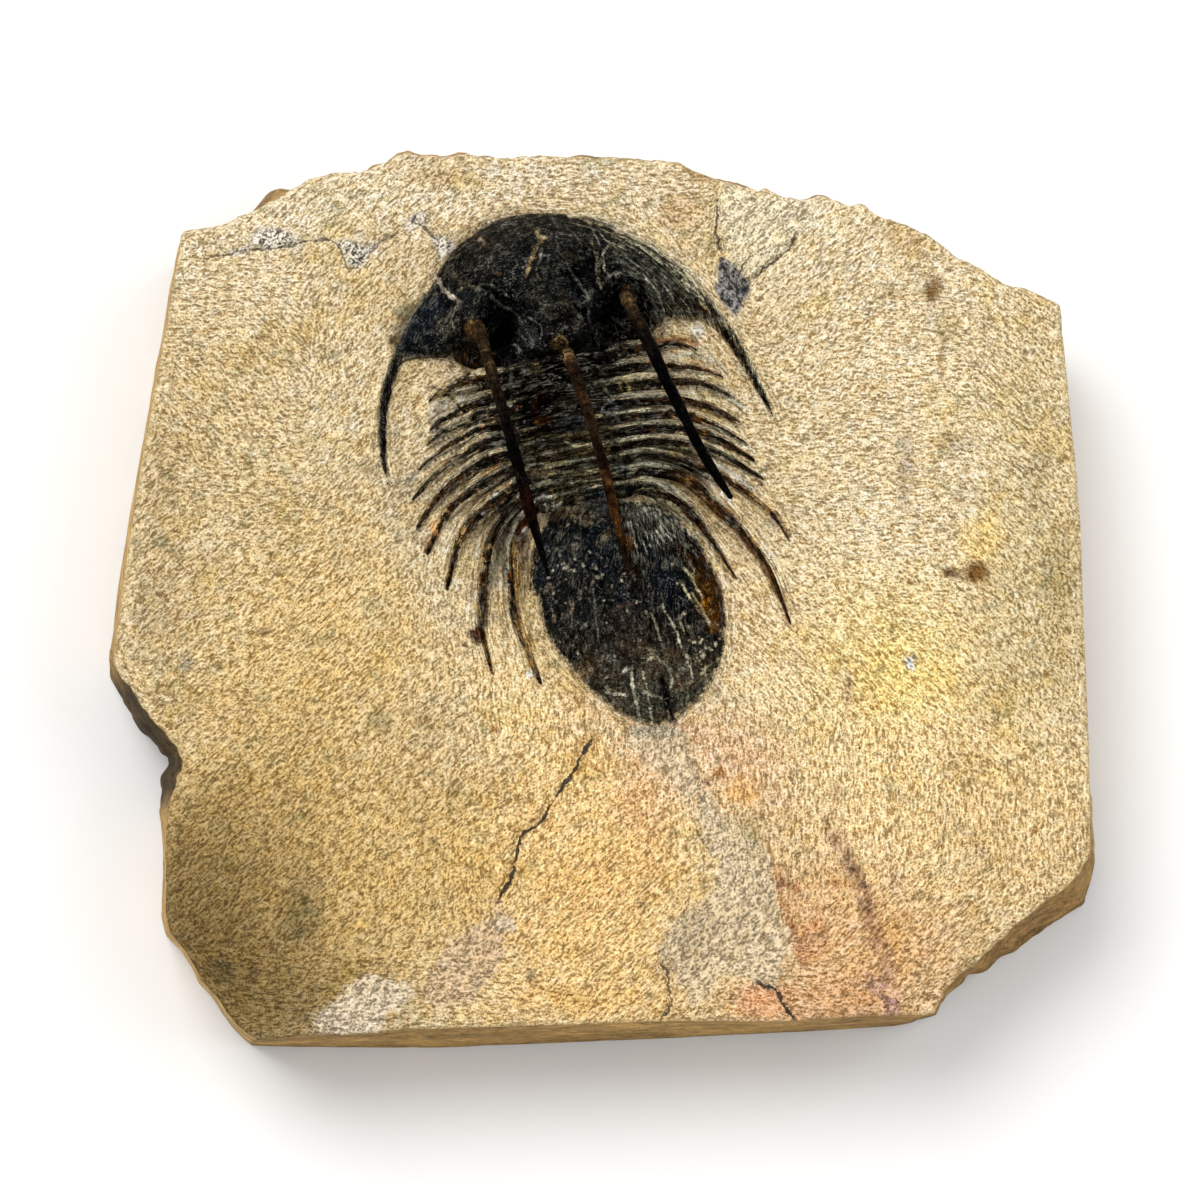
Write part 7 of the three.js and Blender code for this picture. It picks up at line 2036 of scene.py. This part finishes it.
    # filler: grey and white, mottled with dark strands; elsewhere the same figure gives short curled cracks
    clot = g.noise((0.0011, 0.0006, 0.0006), 60, (0.05, 0.9, 0), 2.0, 0.7, 0.0, wavy)
    curl = g.math("SUBTRACT", 1.0, g.ramp(g.math("ABSOLUTE", g.math("ADD", clot, -0.22)), 0.02, 0.10))
    curl = g.math("MULTIPLY", g.math("MULTIPLY", curl, g.ramp(g.math("MULTIPLY_ADD", broad, 0.8, patch), -0.05, 0.7)), keep)
    colour = g.mix(g.math("MULTIPLY", curl, 0.8), colour, g.vec("MULTIPLY", tone, (0.16, 0.12, 0.08)))
    sharp = g.ramp(filler, 0.82, 0.95)
    figure = g.ramp(g.math("MULTIPLY_ADD", grain, 0.7, g.math("MULTIPLY_ADD", marks, 0.5, clot)), -0.7, 0.7)
    figure = g.math("MULTIPLY_ADD", figure, g.math("MULTIPLY_ADD", sharp, 0.55, 1.08), g.math("MULTIPLY_ADD", sharp, -0.26, 0.30))
    grey = g.vec("MULTIPLY", tone, g.vec("SCALE", (1.0, 0.985, 0.95), scale=figure))
    colour = g.mix(g.math("MULTIPLY", filler, g.math("MULTIPLY_ADD", sharp, 0.12, 0.76)), colour, grey)
    # broken and sawn sides
    bedding = g.noise((0.009, 0.009, 0.0012), 0, (0.4, 0.4, 0.1), 3.0, 0.6)
    rubble = g.noise((0.0011, 0.0011, 0.0008), 0, (0.2, 0.6, 0.3), 2.0, 0.65)
    sv = g.math("MULTIPLY_ADD", rubble, 0.6, g.math("MULTIPLY", bedding, 0.4))
    sv = g.math("MULTIPLY_ADD", grain, 0.35, sv)
    sided = g.vec("MULTIPLY", tone, g.vec("MULTIPLY_ADD", g.vec("SCALE", (1, 1, 1), scale=g.math("MAXIMUM", sv, -0.95)), (0.8, 0.85, 0.95), (1, 1, 1)))
    colour = g.mix(side, colour, sided)
    # cracks
    cr = g.split(g.attribute("crack"))
    wob = g.math("MULTIPLY", g.noise((0.0009, 0.0009, 0.0009), 0, (0.3, 0.3, 0), 2.0, 0.75), 2.2)
    dist = g.math("ABSOLUTE", g.math("ADD", cr[0], wob))
    width = g.math("MULTIPLY", cr[2], g.math("MULTIPLY_ADD", g.noise((0.0013, 0.0013, 0.0013), 0, (0.8, 0.1, 0), 2.0, 0.6), 0.75, 0.8))
    inside = g.math("SUBTRACT", 1.0, g.ramp(dist, g.math("MULTIPLY", width, 0.6), g.math("MULTIPLY_ADD", width, 1.05, 0.15)))
    inside = g.math("MULTIPLY", inside, cr[1])
    colour = g.mix(g.math("MULTIPLY", inside, 0.94), colour, (0.02, 0.018, 0.017, 1))
    colour = g.vec("MULTIPLY", colour, (STONE_GAIN, STONE_GAIN, STONE_GAIN))
    colour = g.vec("MINIMUM", colour, (0.9, 0.88, 0.82))
    g.put(colour, g.bsdf.inputs["Base Color"])
    g.put(g.math("MULTIPLY_ADD", patch, 0.05, 0.86), g.bsdf.inputs["Roughness"])
    g.bsdf.inputs["Specular IOR Level"].default_value = 0.18
    height = g.math("MULTIPLY_ADD", marks, 0.6, g.math("MULTIPLY", grain, 0.4))
    g.put(g.bump(height, 0.00012, 1.0), g.bsdf.inputs["Normal"])
    return g.mat


def shell_material(name, sheen_colour, gain, turn, hair):
    g = Graph(name)
    tone = g.attribute("tone")
    cling = g.attribute("cling", "Fac")
    fibre = g.attribute("fibre")
    fw = g.attribute("fibre", "Alpha")
    fine = g.noise((0.00022, 0.0002, 0.0002), 0, (0.2, 0.1, 0), 1.0, 0.6)
    mid = g.noise((0.0009, 0.00065, 0.0006), turn, (0.4, 0.3, 0), 3.0, 0.7, 0.6)
    zone = g.noise((0.0030, 0.0022, 0.003), 0, (0.9, 0.5, 0), 3.0, 0.6)
    strand = g.strands(fibre, 1.9, 0.19, 1.0, 0.8)
    polish = g.attribute("polish", "Fac")
    matt = g.math("SUBTRACT", 1.0, polish)
    hairs = g.strands(fibre, 2.6, 0.62, 1.7, 1.3)
    t = g.math("MULTIPLY_ADD", fine, 1.25, g.math("MULTIPLY", mid, 1.5))
    t = g.math("MULTIPLY_ADD", zone, 1.2, t)
    t = g.math("MULTIPLY", t, g.math("MULTIPLY_ADD", polish, -0.5, 1.0))
    t = g.math("MULTIPLY_ADD", g.math("MULTIPLY", strand, fw), 2.3, t)
    rgb = g.split(tone)
    light = g.ramp(rgb[1], 0.06, 0.36)
    t = g.math("MULTIPLY", t, g.math("MULTIPLY_ADD", light, -0.5, 1.2))
    factor = g.math("POWER", 2.0, t)
    colour = g.vec("SCALE", tone, scale=factor)
    # grey mineral bloom in fine specks, thicker in some places
    frost = g.math("MULTIPLY_ADD", zone, 0.8, g.math("MULTIPLY_ADD", fine, 0.85, g.math("MULTIPLY", mid, 0.65)))
    frost = g.math("MULTIPLY", g.ramp(frost, 0.52, 1.2), matt)
    frost = g.math("MULTIPLY", frost, g.math("MULTIPLY", g.math("SUBTRACT", rgb[1], 0.0018), 170.0, clamp=True))
    warm = g.math("MULTIPLY", g.math("SUBTRACT", rgb[0], rgb[2]), 30.0)
    frost = g.math("DIVIDE", frost, g.math("ADD", g.math("MAXIMUM", warm, 0.0), 1.0))
    colour = g.mix(g.math("MULTIPLY", frost, 0.85), colour, (0.37, 0.36, 0.305, 1))
    # pale hair-fine threads
    hline = g.math("SUBTRACT", 1.0, g.ramp(g.math("ABSOLUTE", hairs), 0.03, 0.22))
    where = g.ramp(g.math("MULTIPLY_ADD", zone, -0.7, g.math("MULTIPLY", mid, 0.5)), -0.15, 0.5)
    hline = g.math("MULTIPLY", g.math("MULTIPLY", hline, where), g.math("MINIMUM", g.math("ADD", fw, 0.15), 1.0))
    hline = g.math("MULTIPLY", hline, g.math("MULTIPLY_ADD", polish, -0.85, 1.0))
    colour = g.mix(g.math("MULTIPLY", hline, hair), colour, (0.52, 0.48, 0.38, 1))
    # dark pores
    pore = g.ramp(g.noise((0.0005, 0.0004, 0.0004), 10, (0.55, 0.35, 0), 2.0, 0.6), 0.2, 0.8)
    colour = g.vec("MULTIPLY", colour, g.vec("MULTIPLY_ADD", g.vec("SCALE", (1, 1, 1), scale=pore), (-0.85, -0.85, -0.85), (1, 1, 1)))
    # a faint cool or warm cast in patches: painted sheen
    colour = g.vec("ADD", colour, g.vec("SCALE", sheen_colour, scale=g.ramp(zone, 0.05, 0.9)))
    bright = g.math("MULTIPLY_ADD", g.math("MAXIMUM", cling, g.math("MULTIPLY", light, 0.7)), 0.9 - gain, gain)
    colour = g.vec("SCALE", colour, scale=bright)
    colour = g.vec("MINIMUM", colour, (0.9, 0.88, 0.82))
    g.put(colour, g.bsdf.inputs["Base Color"])
    g.put(g.math("MULTIPLY_ADD", cling, 0.3, g.math("MULTIPLY_ADD", mid, 0.08, 0.5)), g.bsdf.inputs["Roughness"])
    g.bsdf.inputs["Specular IOR Level"].default_value = 0.008
    height = g.math("MULTIPLY_ADD", fine, 0.45, g.math("MULTIPLY", mid, 0.7))
    height = g.math("MULTIPLY_ADD", g.math("MULTIPLY", strand, fw), 0.9, height)
    g.put(g.bump(height, 0.0002, 1.0), g.bsdf.inputs["Normal"])
    return g.mat


limestone = stone_material()
black_shell = shell_material("black_shell", (0.0006, 0.001, 0.0018), SHELL_GAIN, 70, 0.7)
brown_shell = shell_material("brown_shell", (0.001, 0.0006, 0.0002), SHELL_GAIN, 20, 0.85)
tail_shell = shell_material("tail_shell", (0.0006, 0.001, 0.0018), SHELL_GAIN, 95, 0.7)


def finish_piece(obj, material, node):
    obj.data.materials.append(material)
    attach(obj, "root")
    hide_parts(node)


# =====================================================================================================
# The pieces
# =====================================================================================================
finish_piece(make_slab(), limestone, "matrix_slab")

def make_shell(name, v, f, data, material, node, slot):
    polish = data[:, 8] if data.shape[1] > 8 else np.zeros(len(data))
    obj = make_object(name, v, f, data[:, :3], {"fibre": data[:, 3:7], "cling": data[:, 7], "polish": polish})
    finish_piece(obj, material, node)


head = round_plate(CRANIDIUM_EDGE, (552, 290), 580, 140, head_height, head_base, 400,
                   lambda x, y: polar(x, y, 560, 380, 165, False, 0.3 + 1.1 * smooth(590, 650, x), 2), head_cling, HEAD_EDGE,
                   0.1, 0.0)
head = (head[0], head[1], np.pad(head[2], ((0, 0), (0, 1))))
left_spine = spine_tube(
    EYE_SPINE_LEFT,
    [(0, (104, 82, 50)), (0.1, (84, 64, 40)), (0.2, (60, 46, 29)), (0.3, (78, 60, 37)), (0.4, (48, 35, 22)), (0.5, (12, 10, 7)),
     (0.62, (7, 6, 5)), (0.72, (34, 13, 8)), (0.8, (7, 6, 5)), (1, (11, 9, 8))], 501)
right_spine = spine_tube(
    EYE_SPINE_RIGHT,
    [(0, (84, 66, 42)), (0.12, (104, 80, 50)), (0.24, (64, 46, 28)), (0.34, (28, 20, 13)), (0.44, (7, 6, 5)), (0.7, (6, 5, 5)),
     (1, (12, 11, 10))], 511)
neck_spine = spine_tube(
    NECK_SPINE,
    [(0, (150, 124, 84)), (0.1, (172, 140, 94)), (0.18, (124, 94, 58)), (0.26, (58, 36, 20)), (0.36, (50, 32, 18)),
     (0.46, (74, 52, 30)), (0.6, (32, 22, 13)), (0.7, (78, 50, 25)), (0.8, (92, 58, 27)), (0.9, (50, 32, 15)), (1, (54, 34, 17))], 521)
make_shell("cranidium_skin", *join(head, left_spine, right_spine, neck_spine), black_shell, "cranidium", "black_shell")
for side_name, trace, seed in (("left", CHEEK_LEFT, 421), ("right", CHEEK_RIGHT, 431)):
    make_shell("librigena_%s_skin" % side_name, *cheek(trace, 320, 44, seed), black_shell, "librigena_" + side_name, "black_shell")
for i in range(10):
    make_shell("thoracic_segment_%02d_skin" % (i + 1), *segment(i), brown_shell, "thoracic_segment_%02d" % (i + 1), "brown_shell")
make_shell("pygidium_skin", *round_plate(TAIL_EDGE, (630, 606), 520, 124, tail_height, tail_base, 441,
                                         lambda x, y: polar(x, y, 636, 330, 260, True, 0.45 + 1.0 * swell(x, y, 672, 540, 50, 44), 4), tail_cling, None, 0.0, 0.35),
           tail_shell, "pygidium", "tail_shell")

# =====================================================================================================
# Floor, light and camera
# =====================================================================================================
def make_floor():
    n = 48
    k = np.linspace(-1, 1, n)
    x, y = np.meshgrid(np.sign(k) * np.abs(k) ** 1.5 * 3000, np.sign(k) * np.abs(k) ** 1.5 * 3000)
    verts = np.stack([x.ravel(), y.ravel(), np.full(x.size, -0.02)], -1)
    floor = make_object("floor", verts, grid_faces(n, n, flip=True))
    g = Graph("pale_floor")
    soft = g.noise((0.4, 0.4, 0.4), 0, (0, 0, 0), 2.0, 0.5)
    g.put(g.vec("MULTIPLY_ADD", g.vec("SCALE", (1, 1, 1), scale=soft), (0.004, 0.004, 0.004), (0.9, 0.9, 0.9)),
          g.bsdf.inputs["Base Color"])
    g.bsdf.inputs["Roughness"].default_value = 0.9
    g.bsdf.inputs["Specular IOR Level"].default_value = 0.1
    floor.data.materials.append(g.mat)
    n0 = floor.data.polygons[0].normal
    if n0.z < 0:
        floor.data.flip_normals()


make_floor()

world = bpy.data.worlds.new("studio")
world.use_nodes = True
world.node_tree.nodes["Background"].inputs[0].default_value = (1.0, 1.0, 1.0, 1)
world.node_tree.nodes["Background"].inputs[1].default_value = 0.62
bpy.context.scene.world = world


def area(name, place, target, size, watts, colour=(1, 1, 1)):
    light = bpy.data.lights.new(name, "AREA")
    light.shape = "DISK"
    light.size = size
    light.energy = watts
    light.color = colour
    obj = bpy.data.objects.new(name, light)
    obj.location = place
    obj.rotation_euler = (Vector(target) - Vector(place)).to_track_quat("-Z", "Y").to_euler()
    bpy.context.scene.collection.objects.link(obj)


area("key", (-0.42, 0.45, 0.95), (0, 0, 0.01), 0.75, 8.5, (1.0, 0.985, 0.96))
area("fill", (0.75, 0.1, 0.85), (0, 0, 0.01), 0.9, 3.2, (0.97, 0.985, 1.0))

camera = bpy.data.cameras.new("camera")
camera.lens = 126
camera.sensor_width = 36
camera.clip_start = 0.01
camera.clip_end = 20
camera_object = bpy.data.objects.new("camera", camera)
turn = Matrix((RIGHT, UP, -FORWARD)).transposed().to_4x4()
camera_object.matrix_world = Matrix.Translation(Vector((EYE - ORIGIN) / 1000)) @ turn
bpy.context.scene.collection.objects.link(camera_object)
bpy.context.scene.camera = camera_object
bpy.context.scene.view_settings.view_transform = "Standard"
